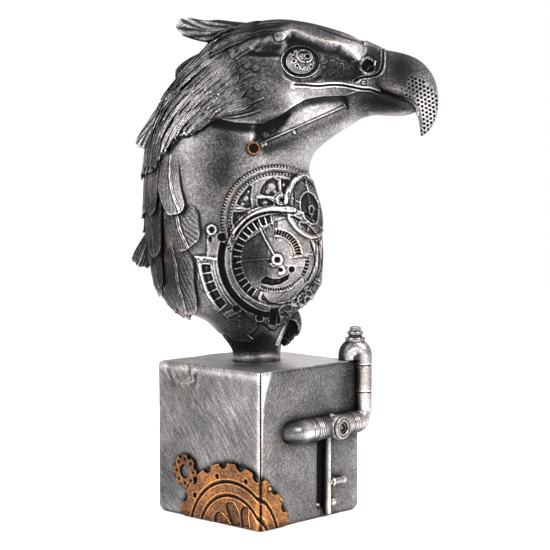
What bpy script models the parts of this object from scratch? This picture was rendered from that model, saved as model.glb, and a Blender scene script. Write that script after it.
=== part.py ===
"""Eagle bust with clockwork in its chest, on a cube plinth with pipework and copper gears.

Units are metres, +Z is up and +X is the way the beak points. The origin is the centre of the
plinth's underside. The plinth is turned so that its upright edges lie on the X and Y axes, and the
one at -Y is the near edge, which the large gear is wrapped round.

The bust is free form. It is drawn in bust units, and BUST_HEIGHT says how high all of it is.
"""

import math

import bmesh
import bpy
from mathutils import Matrix, Vector
from mathutils.bvhtree import BVHTree

MM = 0.001
FIT_GAP = 0.3 * MM

# Plinth
PLINTH_SIDE = 113 * MM
PLINTH_HEIGHT = 120 * MM
PLINTH_EDGE = 2.2 * MM
PLINTH_FOOT_CORNER = 6.5 * MM

# Bust, from the plinth's top to the tip of the crest
BUST_HEIGHT = 270 * MM
BUST_UNITS = 270.0
BUST_TRIANGLES = 6150

# Pipework on the right-hand corner of the plinth
PIPE_RADIUS = 7.3 * MM
PIPE_OUTSIDE_CORNER = 2.9 * MM
PIPE_LIMB_SPACING = 12.2 * MM
PIPE_SPRING_HEIGHT = 4 * MM
RUN_RADIUS = 8.8 * MM
ELBOW_RADIUS = 8.3 * MM
RUN_HEIGHT = 71 * MM
RUN_END_FROM_NEAR_EDGE = 31 * MM
BAND_WIDTH = 4.6 * MM
BAND_STEP = 1.0 * MM
BANDS_FROM_NEAR_EDGE = (58 * MM, 100 * MM)
VALVE_FROM_NEAR_EDGE = 78 * MM
VALVE_RADIUS = 9.6 * MM
VALVE_BORE = 3.4 * MM
VALVE_STAND = 4.0 * MM
CAP_FLANGE_RADIUS = 8.2 * MM
CAP_NUT_RADIUS = 6.6 * MM
CAP_HEX_RADIUS = 4.6 * MM
DRAIN_RADIUS = 3.1 * MM
DRAIN_FROM_NEAR_EDGE = 73 * MM
DRAIN_FOOT = 2.5 * MM
PEG_RADIUS = 2.6 * MM
PEG_LENGTH = 17 * MM
PEG_HEIGHT = 27.5 * MM
STUD_RADIUS = 3.0 * MM
STUD_HEIGHT = 11.5 * MM

# Large gear, drawn flat on the two faces unrolled from the near edge (left of it is negative)
GEAR_THICKNESS = 1.8 * MM
GEAR_RADIUS = 59 * MM
GEAR_TEETH = 20
GEAR_GAP_RADIUS = 4.6 * MM
GEAR_CENTRE_FROM_EDGE = 28.5 * MM
GEAR_CENTRE_BELOW_FOOT = 10.5 * MM
GEAR_HOLE_RADIUS = 1.9 * MM
GEAR_HOLE_CIRCLE = 49.5 * MM
GEAR_GROOVE_RADII = (44.5 * MM, 34.0 * MM)
GEAR_GROOVE_WIDTH = 1.6 * MM
GEAR_GROOVE_DEPTH = 0.8 * MM
GEAR_WINDOW_WIDTH = 8.5 * MM
GEAR_WINDOW_DEPTH = 0.9 * MM
GEAR_WINDOW_START = 12 * MM
GEAR_WINDOWS = ((118, 22 * MM), (84, 30 * MM), (50, 28 * MM))  # bearing and reach
GEAR_FOOT_GAP = 0.6 * MM

# Small gear, in mesh with the large one
PINION_RADIUS = 13.4 * MM
PINION_TEETH = 8
PINION_GAP_RADIUS = 2.5 * MM
PINION_BORE = 5.6 * MM
PINION_HOLE_RADIUS = 1.1 * MM
PINION_HOLE_CIRCLE = 9.4 * MM
PINION_BEARING = 138.15
PINION_MESH_DEPTH = 3.0 * MM

# Copper ring at the jaw
RING_OUTER = 5.2
RING_TUBE = 0.75

HALF_DIAGONAL = PLINTH_SIDE / math.sqrt(2)
UNIT = BUST_HEIGHT / BUST_UNITS
BUST_FOOT = PLINTH_HEIGHT + FIT_GAP
NEAR_EDGE = Vector((0, -HALF_DIAGONAL, 0))
RIGHT_ALONG = Vector((1, 1, 0)).normalized()
RIGHT_OUT = Vector((1, -1, 0)).normalized()
LEFT_ALONG = Vector((-1, 1, 0)).normalized()
LEFT_OUT = Vector((-1, -1, 0)).normalized()
UP = Vector((0, 0, 1))


# Mesh helpers


def clear_scene():
    for thing in list(bpy.data.objects):
        bpy.data.objects.remove(thing, do_unlink=True)


def finish_material(name, colour, roughness, metallic):
    material = bpy.data.materials.new(name)
    material.use_nodes = True
    shader = material.node_tree.nodes["Principled BSDF"]
    shader.inputs["Base Color"].default_value = (*colour, 1)
    shader.inputs["Roughness"].default_value = roughness
    shader.inputs["Metallic"].default_value = metallic
    return material


def mesh_object(name, bm, material=None):
    """An object from a bmesh, with its faces turned outwards."""
    bmesh.ops.recalc_face_normals(bm, faces=bm.faces)
    mesh = bpy.data.meshes.new(name)
    bm.to_mesh(mesh)
    bm.free()
    thing = bpy.data.objects.new(name, mesh)
    bpy.context.scene.collection.objects.link(thing)
    if material:
        mesh.materials.append(material)
    return thing


def loft(name, rings):
    """A closed form through rings of as many points each, with a fan over both ends."""
    bm = bmesh.new()
    rows = [[bm.verts.new(point) for point in ring] for ring in rings]
    for row, following in zip(rows, rows[1:]):
        for i, corner in enumerate(row):
            j = (i + 1) % len(row)
            bm.faces.new((corner, row[j], following[j], following[i]))
    for row in (rows[0], rows[-1]):
        middle = bm.verts.new(sum((v.co for v in row), Vector()) / len(row))
        for i, corner in enumerate(row):
            bm.faces.new((corner, row[(i + 1) % len(row)], middle))
    return mesh_object(name, bm)


def combine(target, tools, operation, solver="EXACT"):
    """Applies one Boolean of all the tools to the target, and deletes them."""
    group = bpy.data.collections.new("tools")
    for tool in tools:
        bpy.context.scene.collection.objects.unlink(tool)
        group.objects.link(tool)
    modifier = target.modifiers.new("combine", "BOOLEAN")
    modifier.operation = operation
    modifier.solver = solver
    modifier.operand_type = "COLLECTION"
    modifier.collection = group
    bpy.context.scene.collection.children.link(group)
    evaluated = target.evaluated_get(bpy.context.evaluated_depsgraph_get())
    mesh = bpy.data.meshes.new_from_object(evaluated)
    target.modifiers.clear()
    old = target.data
    materials = list(old.materials)
    target.data = mesh
    mesh.materials.clear()
    for material in materials:
        mesh.materials.append(material)
    bpy.data.meshes.remove(old)
    for tool in tools:
        bpy.data.objects.remove(tool, do_unlink=True)
    bpy.data.collections.remove(group)
    return target


def weld(thing, distance=0.02 * MM):
    """Merges points that a Boolean left almost on each other."""
    bm = bmesh.new()
    bm.from_mesh(thing.data)
    bmesh.ops.remove_doubles(bm, verts=bm.verts, dist=distance)
    bmesh.ops.dissolve_degenerate(bm, dist=distance, edges=bm.edges)
    bmesh.ops.triangulate(bm, faces=bm.faces)
    bm.to_mesh(thing.data)
    bm.free()
    return thing


def keep_outer_shell(thing):
    """Deletes the pockets that overlapping forms close in between them."""
    bm = bmesh.new()
    bm.from_mesh(thing.data)
    shells, waiting = [], set(bm.faces)
    while waiting:
        reached = [waiting.pop()]
        for face in reached:
            for edge in face.edges:
                for other in edge.link_faces:
                    if other in waiting:
                        waiting.remove(other)
                        reached.append(other)
        shells.append(reached)
    shells.sort(key=len)
    for shell in shells[:-1]:
        bmesh.ops.delete(bm, geom=shell, context="FACES")
    bm.to_mesh(thing.data)
    bm.free()
    return thing


def thin_out(thing, triangles):
    """Collapses the least needed edges until about so many triangles are left."""
    bm = bmesh.new()
    bm.from_mesh(thing.data)
    bmesh.ops.triangulate(bm, faces=bm.faces)
    bm.to_mesh(thing.data)
    bm.free()
    modifier = thing.modifiers.new("thin out", "DECIMATE")
    modifier.ratio = min(1.0, triangles / len(thing.data.polygons))
    evaluated = thing.evaluated_get(bpy.context.evaluated_depsgraph_get())
    mesh = bpy.data.meshes.new_from_object(evaluated)
    thing.modifiers.clear()
    old, thing.data = thing.data, mesh
    bpy.data.meshes.remove(old)
    return thing


def smooth(thing, angle=40):
    for polygon in thing.data.polygons:
        polygon.use_smooth = True
    thing.data.set_sharp_from_angle(angle=math.radians(angle))
    return thing


def frame_to(origin, axis, first):
    """A matrix whose Z is the axis and whose X is as near to first as it can be."""
    z = axis.normalized()
    x = (first - z * first.dot(z)).normalized()
    y = z.cross(x)
    turn = Matrix((x, y, z)).transposed().to_4x4()
    return Matrix.Translation(origin) @ turn


def turned(name, origin, axis, profile, sides, first=None):
    """A turned form: profile holds (radius, height along the axis) from one end to the other."""
    place = frame_to(origin, axis, first or (UP if abs(axis.normalized().z) < 0.9 else RIGHT_ALONG))
    rings = []
    for radius, height in profile:
        ring = []
        for i in range(sides):
            angle = math.tau * i / sides
            ring.append(place @ Vector((radius * math.cos(angle), radius * math.sin(angle), height)))
        rings.append(ring)
    return loft(name, rings)


def ball_profile(radius, flat=1.0, rows=6, start=-90, end=90):
    """The profile of a ball, or of part of one, as (radius, height) pairs."""
    points = []
    for i in range(rows + 1):
        angle = math.radians(start + (end - start) * i / rows)
        points.append((max(radius * math.cos(angle), radius * 0.02), radius * flat * math.sin(angle)))
    return points


def tube(name, points, radii, sides, flatten=1.0, side_axis=None):
    """A round or oval bar through points, each with its own radius."""
    rings = []
    for i, point in enumerate(points):
        before = points[max(i - 1, 0)]
        after = points[min(i + 1, len(points) - 1)]
        place = frame_to(point, after - before, side_axis or UP)
        ring = []
        for k in range(sides):
            angle = math.tau * k / sides
            across = Vector((flatten * math.cos(angle), math.sin(angle), 0)) * radii[i]
            ring.append(place @ across)
        rings.append(ring)
    return loft(name, rings)


def curve_through(points, per_span):
    """Points on a smooth curve through the given ones."""
    result = []
    for i in range(len(points) - 1):
        for k in range(per_span):
            result.append(catmull(points, i + k / per_span))
    result.append(points[-1])
    return result


def catmull(values, s):
    """The value at place s of a smooth curve through a list of vectors or numbers."""
    last = len(values) - 1
    i = min(int(math.floor(s)), last - 1)
    t = s - i
    p0, p1, p2, p3 = (values[min(max(i + k, 0), last)] for k in (-1, 0, 1, 2))
    return (
        p1 * 2 + (p2 - p0) * t + (p0 * 2 - p1 * 5 + p2 * 4 - p3) * t * t
        + (p1 * 3 - p0 - p2 * 3 + p3) * t * t * t
    ) * 0.5


# Free form of the bust, in bust units: x forwards, z up from the plinth's top


def at(x, z, y=0.0):
    return Vector((x * UNIT, y * UNIT, BUST_FOOT + z * UNIT))


class Form:
    """Sections between a back line and a front line, each with its own half width.

    A station is (back x, back z, front x, front z, half width, squareness, fullness in front).
    """

    def __init__(self, stations):
        self.backs = [Vector((s[0], s[1])) for s in stations]
        self.fronts = [Vector((s[2], s[3])) for s in stations]
        self.shapes = [Vector(s[4:7]) for s in stations]
        self.last = len(stations) - 1

    def point(self, s, degrees):
        """Angle 0 is the front line and 180 the back line, and angles above 0 are at -Y."""
        back, front, shape = (catmull(v, s) for v in (self.backs, self.fronts, self.shapes))
        half_width, power, fullness = shape
        angle = math.radians(degrees)
        c, w = math.cos(angle), math.sin(angle)
        along = math.copysign(abs(c) ** (2 / power), c)
        side = math.copysign(abs(w) ** (2 / power), w)
        middle = (back + front) / 2 + (front - back) / 2 * along
        return at(middle.x, middle.y, -side * half_width * (1 + fullness * along))

    def normal(self, s, degrees):
        step = 0.05
        low, high = max(s - step, 0), min(s + step, self.last)
        along = self.point(high, degrees) - self.point(low, degrees)
        around = self.point(s, degrees + 2) - self.point(s, degrees - 2)
        return along.cross(around).normalized()

    def solid(self, name, per_station, sides):
        count = self.last * per_station
        rings = []
        for i in range(count + 1):
            rings.append([self.point(i / per_station, 360 * k / sides) for k in range(sides)])
        return loft(name, rings)


BODY = Form([
    (-21.5, 0, 18, 0, 19.5, 2.0, 0),
    (-21.8, 7, 18.5, 7, 20, 2.0, 0),
    (-27.5, 16, 20, 17, 24, 2.0, 0),
    (-41.5, 31, 24.5, 31, 33, 2.1, 0),
    (-62, 41, 36, 44, 42, 2.1, 0),
    (-77, 58, 47.5, 57, 48, 2.2, 0),
    (-83, 78, 51, 76, 51, 2.2, 0.02),
    (-86, 100, 50.5, 97, 52, 2.2, 0.03),
    (-87, 120, 48.5, 117, 51, 2.2, 0.03),
    (-87.5, 140, 43.5, 135, 48.5, 2.2, 0.02),
    (-86.5, 160, 40, 150, 45, 2.15, 0),
    (-83, 180, 43, 161.5, 41.5, 2.1, -0.02),
    (-75.5, 200, 50.5, 170, 38.5, 2.1, -0.05),
    (-63.5, 218, 58.5, 176, 36.5, 2.1, -0.08),
    (-46, 239, 66.5, 181.5, 35, 2.1, -0.1),
    (-30, 256, 74, 186, 34, 2.1, -0.12),
    (-7, 264.5, 80, 190, 33, 2.1, -0.12),
    (15, 267.7, 85.5, 192.5, 31, 2.1, -0.12),
    (36, 265.7, 91, 193.5, 28, 2.1, -0.12),
    (56, 261, 95, 193.5, 24.5, 2.1, -0.1),
    (72, 255.5, 97, 194.5, 20.5, 2.1, -0.08),
    (82, 249, 97, 198, 15.5, 2.1, -0.05),
])

BEAK = Form([
    (66, 255, 70, 215, 18, 2.2, 0.05),
    (83.5, 250.9, 84.5, 213, 18.6, 2.3, 0.12),
    (90, 248.4, 91, 211, 17.6, 2.3, 0.15),
    (98.5, 245.6, 98.5, 208.6, 16.4, 2.3, 0.18),
    (100.2, 244.2, 99.8, 208.2, 15.4, 2.3, 0.2),
    (109, 242.6, 107.5, 205.6, 14.6, 2.3, 0.2),
    (118.5, 240, 114.5, 203.5, 13.4, 2.3, 0.2),
    (127.6, 235.4, 119.5, 201.5, 12, 2.2, 0.18),
    (135.3, 227.2, 122.5, 198.5, 10.4, 2.2, 0.15),
    (139.8, 218, 124.3, 195, 9, 2.1, 0.1),
    (141.6, 207, 125.7, 191.5, 7.8, 2.1, 0.05),
    (141.1, 197, 126.6, 187.5, 6.5, 2.0, 0),
    (138.6, 188, 127.2, 183.5, 5, 2.0, 0),
    (134.4, 181.2, 127.6, 179.6, 3.2, 2.0, 0),
    (130.6, 177.3, 128, 176.9, 1.2, 2.0, 0),
])

MANDIBLE = Form([
    (58, 211, 66, 187, 15, 2.2, 0),
    (72, 218, 82, 191, 17.6, 2.2, 0),
    (86, 216.5, 92, 193.4, 16.2, 2.2, 0),
    (97, 213, 100, 193, 14.8, 2.2, 0),
    (107, 209.5, 107.5, 192.8, 13, 2.2, 0),
    (115, 206.5, 114, 193, 10.8, 2.2, 0),
    (120, 204, 119, 193.8, 8, 2.1, 0),
    (123.6, 200, 122.8, 195.6, 4, 2.0, 0),
])


class Skin:
    """The bare bust's surface, to lay feathers and clockwork on."""

    def __init__(self, thing):
        graph = bpy.context.evaluated_depsgraph_get()
        self.tree = BVHTree.FromObject(thing, graph)

    def nearest(self, point):
        place, normal, _, _ = self.tree.find_nearest(point)
        return place, normal

    def below(self, point, outward):
        """The surface point under a point, seen against the outward direction."""
        reach = 80 * UNIT
        place, normal, _, _ = self.tree.ray_cast(point + outward * reach, -outward)
        if place is None:
            place, normal = self.nearest(point)
        return place, normal


# Feathers


def feather(name, skin, spine, width, tip_lift, roundness, thickness=None):
    """A closed blade along a spine of surface points, raised more and more towards its tip.

    The blade has a ridge down its middle. It is rooted under the surface, unless it has a
    thickness of its own, which frees its tip.
    """
    ridge, edge, root = 1.1 * UNIT, 0.5 * UNIT, -1.6 * UNIT
    count = len(spine) - 1
    top, bottom = [], []
    for i, point in enumerate(spine):
        t = i / count
        place, normal = skin.nearest(point)
        before, after = spine[max(i - 1, 0)], spine[min(i + 1, count)]
        across = normal.cross(after - before).normalized()
        shape = min(1.0, 0.62 + 1.3 * t) * (max(1 - t ** roundness, 0.0)) ** 0.5
        half = max(width / 2 * shape, 0.8 * UNIT)
        lift = tip_lift * t * t
        lean = normal * lift
        row_top, row_bottom = [], []
        for side in (-1, 0, 1):
            foot, foot_normal = skin.nearest(place + across * half * side)
            if thickness:
                foot, foot_normal = place + across * half * side, normal
            height = ridge if side == 0 else edge
            row_top.append(foot + foot_normal * height + lean)
            if thickness:
                row_bottom.append(foot + foot_normal * (height - thickness) + lean)
            else:
                row_bottom.append(foot + foot_normal * root)
        top.append(row_top)
        bottom.append(row_bottom)
    rings = []
    for row_top, row_bottom in zip(top, bottom):
        rings.append(row_top + [row_bottom[2], row_bottom[0]])
    return loft(name, rings)


def coat_spine(start, end, steps=4):
    """Surface points from a (station, angle) to another."""
    spine = []
    for i in range(steps + 1):
        t = i / steps
        spine.append(BODY.point(start[0] + (end[0] - start[0]) * t, start[1] + (end[1] - start[1]) * t))
    return spine


def line_at(line, fraction):
    """The (station, angle) at a fraction of a line through several of them."""
    vectors = [Vector(p) for p in line]
    return catmull(vectors, fraction * (len(vectors) - 1))


# Where the slim feathers of head and nape start and where their tips lie, from cheek to back
HEAD_ROOTS = ((15.7, 80), (15.6, 104), (15.5, 125), (15.4, 150), (15.4, 172))
HEAD_TIPS = ((13.5, 92), (12.3, 112), (11.1, 126), (9.9, 150), (9.6, 172))
HEAD_FEATHERS = 9
HEAD_FEATHER_WIDTH = 15
HEAD_FEATHER_ROUNDNESS = 2.2
HEAD_LAYERS = ((1.0, 3.0), (0.62, 3.4))  # reach and lift

# Rows of broad back feathers: station of root and tip, first and last angle
BACK_ROWS = (
    (11.3, 9.0, 140, 171),
    (10.2, 8.0, 128, 168),
    (8.7, 6.4, 124, 172),
    (7.3, 5.0, 131, 168),
    (6.2, 3.85, 137, 172),
)
BACK_FEATHERS = (3, 3, 4, 3, 3)  # on each side of a row
BACK_FEATHER_WIDTH = 26
BACK_FEATHER_DRIFT = 9
BACK_FEATHER_LIFT = 3.6
BACK_FEATHER_ROUNDNESS = 5.0


def head_feathers(skin):
    blades = []
    for side in (1, -1):
        for layer, (reach, lift) in enumerate(HEAD_LAYERS):
            count = HEAD_FEATHERS - 2 * layer
            for i in range(count):
                fraction = (i + 0.5) / count
                root = line_at(HEAD_ROOTS, fraction)
                tip = root.lerp(line_at(HEAD_TIPS, fraction), reach)
                spine = coat_spine((root[0], side * root[1]), (tip[0], side * tip[1]))
                blades.append(feather("head_feather", skin, spine, HEAD_FEATHER_WIDTH * UNIT,
                                      lift * UNIT, HEAD_FEATHER_ROUNDNESS))
    return blades


def back_feathers(skin):
    blades = []
    for (root_station, tip_station, first, last), count in zip(BACK_ROWS, BACK_FEATHERS):
        for side in (1, -1):
            for i in range(count):
                angle = first + (last - first) * i / (count - 1)
                drift = BACK_FEATHER_DRIFT * (1 - i / count)
                root = (root_station, side * (angle + drift))
                spine = coat_spine(root, (tip_station, side * angle))
                blades.append(feather("back_feather", skin, spine, BACK_FEATHER_WIDTH * UNIT,
                                      BACK_FEATHER_LIFT * UNIT, BACK_FEATHER_ROUNDNESS))
    return blades


def free_feathers(skin):
    """The crest behind the crown and the two feathers whose tips stand off the back."""
    blades = []
    upright = Vector((0, 0.35, 1))
    crest = ((-6, 262, -4), (-25, 261, -6), (-40, 260.5, -7), (-54, 263.5, -8), (-63.5, 266, -9))
    spine = curve_through([at(x, z, y) for x, z, y in crest], 2)
    blades.append(plume("crest", spine, 15 * UNIT, 6 * UNIT, upright))
    second = ((-30, 252, 7), (-42, 244, 8), (-53, 236, 9), (-60, 228, 9), (-64, 219, 9))
    spine = [at(x, z, y) for x, z, y in second]
    blades.append(plume("second_crest", spine, 15 * UNIT, 5 * UNIT, Vector((1, 1, 1))))
    nape = ((-58, 216, -6), (-71, 200, -8), (-82, 184, -9), (-90, 173, -9), (-93.5, 168, -9))
    spine = [at(x, z, y) for x, z, y in nape]
    blades.append(plume("nape_feather", spine, 15 * UNIT, 6 * UNIT))
    flare = ((-80, 122, -3), (-86, 104, -4), (-91.5, 90, -5), (-96.5, 80, -6), (-98.5, 75, -6))
    spine = [at(x, z, y) for x, z, y in flare]
    blades.append(plume("flared_feather", spine, 20 * UNIT, 6 * UNIT))
    return blades


def plume(name, spine, width, depth, flat=Vector((0, 1, 0))):
    """A free blade: an oval bar along a spine, broad along flat, that narrows to both ends."""
    rings = []
    count = len(spine) - 1
    for i, point in enumerate(spine):
        t = i / count
        before, after = spine[max(i - 1, 0)], spine[min(i + 1, count)]
        along = (after - before).normalized()
        across = (flat - along * flat.dot(along)).normalized()
        upward = along.cross(across).normalized()
        size = max((1 - t ** 3.0), 0.12) ** 0.5 * min(1.0, 0.55 + t)
        ring = []
        for k in range(8):
            angle = math.tau * k / 8
            ring.append(
                point + across * math.cos(angle) * width / 2 * size
                + upward * math.sin(angle) * depth / 2 * size
            )
        rings.append(ring)
    return loft(name, rings)


# Head


def on_cheek(skin, x, z, side, lift=0.0):
    """The surface point at (x, z) seen from the side, and its normal."""
    outward = Vector((0, -side, 0))
    place, normal = skin.below(at(x, z), outward)
    return place + normal * lift * UNIT, normal


BROW = ((13, 255, 2.4), (18, 254.6, 3.0), (26, 256.6, 3.6), (36, 257, 4.2), (48, 254.5, 4.4),
        (60, 250.8, 4.2), (70, 247.6, 3.8), (77.5, 243.5, 3.0), (80.5, 237.5, 1.8))
EYE = (33.7, 235.6)
EYE_RADIUS = 12.4
EYE_RIM_RADIUS = 14.6
EYE_DEPTH = 8.5
EYE_SINK = 5.4
EYE_RIM_PROFILE = ((-1.6, -9), (-1.4, -1.2), (0, 0.2), (1.4, -1.2), (1.6, -9))
SOCKET_RADII = (19, 16.5, 8)
LORE = (60, 236, 15, 10, 4)
NOSTRIL = (88.5, 233)
NOSTRIL_RADIUS = 4.6
JAW_ROD = ((6.5, 172.5), (67.5, 200.5))
JAW_ROD_RADIUS = 1.1
CAVITY = (13, 186, 11, 7.5, 6)
RING_PLACE = (-4.5, 167.5)


def brow(skin, side):
    points, radii = [], []
    for x, z, radius in BROW:
        place, normal = on_cheek(skin, x, z, side)
        points.append(place + normal * radius * 0.35 * UNIT)
        radii.append(radius * UNIT)
    return tube("brow", points, radii, 8)


def oval(name, place, outward, across, radii):
    """An oval ball with radii across, upwards and outwards, in bust units."""
    ball = turned(name, Vector(), Vector((0, 0, 1)), ball_profile(1.0, rows=8), 20)
    matrix = frame_to(place, outward, across)
    scale = Matrix.Diagonal((radii[0] * UNIT, radii[1] * UNIT, radii[2] * UNIT, 1))
    ball.data.transform(matrix @ scale)
    return ball


def hollows(skin):
    """Cutters for the eye sockets, the hollows before the eyes, the nostrils and the jaw gaps."""
    cutters = []
    forward = Vector((1, 0, 0))
    for side in (1, -1):
        place, normal = on_cheek(skin, *EYE, side, 0.8)
        cutters.append(oval("socket", place, normal, forward, SOCKET_RADII))
        x, z, length, height, depth = LORE
        place, normal = on_cheek(skin, x, z, side, 1.2)
        cutters.append(oval("lore", place, normal, forward, (length, height, depth)))
        x, z, length, height, depth = CAVITY
        place, normal = on_cheek(skin, x, z, side, 1.0)
        slope = Vector((1, 0, 0.35))
        cutters.append(oval("jaw_gap", place, normal, slope, (length, height, depth)))
    return cutters


def eyes(skin):
    parts = []
    forward = Vector((1, 0, 0))
    for side in (1, -1):
        place, normal = on_cheek(skin, *EYE, side)
        parts.append(oval("eye", place - normal * EYE_SINK * UNIT, normal, forward,
                          (EYE_RADIUS, EYE_RADIUS, EYE_DEPTH)))
        rim = [(EYE_RIM_RADIUS + dr, h) for dr, h in EYE_RIM_PROFILE]
        profile = [(r * UNIT, h * UNIT) for r, h in rim]
        parts.append(hoop("eye_rim", place, normal, profile, 20))
    return parts


def hoop(name, origin, axis, profile, sides):
    """A ring: a closed profile of (radius, height) carried round an axis."""
    place = frame_to(origin, axis, Vector((1, 0, 0.01)))
    bm = bmesh.new()
    rows = []
    for i in range(sides):
        angle = math.tau * i / sides
        turn = Vector((math.cos(angle), math.sin(angle), 0))
        rows.append([bm.verts.new(place @ (turn * r + UP * h)) for r, h in profile])
    for i, row in enumerate(rows):
        following = rows[(i + 1) % sides]
        for k in range(len(profile)):
            j = (k + 1) % len(profile)
            bm.faces.new((row[k], row[j], following[j], following[k]))
    return mesh_object(name, bm)


def jaw_rods(skin):
    parts = []
    for side in (1, -1):
        points = []
        for t in (0, 0.25, 0.5, 0.75, 1):
            x = JAW_ROD[0][0] + (JAW_ROD[1][0] - JAW_ROD[0][0]) * t
            z = JAW_ROD[0][1] + (JAW_ROD[1][1] - JAW_ROD[0][1]) * t
            points.append(on_cheek(skin, x, z, side, 0.5)[0])
        parts.append(tube("jaw_rod", points, [JAW_ROD_RADIUS * UNIT] * len(points), 6))
    return parts


# Clockwork on the chest


class Dial:
    """A flat drawing board in front of the chest, whose marks are laid on the surface."""

    def __init__(self, skin, x, z, facing, side):
        angle = math.radians(facing)
        self.skin = skin
        self.outward = Vector((math.sin(angle), -side * math.cos(angle), 0))
        self.across = Vector((math.cos(angle), side * math.sin(angle), 0))
        self.centre = skin.below(at(x, z), self.outward)[0]

    def lay(self, radius, degrees, lift):
        """A surface point at a radius and an angle from the forward direction, raised by lift."""
        angle = math.radians(degrees)
        flat = self.across * math.cos(angle) + UP * math.sin(angle)
        place, normal = self.skin.below(self.centre + flat * radius * UNIT, self.outward)
        return place + normal * lift * UNIT

    def plate(self, name, inner, outer, lift, start=0.0, end=360.0, steps=24, tooth=0.0):
        """A raised ring or arc. With a tooth height, every second pair of points is cut back."""
        sunk = -2.0
        whole = end - start >= 360
        count = steps if whole else steps + 1
        rings = []
        for i in range(count):
            degrees = start + (end - start) * i / steps
            cut = tooth if tooth and i % 4 in (2, 3) else 0.0
            rings.append([
                self.lay(inner, degrees, lift),
                self.lay(outer - cut, degrees, lift),
                self.lay(outer - cut, degrees, sunk),
                self.lay(inner, degrees, sunk),
            ])
        if not whole:
            return loft(name, rings)
        bm = bmesh.new()
        rows = [[bm.verts.new(point) for point in ring] for ring in rings]
        for i, row in enumerate(rows):
            following = rows[(i + 1) % count]
            for k in range(4):
                j = (k + 1) % 4
                bm.faces.new((row[k], row[j], following[j], following[k]))
        return mesh_object(name, bm)

    def disc(self, name, radius, lift, steps=20):
        """A raised disc that follows the surface, with a ring of points halfway out."""
        bm = bmesh.new()
        top_hub = bm.verts.new(self.lay(0, 0, lift))
        low_hub = bm.verts.new(self.lay(0, 0, -2.0))
        turns = [360 * i / steps for i in range(steps)]
        inner = [bm.verts.new(self.lay(radius * 0.55, t, lift)) for t in turns]
        outer = [bm.verts.new(self.lay(radius, t, lift)) for t in turns]
        under = [bm.verts.new(self.lay(radius, t, -2.0)) for t in turns]
        for i in range(steps):
            j = (i + 1) % steps
            bm.faces.new((top_hub, inner[i], inner[j]))
            bm.faces.new((inner[i], outer[i], outer[j], inner[j]))
            bm.faces.new((outer[i], under[i], under[j], outer[j]))
            bm.faces.new((low_hub, under[j], under[i]))
        return mesh_object(name, bm)

    def bar(self, name, start, end, width, lift):
        """A straight bar between two (radius, degrees) places."""
        a, b = self.lay(*start, lift), self.lay(*end, lift)
        out = self.outward
        across = (b - a).cross(out).normalized() * width / 2 * UNIT
        depth = out * (lift + 2.0) * UNIT
        rings = []
        for t in (0, 0.5, 1):
            radius = start[0] + (end[0] - start[0]) * t
            degrees = start[1] + (end[1] - start[1]) * t
            point = self.lay(radius, degrees, lift)
            rings.append([point - across, point + across, point + across - depth, point - across - depth])
        return loft(name, rings)


# Rim wheel behind the dials, main dial and small dial: (x, z), facing in degrees, radii
WHEEL = (12, 110, 14)
WHEEL_RADII = (35.5, 43)
WHEEL_TEETH = 22
MAIN_DIAL = (9.3, 79.3, 17)
MAIN_RADII = (31.5, 36.5)
SMALL_DIAL = (37.8, 121.5, 58)
SMALL_RADII = (19.5, 24.5)
SCALE_RADII = (43.5, 51)


def clockwork(skin, side, plain):
    """The wheel, the dials and the scale of one side. The far side keeps only the main forms."""
    wheel = Dial(skin, *WHEEL, side)
    main = Dial(skin, *MAIN_DIAL, side)
    parts = [
        wheel.plate("wheel_rim", *WHEEL_RADII, 1.5, 38, 205, WHEEL_TEETH * 4, 1.6),
        wheel.plate("wheel_ring", 22, 24, 1.3, 40, 200, 14),
        main.disc("main_dial", MAIN_RADII[0], 1.6, 24),
        main.plate("bezel", *MAIN_RADII, 3.4, 62, 300, 22),
    ]
    for degrees in (62, 95, 128, 161, 190):
        parts.append(wheel.bar("wheel_spoke", (4, degrees), (WHEEL_RADII[0] + 1, degrees), 2.6, 1.4))
    parts.append(wheel.disc("wheel_hub", 6, 2.2, 8))
    if plain:
        return parts
    small = Dial(skin, *SMALL_DIAL, side)
    parts.append(main.bar("hand", (0, 115), (29, 115), 1.6, 2.8))
    parts.append(main.disc("hand_hub", 3.4, 4.0, 8))
    parts.append(main.plate("quarter_scale", 17, 22, 2.6, 10, 92, 8))
    parts.append(main.plate("lower_arc", 17, 23, 3.2, 225, 300, 6))
    parts.append(main.plate("scale_plate", *SCALE_RADII, 1.8, 172, 236, 8))
    for i in range(14):
        degrees = 120 + 160 * i / 13
        parts.append(main.bar("tick", (24, degrees), (32, degrees), 1.2, 2.4))
    parts.append(small.disc("small_dial", SMALL_RADII[0], 1.4, 16))
    parts.append(small.plate("small_bezel", *SMALL_RADII, 2.3, 0, 360, 20))
    parts.append(small.disc("small_hub", 4, 2.8, 8))
    parts.append(small.plate("small_ring", 9, 12, 2.4, 0, 360, 12))
    return parts


def wreckage(skin):
    """The broken machinery low on the chest's front, as a heap of small blocks."""
    parts = []
    blocks = ((47, 66, -18, 5), (43, 57, -22, 5.5), (37, 51, -20, 5), (30, 46, -26, 5),
              (45, 60, 4, 5.5), (38, 50, 10, 5), (50, 74, -6, 4.5), (24, 40, -22, 4.5))
    for i, (x, z, y, size) in enumerate(blocks):
        place, normal = skin.nearest(at(x, z, y))
        radius = size * UNIT
        parts.append(turned("block", place - normal * radius * 0.8, normal,
                            [(radius, 0), (radius * 0.9, radius), (radius * 0.55, radius * 1.25)],
                            5 + i % 3))
    return parts


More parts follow.
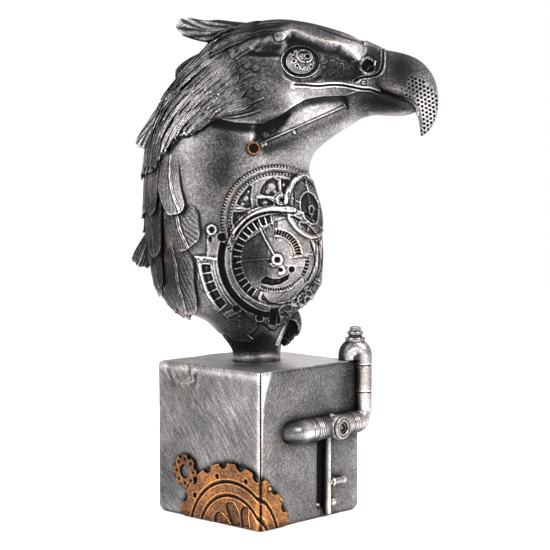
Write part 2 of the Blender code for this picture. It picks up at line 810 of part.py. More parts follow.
def torn_collar():
    """The ragged lower edge of the chest's shell, round the stem, and the flap in front."""
    count = 26
    rings = []
    for station, lift, jag in ((2.1, 2.4, 3.0), (2.55, 1.8, 0.0), (2.9, -1.5, 0.0)):
        ring = []
        for k in range(count):
            degrees = 360 * k / count
            drop = jag * (1 if k % 2 else -0.4) * (0.7 + 0.5 * math.sin(3 * k))
            place = BODY.point(station, degrees) + BODY.normal(station, degrees) * lift * UNIT
            ring.append(place - UP * drop * UNIT)
        rings.append(ring)
    collar = loft("collar", rings)
    points = [at(25, 38, -2), at(29.5, 31, -3), at(31, 25, -3), at(28, 18, -2), at(22, 12.5, -1)]
    flap = tube("flap", points, [r * UNIT for r in (5, 5, 4.6, 4, 3)], 6, flatten=1.9,
                side_axis=Vector((0, 1, 0)))
    return [collar, flap]


def make_bust(material):
    bust = BODY.solid("eagle_bust", 2, 28)
    bust.data.materials.append(material)
    head_parts = [BEAK.solid("beak", 1, 16), MANDIBLE.solid("mandible", 1, 14)]
    skin = Skin(bust)
    cutters = hollows(skin)
    parts = head_parts + eyes(skin) + jaw_rods(skin) + [brow(skin, side) for side in (1, -1)]
    parts += head_feathers(skin) + back_feathers(skin) + free_feathers(skin)
    parts += clockwork(skin, 1, False) + clockwork(skin, -1, True)
    parts += wreckage(skin) + torn_collar()
    combine(bust, cutters, "DIFFERENCE", "MANIFOLD")
    for part in parts:
        combine(bust, [part], "UNION", "MANIFOLD")
    nostrils = []
    for side in (1, -1):
        place = at(*NOSTRIL, -side * 17.6)
        nostrils.append(turned("nostril", place, Vector((0.1, -side, 0)),
                               [(NOSTRIL_RADIUS * UNIT, -4 * UNIT), (NOSTRIL_RADIUS * UNIT, 6 * UNIT)], 12))
    combine(bust, nostrils, "DIFFERENCE", "MANIFOLD")
    cut_flat_below(bust)
    return smooth(thin_out(keep_outer_shell(bust), BUST_TRIANGLES))


def cut_flat_below(thing):
    """Keeps a free form clear of the plinth's top."""
    bm = bmesh.new()
    bm.from_mesh(thing.data)
    cut = bmesh.ops.bisect_plane(
        bm, geom=list(bm.verts) + list(bm.edges) + list(bm.faces),
        plane_co=(0, 0, BUST_FOOT), plane_no=(0, 0, -1), clear_outer=True,
    )
    edges = [e for e in cut["geom_cut"] if isinstance(e, bmesh.types.BMEdge)]
    if edges:
        bmesh.ops.holes_fill(bm, edges=edges)
    bm.to_mesh(thing.data)
    bm.free()


def make_jaw_ring(bust_skin, material):
    """The copper ring let into the jaw, on its own small seat."""
    place, normal = on_cheek(bust_skin, *RING_PLACE, 1)
    seat = place + normal * (FIT_GAP + RING_TUBE * UNIT * 2)
    profile = []
    for i in range(6):
        angle = math.tau * i / 6
        radius = RING_OUTER - RING_TUBE + RING_TUBE * math.cos(angle)
        profile.append((radius * UNIT, RING_TUBE * 1.5 * math.sin(angle) * UNIT))
    ring = hoop("jaw_ring", seat, normal, profile, 18)
    ring.data.materials.append(material)
    return smooth(ring)


# Plinth and its fittings


def face_point(along, height, out, right=True):
    """A point on an upright face of the plinth, from the near edge, raised off the face."""
    if right:
        return NEAR_EDGE + RIGHT_ALONG * along + RIGHT_OUT * out + UP * height
    return NEAR_EDGE + LEFT_ALONG * along + LEFT_OUT * out + UP * height


def make_plinth(material):
    bm = bmesh.new()
    turn = Matrix.Rotation(math.radians(45), 4, "Z")
    size = Matrix.Diagonal((PLINTH_SIDE, PLINTH_SIDE, PLINTH_HEIGHT, 1))
    lift = Matrix.Translation((0, 0, PLINTH_HEIGHT / 2))
    bmesh.ops.create_cube(bm, size=1.0, matrix=lift @ turn @ size)
    bmesh.ops.bevel(bm, geom=list(bm.edges), offset=PLINTH_EDGE, segments=2, profile=0.5, affect="EDGES")
    plinth = mesh_object("plinth", bm, material)
    corners = []
    for sign in (1, -1):
        corners.append(foot_corner_cutter(sign))
    combine(plinth, corners, "DIFFERENCE")
    seats = pipe_forms(FIT_GAP)
    for seat in seats:
        combine(plinth, [seat], "DIFFERENCE")
    return smooth(weld(plinth))


def foot_corner_cutter(sign):
    """A wedge that takes off the worn bottom corner at one end of the X axis."""
    reach = PLINTH_FOOT_CORNER * 2
    tip = Vector((sign * HALF_DIAGONAL, 0, 0))
    inner = tip - Vector((sign * PLINTH_FOOT_CORNER, 0, 0))
    upper = tip + Vector((0, 0, PLINTH_FOOT_CORNER))
    bm = bmesh.new()
    rows = []
    for y in (-reach, reach):
        outer = Vector((sign * reach, 0, 0))
        low = Vector((0, 0, -reach))
        row = [inner, upper, upper + outer, tip + outer + low, inner + low]
        rows.append([bm.verts.new(p + Vector((0, y, 0))) for p in row])
    for i in range(5):
        j = (i + 1) % 5
        bm.faces.new((rows[0][i], rows[0][j], rows[1][j], rows[1][i]))
    bm.faces.new(rows[0])
    bm.faces.new(rows[1])
    return mesh_object("foot_corner", bm)


def pipe_forms(grow=0.0):
    """The closed forms of the pipework. With grow they are its seats in the plinth."""
    outer_x = HALF_DIAGONAL + PIPE_OUTSIDE_CORNER
    upright = Vector((outer_x, 0, 0))
    radius = PIPE_RADIUS + grow
    run_radius = RUN_RADIUS + grow
    spring = PLINTH_HEIGHT + PIPE_SPRING_HEIGHT
    side = Vector((0, -1, 0))
    forms = []
    profile = [(radius, RUN_HEIGHT)]
    for band in (RUN_HEIGHT + 23 * MM, PLINTH_HEIGHT - 5.5 * MM):
        step = 0.7 * MM
        profile += [(radius, band), (radius + step, band), (radius + step, band + 2.6 * MM)]
        profile += [(radius, band + 2.6 * MM)]
    profile += [(radius, spring + 1 * MM)]
    forms.append(turned("upright", upright, UP, profile, 12, side))
    out_length = (outer_x + HALF_DIAGONAL) / math.sqrt(2)
    offset = PIPE_OUTSIDE_CORNER / math.sqrt(2)
    run_profile = [(run_radius, RUN_END_FROM_NEAR_EDGE)]
    for band in BANDS_FROM_NEAR_EDGE:
        wide = run_radius + BAND_STEP
        low, high = band - BAND_WIDTH / 2, band + BAND_WIDTH / 2
        run_profile += [(run_radius, low), (wide, low), (wide, high), (run_radius, high)]
    run_profile += [(run_radius, out_length)]
    run_start = face_point(0, RUN_HEIGHT, offset)
    forms.append(turned("run", run_start, RIGHT_ALONG, run_profile, 12, UP))
    corner = face_point(out_length, RUN_HEIGHT, offset)
    forms.append(turned("corner_elbow", corner, UP, ball_profile(ELBOW_RADIUS + grow, rows=7), 12, side))
    end = face_point(RUN_END_FROM_NEAR_EDGE, RUN_HEIGHT, offset)
    forms.append(turned("end_elbow", end, UP, ball_profile(run_radius, rows=7), 12, side))
    drain = face_point(DRAIN_FROM_NEAR_EDGE, 0, DRAIN_RADIUS * 0.5)
    drain_profile = [(DRAIN_RADIUS + grow, DRAIN_FOOT), (DRAIN_RADIUS + grow, RUN_HEIGHT)]
    forms.append(turned("drain", drain, UP, drain_profile, 10))
    peg = face_point(DRAIN_FROM_NEAR_EDGE, PEG_HEIGHT, PEG_RADIUS * 0.5)
    peg_profile = [(PEG_RADIUS + grow, 0), (PEG_RADIUS + grow, PEG_LENGTH + DRAIN_RADIUS)]
    forms.append(turned("peg", peg, RIGHT_ALONG, peg_profile, 10))
    stud = face_point(DRAIN_FROM_NEAR_EDGE + DRAIN_RADIUS + STUD_RADIUS, STUD_HEIGHT, STUD_RADIUS * 0.5)
    stud_profile = ball_profile(STUD_RADIUS + grow, rows=4)
    forms.append(turned("stud", stud, RIGHT_OUT, stud_profile, 10))
    link = face_point(DRAIN_FROM_NEAR_EDGE, STUD_HEIGHT, STUD_RADIUS * 0.5)
    link_profile = [(STUD_RADIUS * 0.4 + grow, 0), (STUD_RADIUS * 0.4 + grow, DRAIN_RADIUS + STUD_RADIUS)]
    forms.append(turned("stud_link", link, RIGHT_ALONG, link_profile, 8))
    return forms


def pipe_top():
    """What shows above and in front of the pipes: the return bend, its cap and the valve."""
    outer_x = HALF_DIAGONAL + PIPE_OUTSIDE_CORNER
    inner_x = outer_x - PIPE_LIMB_SPACING
    foot = PLINTH_HEIGHT + FIT_GAP
    spring = PLINTH_HEIGHT + PIPE_SPRING_HEIGHT
    side = Vector((0, -1, 0))
    forms = [turned("inner_limb", Vector((inner_x, 0, 0)), UP,
                    [(PIPE_RADIUS, foot), (PIPE_RADIUS, spring + 1 * MM)], 12, side)]
    rings = []
    steps = 8
    reach = PIPE_LIMB_SPACING / 2
    middle = Vector(((outer_x + inner_x) / 2, 0, spring))
    for i in range(steps + 1):
        angle = math.pi * i / steps
        outward = Vector((math.cos(angle), 0, math.sin(angle)))
        ring = []
        for k in range(12):
            turn = math.tau * k / 12
            away = max(reach + PIPE_RADIUS * math.cos(turn), 0.25 * MM)
            ring.append(middle + outward * away + Vector((0, PIPE_RADIUS * math.sin(turn), 0)))
        rings.append(ring)
    forms.append(loft("return_bend", rings))
    crown = spring + reach + PIPE_RADIUS
    cap = [(CAP_FLANGE_RADIUS * 0.8, -3.2), (CAP_FLANGE_RADIUS, -1.4), (CAP_FLANGE_RADIUS, 0.6),
           (CAP_NUT_RADIUS * 0.85, 1.4), (CAP_NUT_RADIUS * 0.85, 2.6), (CAP_NUT_RADIUS, 3.2),
           (CAP_NUT_RADIUS, 5.0), (CAP_NUT_RADIUS * 0.8, 5.8)]
    profile = [(radius, height * MM) for radius, height in cap]
    forms.append(turned("cap", Vector((middle.x, 0, crown)), UP, profile, 12, side))
    hex_profile = [(CAP_HEX_RADIUS, 5.2 * MM), (CAP_HEX_RADIUS, 8.4 * MM), (CAP_HEX_RADIUS * 0.8, 9.3 * MM)]
    forms.append(turned("cap_head", Vector((middle.x, 0, crown)), UP, hex_profile, 6, side))
    valve = face_point(VALVE_FROM_NEAR_EDGE, RUN_HEIGHT, PIPE_OUTSIDE_CORNER / math.sqrt(2))
    front = RUN_RADIUS + VALVE_STAND
    valve_profile = [(VALVE_RADIUS * 0.9, RUN_RADIUS * 0.2), (VALVE_RADIUS, RUN_RADIUS * 0.5),
                     (VALVE_RADIUS, front - 1.6 * MM), (VALVE_RADIUS * 0.82, front)]
    forms.append(turned("valve", valve, RIGHT_OUT, valve_profile, 16))
    knob = face_point(VALVE_FROM_NEAR_EDGE - 4 * MM, RUN_HEIGHT + RUN_RADIUS * 0.7, RUN_RADIUS * 0.6)
    forms.append(turned("knob", knob, UP, [(2.2 * MM, 0), (2.2 * MM, 4.6 * MM), (1.4 * MM, 5.6 * MM)], 8))
    return forms, valve, front


def make_pipework(material):
    parts = pipe_forms()
    top, valve, front = pipe_top()
    pipework = parts[0]
    pipework.name = "pipework"
    pipework.data.materials.append(material)
    for part in parts[1:] + top:
        combine(pipework, [part], "UNION", "MANIFOLD")
    bore = turned("bore", valve, RIGHT_OUT, [(VALVE_BORE, front - 4 * MM), (VALVE_BORE, front + 2 * MM)], 14)
    cell = plinth_inside()
    combine(pipework, [bore], "DIFFERENCE", "MANIFOLD")
    combine(pipework, [cell], "DIFFERENCE", "MANIFOLD")
    return smooth(keep_outer_shell(pipework))


def plinth_inside():
    """The plinth's core, which the pipes lie in only as deep as their seats are cut."""
    inset = 6 * MM
    depth = PLINTH_SIDE - 2 * inset
    bm = bmesh.new()
    turn = Matrix.Rotation(math.radians(45), 4, "Z")
    size = Matrix.Diagonal((depth, depth, PLINTH_HEIGHT - 2 * inset, 1))
    bmesh.ops.create_cube(bm, size=1.0, matrix=Matrix.Translation((0, 0, PLINTH_HEIGHT / 2)) @ turn @ size)
    return mesh_object("core", bm)


def circle(centre, radius, count, start=0.0, end=360.0):
    points = []
    whole = end - start >= 360
    for i in range(count):
        angle = math.radians(start + (end - start) * i / (count if whole else count - 1))
        points.append((centre[0] + radius * math.cos(angle), centre[1] + radius * math.sin(angle)))
    return points


GAP_POINTS = 4
GROOVE_POINTS = 28


def gear_outline(centre, radius, teeth, gap_radius, phase):
    """A wheel's outline whose gaps are round bites centred on its rim circle."""
    points = []
    pitch = 360 / teeth
    for i in range(teeth):
        middle = phase + pitch * i
        bite = (centre[0] + radius * math.cos(math.radians(middle)),
                centre[1] + radius * math.sin(math.radians(middle)))
        for k in range(GAP_POINTS):
            turn = middle - 90 - 180 * k / (GAP_POINTS - 1)
            points.append((bite[0] + gap_radius * math.cos(math.radians(turn)),
                           bite[1] + gap_radius * math.sin(math.radians(turn))))
        points.append((centre[0] + radius * math.cos(math.radians(middle + pitch / 2)),
                       centre[1] + radius * math.sin(math.radians(middle + pitch / 2))))
    return points


def flat_plate(name, loops, low, high):
    """A plate in the XZ plane between two depths, from an outline and the outlines of its holes."""
    curve = bpy.data.curves.new(name, "CURVE")
    curve.dimensions = "2D"
    curve.fill_mode = "BOTH"
    curve.extrude = (high - low) / 2
    for loop in loops:
        spline = curve.splines.new("POLY")
        spline.points.add(len(loop) - 1)
        for point, (x, z) in zip(spline.points, loop):
            point.co = (x, z, 0, 1)
        spline.use_cyclic_u = True
    thing = bpy.data.objects.new(name, curve)
    bpy.context.scene.collection.objects.link(thing)
    evaluated = thing.evaluated_get(bpy.context.evaluated_depsgraph_get())
    mesh = bpy.data.meshes.new_from_object(evaluated)
    bpy.data.objects.remove(thing, do_unlink=True)
    bpy.data.curves.remove(curve)
    bm = bmesh.new()
    bm.from_mesh(mesh)
    bpy.data.meshes.remove(mesh)
    bmesh.ops.remove_doubles(bm, verts=bm.verts, dist=0.005 * MM)
    middle = (low + high) / 2
    for vert in bm.verts:
        x, z, depth = vert.co
        vert.co = (x, -(depth + middle), z)
    return mesh_object(name, bm)


def onto_plinth(thing):
    """Lays a flat plate on the faces: x runs from the near edge, right of it positive."""
    bm = bmesh.new()
    bm.from_mesh(thing.data)
    bend = PLINTH_EDGE * math.pi / 4
    for step in (-1, -0.5, 0, 0.5, 1):
        bmesh.ops.bisect_plane(bm, geom=list(bm.verts) + list(bm.edges) + list(bm.faces),
                               plane_co=(bend * step, 0, 0), plane_no=(1, 0, 0))
    edge_centre = NEAR_EDGE + Vector((0, PLINTH_EDGE * math.sqrt(2), 0))
    for vert in bm.verts:
        x, out, z = vert.co.x, -vert.co.y + FIT_GAP, vert.co.z
        if abs(x) <= bend:
            turn = x / PLINTH_EDGE
            direction = Vector((math.sin(turn), -math.cos(turn), 0))
            vert.co = edge_centre + direction * (PLINTH_EDGE + out) + UP * z
        else:
            right = x > 0
            along = abs(x) - bend + PLINTH_EDGE
            vert.co = face_point(along, z, out, right)
    bmesh.ops.triangulate(bm, faces=bm.faces)
    bmesh.ops.recalc_face_normals(bm, faces=bm.faces)
    bm.to_mesh(thing.data)
    bm.free()
    return thing


def cut_at_foot(thing, height):
    bm = bmesh.new()
    bm.from_mesh(thing.data)
    cut = bmesh.ops.bisect_plane(
        bm, geom=list(bm.verts) + list(bm.edges) + list(bm.faces),
        plane_co=(0, 0, height), plane_no=(0, 0, -1), clear_outer=True,
    )
    edges = [e for e in cut["geom_cut"] if isinstance(e, bmesh.types.BMEdge)]
    bmesh.ops.holes_fill(bm, edges=edges)
    bmesh.ops.recalc_face_normals(bm, faces=bm.faces)
    bm.to_mesh(thing.data)
    bm.free()


def corner_gear_outline(grow=0.0):
    """The large gear's outline on the unrolled faces, grown all round by a clearance."""
    centre = (-GEAR_CENTRE_FROM_EDGE, -GEAR_CENTRE_BELOW_FOOT)
    first_gap = 90 + 180 / GEAR_TEETH
    return gear_outline(centre, GEAR_RADIUS + grow, GEAR_TEETH, GEAR_GAP_RADIUS - grow, first_gap)


def make_corner_gear(material):
    centre = (-GEAR_CENTRE_FROM_EDGE, -GEAR_CENTRE_BELOW_FOOT)
    pitch = 360 / GEAR_TEETH
    loops = [corner_gear_outline()]
    for i in range(GEAR_TEETH):
        degrees = 90 + pitch * i
        place = (centre[0] + GEAR_HOLE_CIRCLE * math.cos(math.radians(degrees)),
                 centre[1] + GEAR_HOLE_CIRCLE * math.sin(math.radians(degrees)))
        if i % 2 and place[0] < -GEAR_HOLE_RADIUS * 3 and place[1] > GEAR_HOLE_RADIUS * 2:
            loops.append(circle(place, GEAR_HOLE_RADIUS, 6))
    gear = flat_plate("corner_gear", loops, 0, GEAR_THICKNESS)
    gear.data.materials.append(material)
    cutters = []
    depth = GEAR_THICKNESS - GEAR_GROOVE_DEPTH
    for radius in GEAR_GROOVE_RADII:
        rings = [circle(centre, radius + GEAR_GROOVE_WIDTH / 2, GROOVE_POINTS),
                 circle(centre, radius - GEAR_GROOVE_WIDTH / 2, GROOVE_POINTS)]
        cutters.append(flat_plate("groove", rings, depth, GEAR_THICKNESS * 2))
    window_depth = GEAR_THICKNESS - GEAR_WINDOW_DEPTH
    for degrees, reach in GEAR_WINDOWS:
        cutters.append(flat_plate("window", [slot_outline(centre, degrees, GEAR_WINDOW_START, reach)],
                                  window_depth, GEAR_THICKNESS * 2))
    for cutter in cutters:
        combine(gear, [cutter], "DIFFERENCE")
    cut_at_foot(gear, GEAR_FOOT_GAP)
    return smooth(onto_plinth(gear), 30)


def slot_outline(centre, degrees, near, far):
    """A long opening with round ends that points away from a centre."""
    half = GEAR_WINDOW_WIDTH / 2
    ends = []
    for distance in (near, far):
        ends.append((centre[0] + distance * math.cos(math.radians(degrees)),
                     centre[1] + distance * math.sin(math.radians(degrees))))
    points = circle(ends[1], half, 7, degrees - 90, degrees + 90)
    points += circle(ends[0], half, 7, degrees + 90, degrees + 270)
    return points


def make_small_gear(material):
    spacing = GEAR_RADIUS + PINION_RADIUS - PINION_MESH_DEPTH
    bearing = math.radians(PINION_BEARING)
    centre = (spacing * math.cos(bearing) - GEAR_CENTRE_FROM_EDGE,
              spacing * math.sin(bearing) - GEAR_CENTRE_BELOW_FOOT)
    pitch = 360 / PINION_TEETH
    loops = [gear_outline(centre, PINION_RADIUS, PINION_TEETH, PINION_GAP_RADIUS, pitch / 2 + 90),
             circle(centre, PINION_BORE, 14)]
    for i in range(PINION_TEETH):
        degrees = 90 + pitch * i
        place = (centre[0] + PINION_HOLE_CIRCLE * math.cos(math.radians(degrees)),
                 centre[1] + PINION_HOLE_CIRCLE * math.sin(math.radians(degrees)))
        loops.append(circle(place, PINION_HOLE_RADIUS, 6))
    gear = flat_plate("small_gear", loops, 0, GEAR_THICKNESS)
    gear.data.materials.append(material)
    neighbour = corner_gear_outline(FIT_GAP)
    cutter = flat_plate("neighbour", [neighbour], -MM, GEAR_THICKNESS + MM)
    combine(gear, [cutter], "DIFFERENCE", "MANIFOLD")
    return smooth(onto_plinth(keep_outer_shell(gear)), 30)


def main():
    clear_scene()
    pewter = finish_material("antique_pewter", (0.30, 0.29, 0.29), 0.38, 0.9)
    copper = finish_material("antique_copper", (0.55, 0.24, 0.09), 0.4, 0.9)
    bust = make_bust(pewter)
    make_jaw_ring(Skin(bust), copper)
    make_plinth(pewter)
    make_pipework(pewter)
    make_corner_gear(copper)
    make_small_gear(copper)


main()
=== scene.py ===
"""Cast eagle bust with a clockwork chest on a cube plinth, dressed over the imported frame.

Lengths inside the classes are millimetres in the frame's own axes: +X is the way the beak points,
+Z is up and the origin is the middle of the plinth's underside. The bust's relief is drawn the way
an engraver works from a side view: a Drawing turns surface points into the units of one enlarged
side drawing, and a Carver raises, sinks, soots and rubs the skin along the lines drawn there.
"""

import logging
import math
from contextlib import contextmanager
from dataclasses import dataclass, field, replace
from enum import Enum
from typing import Iterable, Iterator, Sequence

import bpy
import numpy as np
from mathutils import Matrix, Vector
from mathutils.bvhtree import BVHTree


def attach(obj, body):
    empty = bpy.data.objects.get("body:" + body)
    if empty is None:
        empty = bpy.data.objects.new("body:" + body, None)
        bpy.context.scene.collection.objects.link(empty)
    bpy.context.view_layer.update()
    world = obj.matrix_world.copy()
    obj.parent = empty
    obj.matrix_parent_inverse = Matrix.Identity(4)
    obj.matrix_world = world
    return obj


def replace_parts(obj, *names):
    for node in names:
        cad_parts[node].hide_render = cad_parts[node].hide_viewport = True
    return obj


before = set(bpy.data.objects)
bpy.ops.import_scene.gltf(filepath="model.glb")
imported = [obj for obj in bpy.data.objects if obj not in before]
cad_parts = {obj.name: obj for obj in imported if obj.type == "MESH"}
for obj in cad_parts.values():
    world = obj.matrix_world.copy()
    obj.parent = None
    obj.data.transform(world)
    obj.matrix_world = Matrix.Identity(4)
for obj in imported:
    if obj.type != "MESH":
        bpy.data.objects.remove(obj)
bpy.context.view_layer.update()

LOG = logging.getLogger("eagle")

MM = 0.001
PLINTH_SIDE = 113.0
PLINTH_HEIGHT = 120.0
BUST_FOOT = 120.3
HALF_DIAGONAL = PLINTH_SIDE / math.sqrt(2)

Point = Sequence[float]
Piece = bpy.types.Object
Material = bpy.types.Material


# Geometry shared by all


def smooth_step(value: np.ndarray) -> np.ndarray:
    """Eases a value between 0 and 1."""
    value = np.clip(value, 0.0, 1.0)
    return value * value * (3.0 - 2.0 * value)


def catmull(values: np.ndarray, place: np.ndarray) -> np.ndarray:
    """Reads a smooth curve through rows of numbers.

    Args:
        values: One row for each whole place along the curve.
        place: The places to read, in rows.

    Returns:
        A row of numbers for each place.
    """
    last = len(values) - 1
    i = np.clip(np.floor(place).astype(int), 0, last - 1)
    t = (place - i)[..., None]
    p0, p1, p2, p3 = (values[np.clip(i + k, 0, last)] for k in (-1, 0, 1, 2))
    return 0.5 * (
        2 * p1 + (p2 - p0) * t + (2 * p0 - 5 * p1 + 4 * p2 - p3) * t * t
        + (3 * p1 - p0 - 3 * p2 + p3) * t ** 3
    )


def unit(vectors: np.ndarray) -> np.ndarray:
    """Vectors of length 1."""
    return vectors / np.maximum(np.linalg.norm(vectors, axis=-1, keepdims=True), 1e-9)


def run_along(path: np.ndarray) -> np.ndarray:
    """The length run at each point of a path."""
    return np.concatenate([[0], np.cumsum(np.linalg.norm(np.diff(path, axis=0), axis=1))])


def blurred(field_: np.ndarray, times: int, closed: bool) -> np.ndarray:
    """Spreads a grid of numbers over their neighbours.

    Args:
        field_: The grid, by rows and columns.
        times: How often each number is shared with the ones beside it.
        closed: Whether the last column meets the first.

    Returns:
        The spread grid.
    """
    result = field_.copy()
    for _ in range(times):
        up = np.vstack([result[:1], result[:-1]])
        down = np.vstack([result[1:], result[-1:]])
        result = (up + 2 * result + down) / 4
        if closed:
            left, right = np.roll(result, 1, axis=1), np.roll(result, -1, axis=1)
        else:
            left = np.hstack([result[:, :1], result[:, :-1]])
            right = np.hstack([result[:, 1:], result[:, -1:]])
        result = (left + 2 * result + right) / 4
    return result


@dataclass(frozen=True)
class Sight:
    """Where the side view is seen from, which fixes the camera and the enlarged drawings."""

    place: tuple[float, float, float] = (-22.5, -1231.9, 267.9)
    tilt: float = 86.27
    turn: float = -1.65
    reach: float = 1561.0
    middle: float = 275.0

    def matrix(self) -> Matrix:
        """The camera's turn."""
        tilted = Matrix.Rotation(math.radians(self.tilt), 3, "X")
        return Matrix.Rotation(math.radians(self.turn), 3, "Z") @ tilted

    def project(self, points: np.ndarray) -> np.ndarray:
        """Picture points of points in space.

        Args:
            points: Rows of x, y and z.

        Returns:
            Rows of picture x, to the right, and picture y, downwards.
        """
        local = (points - np.array(self.place)) @ np.array(self.matrix())
        depth = -local[..., 2]
        return np.stack([self.middle + self.reach * local[..., 0] / depth,
                         self.middle - self.reach * local[..., 1] / depth], axis=-1)


SIGHT = Sight()


@dataclass(frozen=True)
class Drawing:
    """An enlarged part of the side view: its left and top in picture points, and its scale."""

    left: float
    top: float
    scale: float

    def of(self, points: np.ndarray) -> np.ndarray:
        """Drawing units of points in space. Both sides of the bust read the near side's drawing.

        Args:
            points: Rows of x, y and z.

        Returns:
            Rows of x and y in the drawing.
        """
        near = points.copy()
        near[..., 1] = -np.abs(near[..., 1])
        return (SIGHT.project(near) - np.array([self.left, self.top])) * self.scale


SIDE = Drawing(0, 0, 1)
HEAD = Drawing(130, 0, 4.9)
FACE = Drawing(262, 22, 11)
CHEST = Drawing(200, 150, 8.2526)
WING = Drawing(125, 165, 8)
BELLY = Drawing(195, 225, 8)
STEM = Drawing(200, 290, 14.25)
GEARS = Drawing(155, 430, 10.81)


@dataclass(frozen=True)
class Form:
    """Sections between a back line and a front line.

    A station is back x, back z, front x, front z, half width, squareness and fullness in front.
    """

    stations: tuple[tuple[float, ...], ...]

    @property
    def last(self) -> float:
        """The last station's place."""
        return float(len(self.stations) - 1)

    def points(self, place: np.ndarray, degrees: np.ndarray) -> np.ndarray:
        """Surface points. Angle 0 is the front line, 180 the back line, above 0 is the near side.

        Args:
            place: Places along the form, counted in stations.
            degrees: Angles round it.

        Returns:
            Rows of x, y and z in millimetres.
        """
        row = catmull(np.array(self.stations), place)
        angle = np.radians(degrees)
        power = 2.0 / row[..., 5]
        along = np.sign(np.cos(angle)) * np.abs(np.cos(angle)) ** power
        side = np.sign(np.sin(angle)) * np.abs(np.sin(angle)) ** power
        x = (row[..., 0] + row[..., 2]) / 2 + (row[..., 2] - row[..., 0]) / 2 * along
        z = (row[..., 1] + row[..., 3]) / 2 + (row[..., 3] - row[..., 1]) / 2 * along
        y = -side * row[..., 4] * (1 + row[..., 6] * along)
        return np.stack([x, y, BUST_FOOT + z], axis=-1)

    def rows(self, spacing: float, degrees: float = 70.0) -> np.ndarray:
        """Places evenly spaced along the form, in millimetres measured at one angle.

        Args:
            spacing: Millimetres from one place to the next.
            degrees: The angle they are measured at.

        Returns:
            The places.
        """
        fine = np.linspace(0, self.last, 1500)
        path = self.points(fine, np.full_like(fine, degrees))
        length = run_along(path)
        return np.interp(np.linspace(0, length[-1], int(length[-1] / spacing)), length, fine)

    def columns(self, spans: Iterable[tuple[float, float, float]], place: float) -> np.ndarray:
        """Angles all round, evenly spaced within each span of (start, end, spacing).

        Args:
            spans: Start, end and spacing of each span.
            place: The place along the form they are measured at.

        Returns:
            The angles.
        """
        result = []
        for start, end, spacing in spans:
            fine = np.linspace(start, end, 400)
            path = self.points(np.full_like(fine, place), fine)
            length = run_along(path)
            count = max(int(length[-1] / spacing), 2)
            result.append(np.interp(np.linspace(0, length[-1], count + 1)[:-1], length, fine))
        return np.concatenate(result)


BODY = Form((
    (-21.5, 0, 18, 0, 19.5, 2.0, 0), (-21.8, 7, 18.5, 7, 20, 2.0, 0), (-27.5, 16, 20, 17, 24, 2.0, 0),
    (-41.5, 31, 24.5, 31, 33, 2.1, 0), (-62, 41, 36, 44, 42, 2.1, 0), (-77, 58, 47.5, 57, 48, 2.2, 0),
    (-83, 78, 51, 76, 51, 2.2, 0.02), (-86, 100, 50.5, 97, 52, 2.2, 0.03),
    (-87, 120, 48.5, 117, 51, 2.2, 0.03), (-87.5, 140, 43.5, 135, 48.5, 2.2, 0.02),
    (-86.5, 160, 40, 150, 45, 2.15, 0), (-83, 180, 43, 161.5, 41.5, 2.1, -0.02),
    (-75.5, 200, 50.5, 170, 38.5, 2.1, -0.05), (-63.5, 218, 58.5, 176, 36.5, 2.1, -0.08),
    (-46, 239, 66.5, 181.5, 35, 2.1, -0.1), (-30, 256, 74, 186, 34, 2.1, -0.12),
    (-7, 264.5, 80, 190, 33, 2.1, -0.12), (15, 267.7, 85.5, 192.5, 31, 2.1, -0.12),
    (36, 265.7, 91, 193.5, 28, 2.1, -0.12), (56, 261, 95, 193.5, 24.5, 2.1, -0.1),
    (72, 255.5, 97, 194.5, 20.5, 2.1, -0.08), (82, 249, 97, 198, 15.5, 2.1, -0.05),
))
BEAK = Form((
    (66, 255, 70, 215, 18, 2.2, 0.05), (83.5, 250.9, 84.5, 213, 18.6, 2.3, 0.12),
    (90, 248.4, 91, 211, 17.6, 2.3, 0.15), (98.5, 245.6, 98.5, 208.6, 16.4, 2.3, 0.18),
    (100.2, 244.2, 99.8, 208.2, 15.4, 2.3, 0.2), (109, 242.6, 107.5, 205.6, 14.6, 2.3, 0.2),
    (118.5, 240, 114.5, 203.5, 13.4, 2.3, 0.2), (127.6, 235.4, 119.5, 201.5, 12, 2.2, 0.18),
    (135.3, 227.2, 122.5, 198.5, 10.4, 2.2, 0.15), (139.8, 218, 124.3, 195, 9, 2.1, 0.1),
    (141.6, 207, 125.7, 191.5, 7.8, 2.1, 0.05), (141.1, 197, 126.6, 187.5, 6.5, 2.0, 0),
    (138.6, 188, 127.2, 183.5, 5, 2.0, 0), (134.4, 181.2, 127.6, 179.6, 3.2, 2.0, 0),
    (130.6, 177.3, 128, 176.9, 1.2, 2.0, 0),
))
MANDIBLE = Form((
    (58, 211, 66, 187, 15, 2.2, 0), (72, 218, 82, 191, 17.6, 2.2, 0), (86, 216.5, 92, 193.4, 16.2, 2.2, 0),
    (97, 213, 100, 193, 14.8, 2.2, 0), (107, 209.5, 107.5, 192.8, 13, 2.2, 0),
    (115, 206.5, 114, 193, 10.8, 2.2, 0), (120, 204, 119, 193.8, 8, 2.1, 0),
    (123.6, 200, 122.8, 195.6, 4, 2.0, 0),
))


# Meshes


def grid_quads(rows: int, columns: int, closed: bool = True) -> tuple[np.ndarray, np.ndarray]:
    """Numbers a grid of points and its faces.

    Args:
        rows: How many rows it has.
        columns: How many columns it has.
        closed: Whether the last column meets the first.

    Returns:
        Each point's number, and the corner numbers of each face.
    """
    index = np.arange(rows * columns).reshape(rows, columns)
    left, right = (index, np.roll(index, -1, axis=1)) if closed else (index[:, :-1], index[:, 1:])
    return index, np.stack([left[:-1], left[1:], right[1:], right[:-1]], axis=-1).reshape(-1, 4)


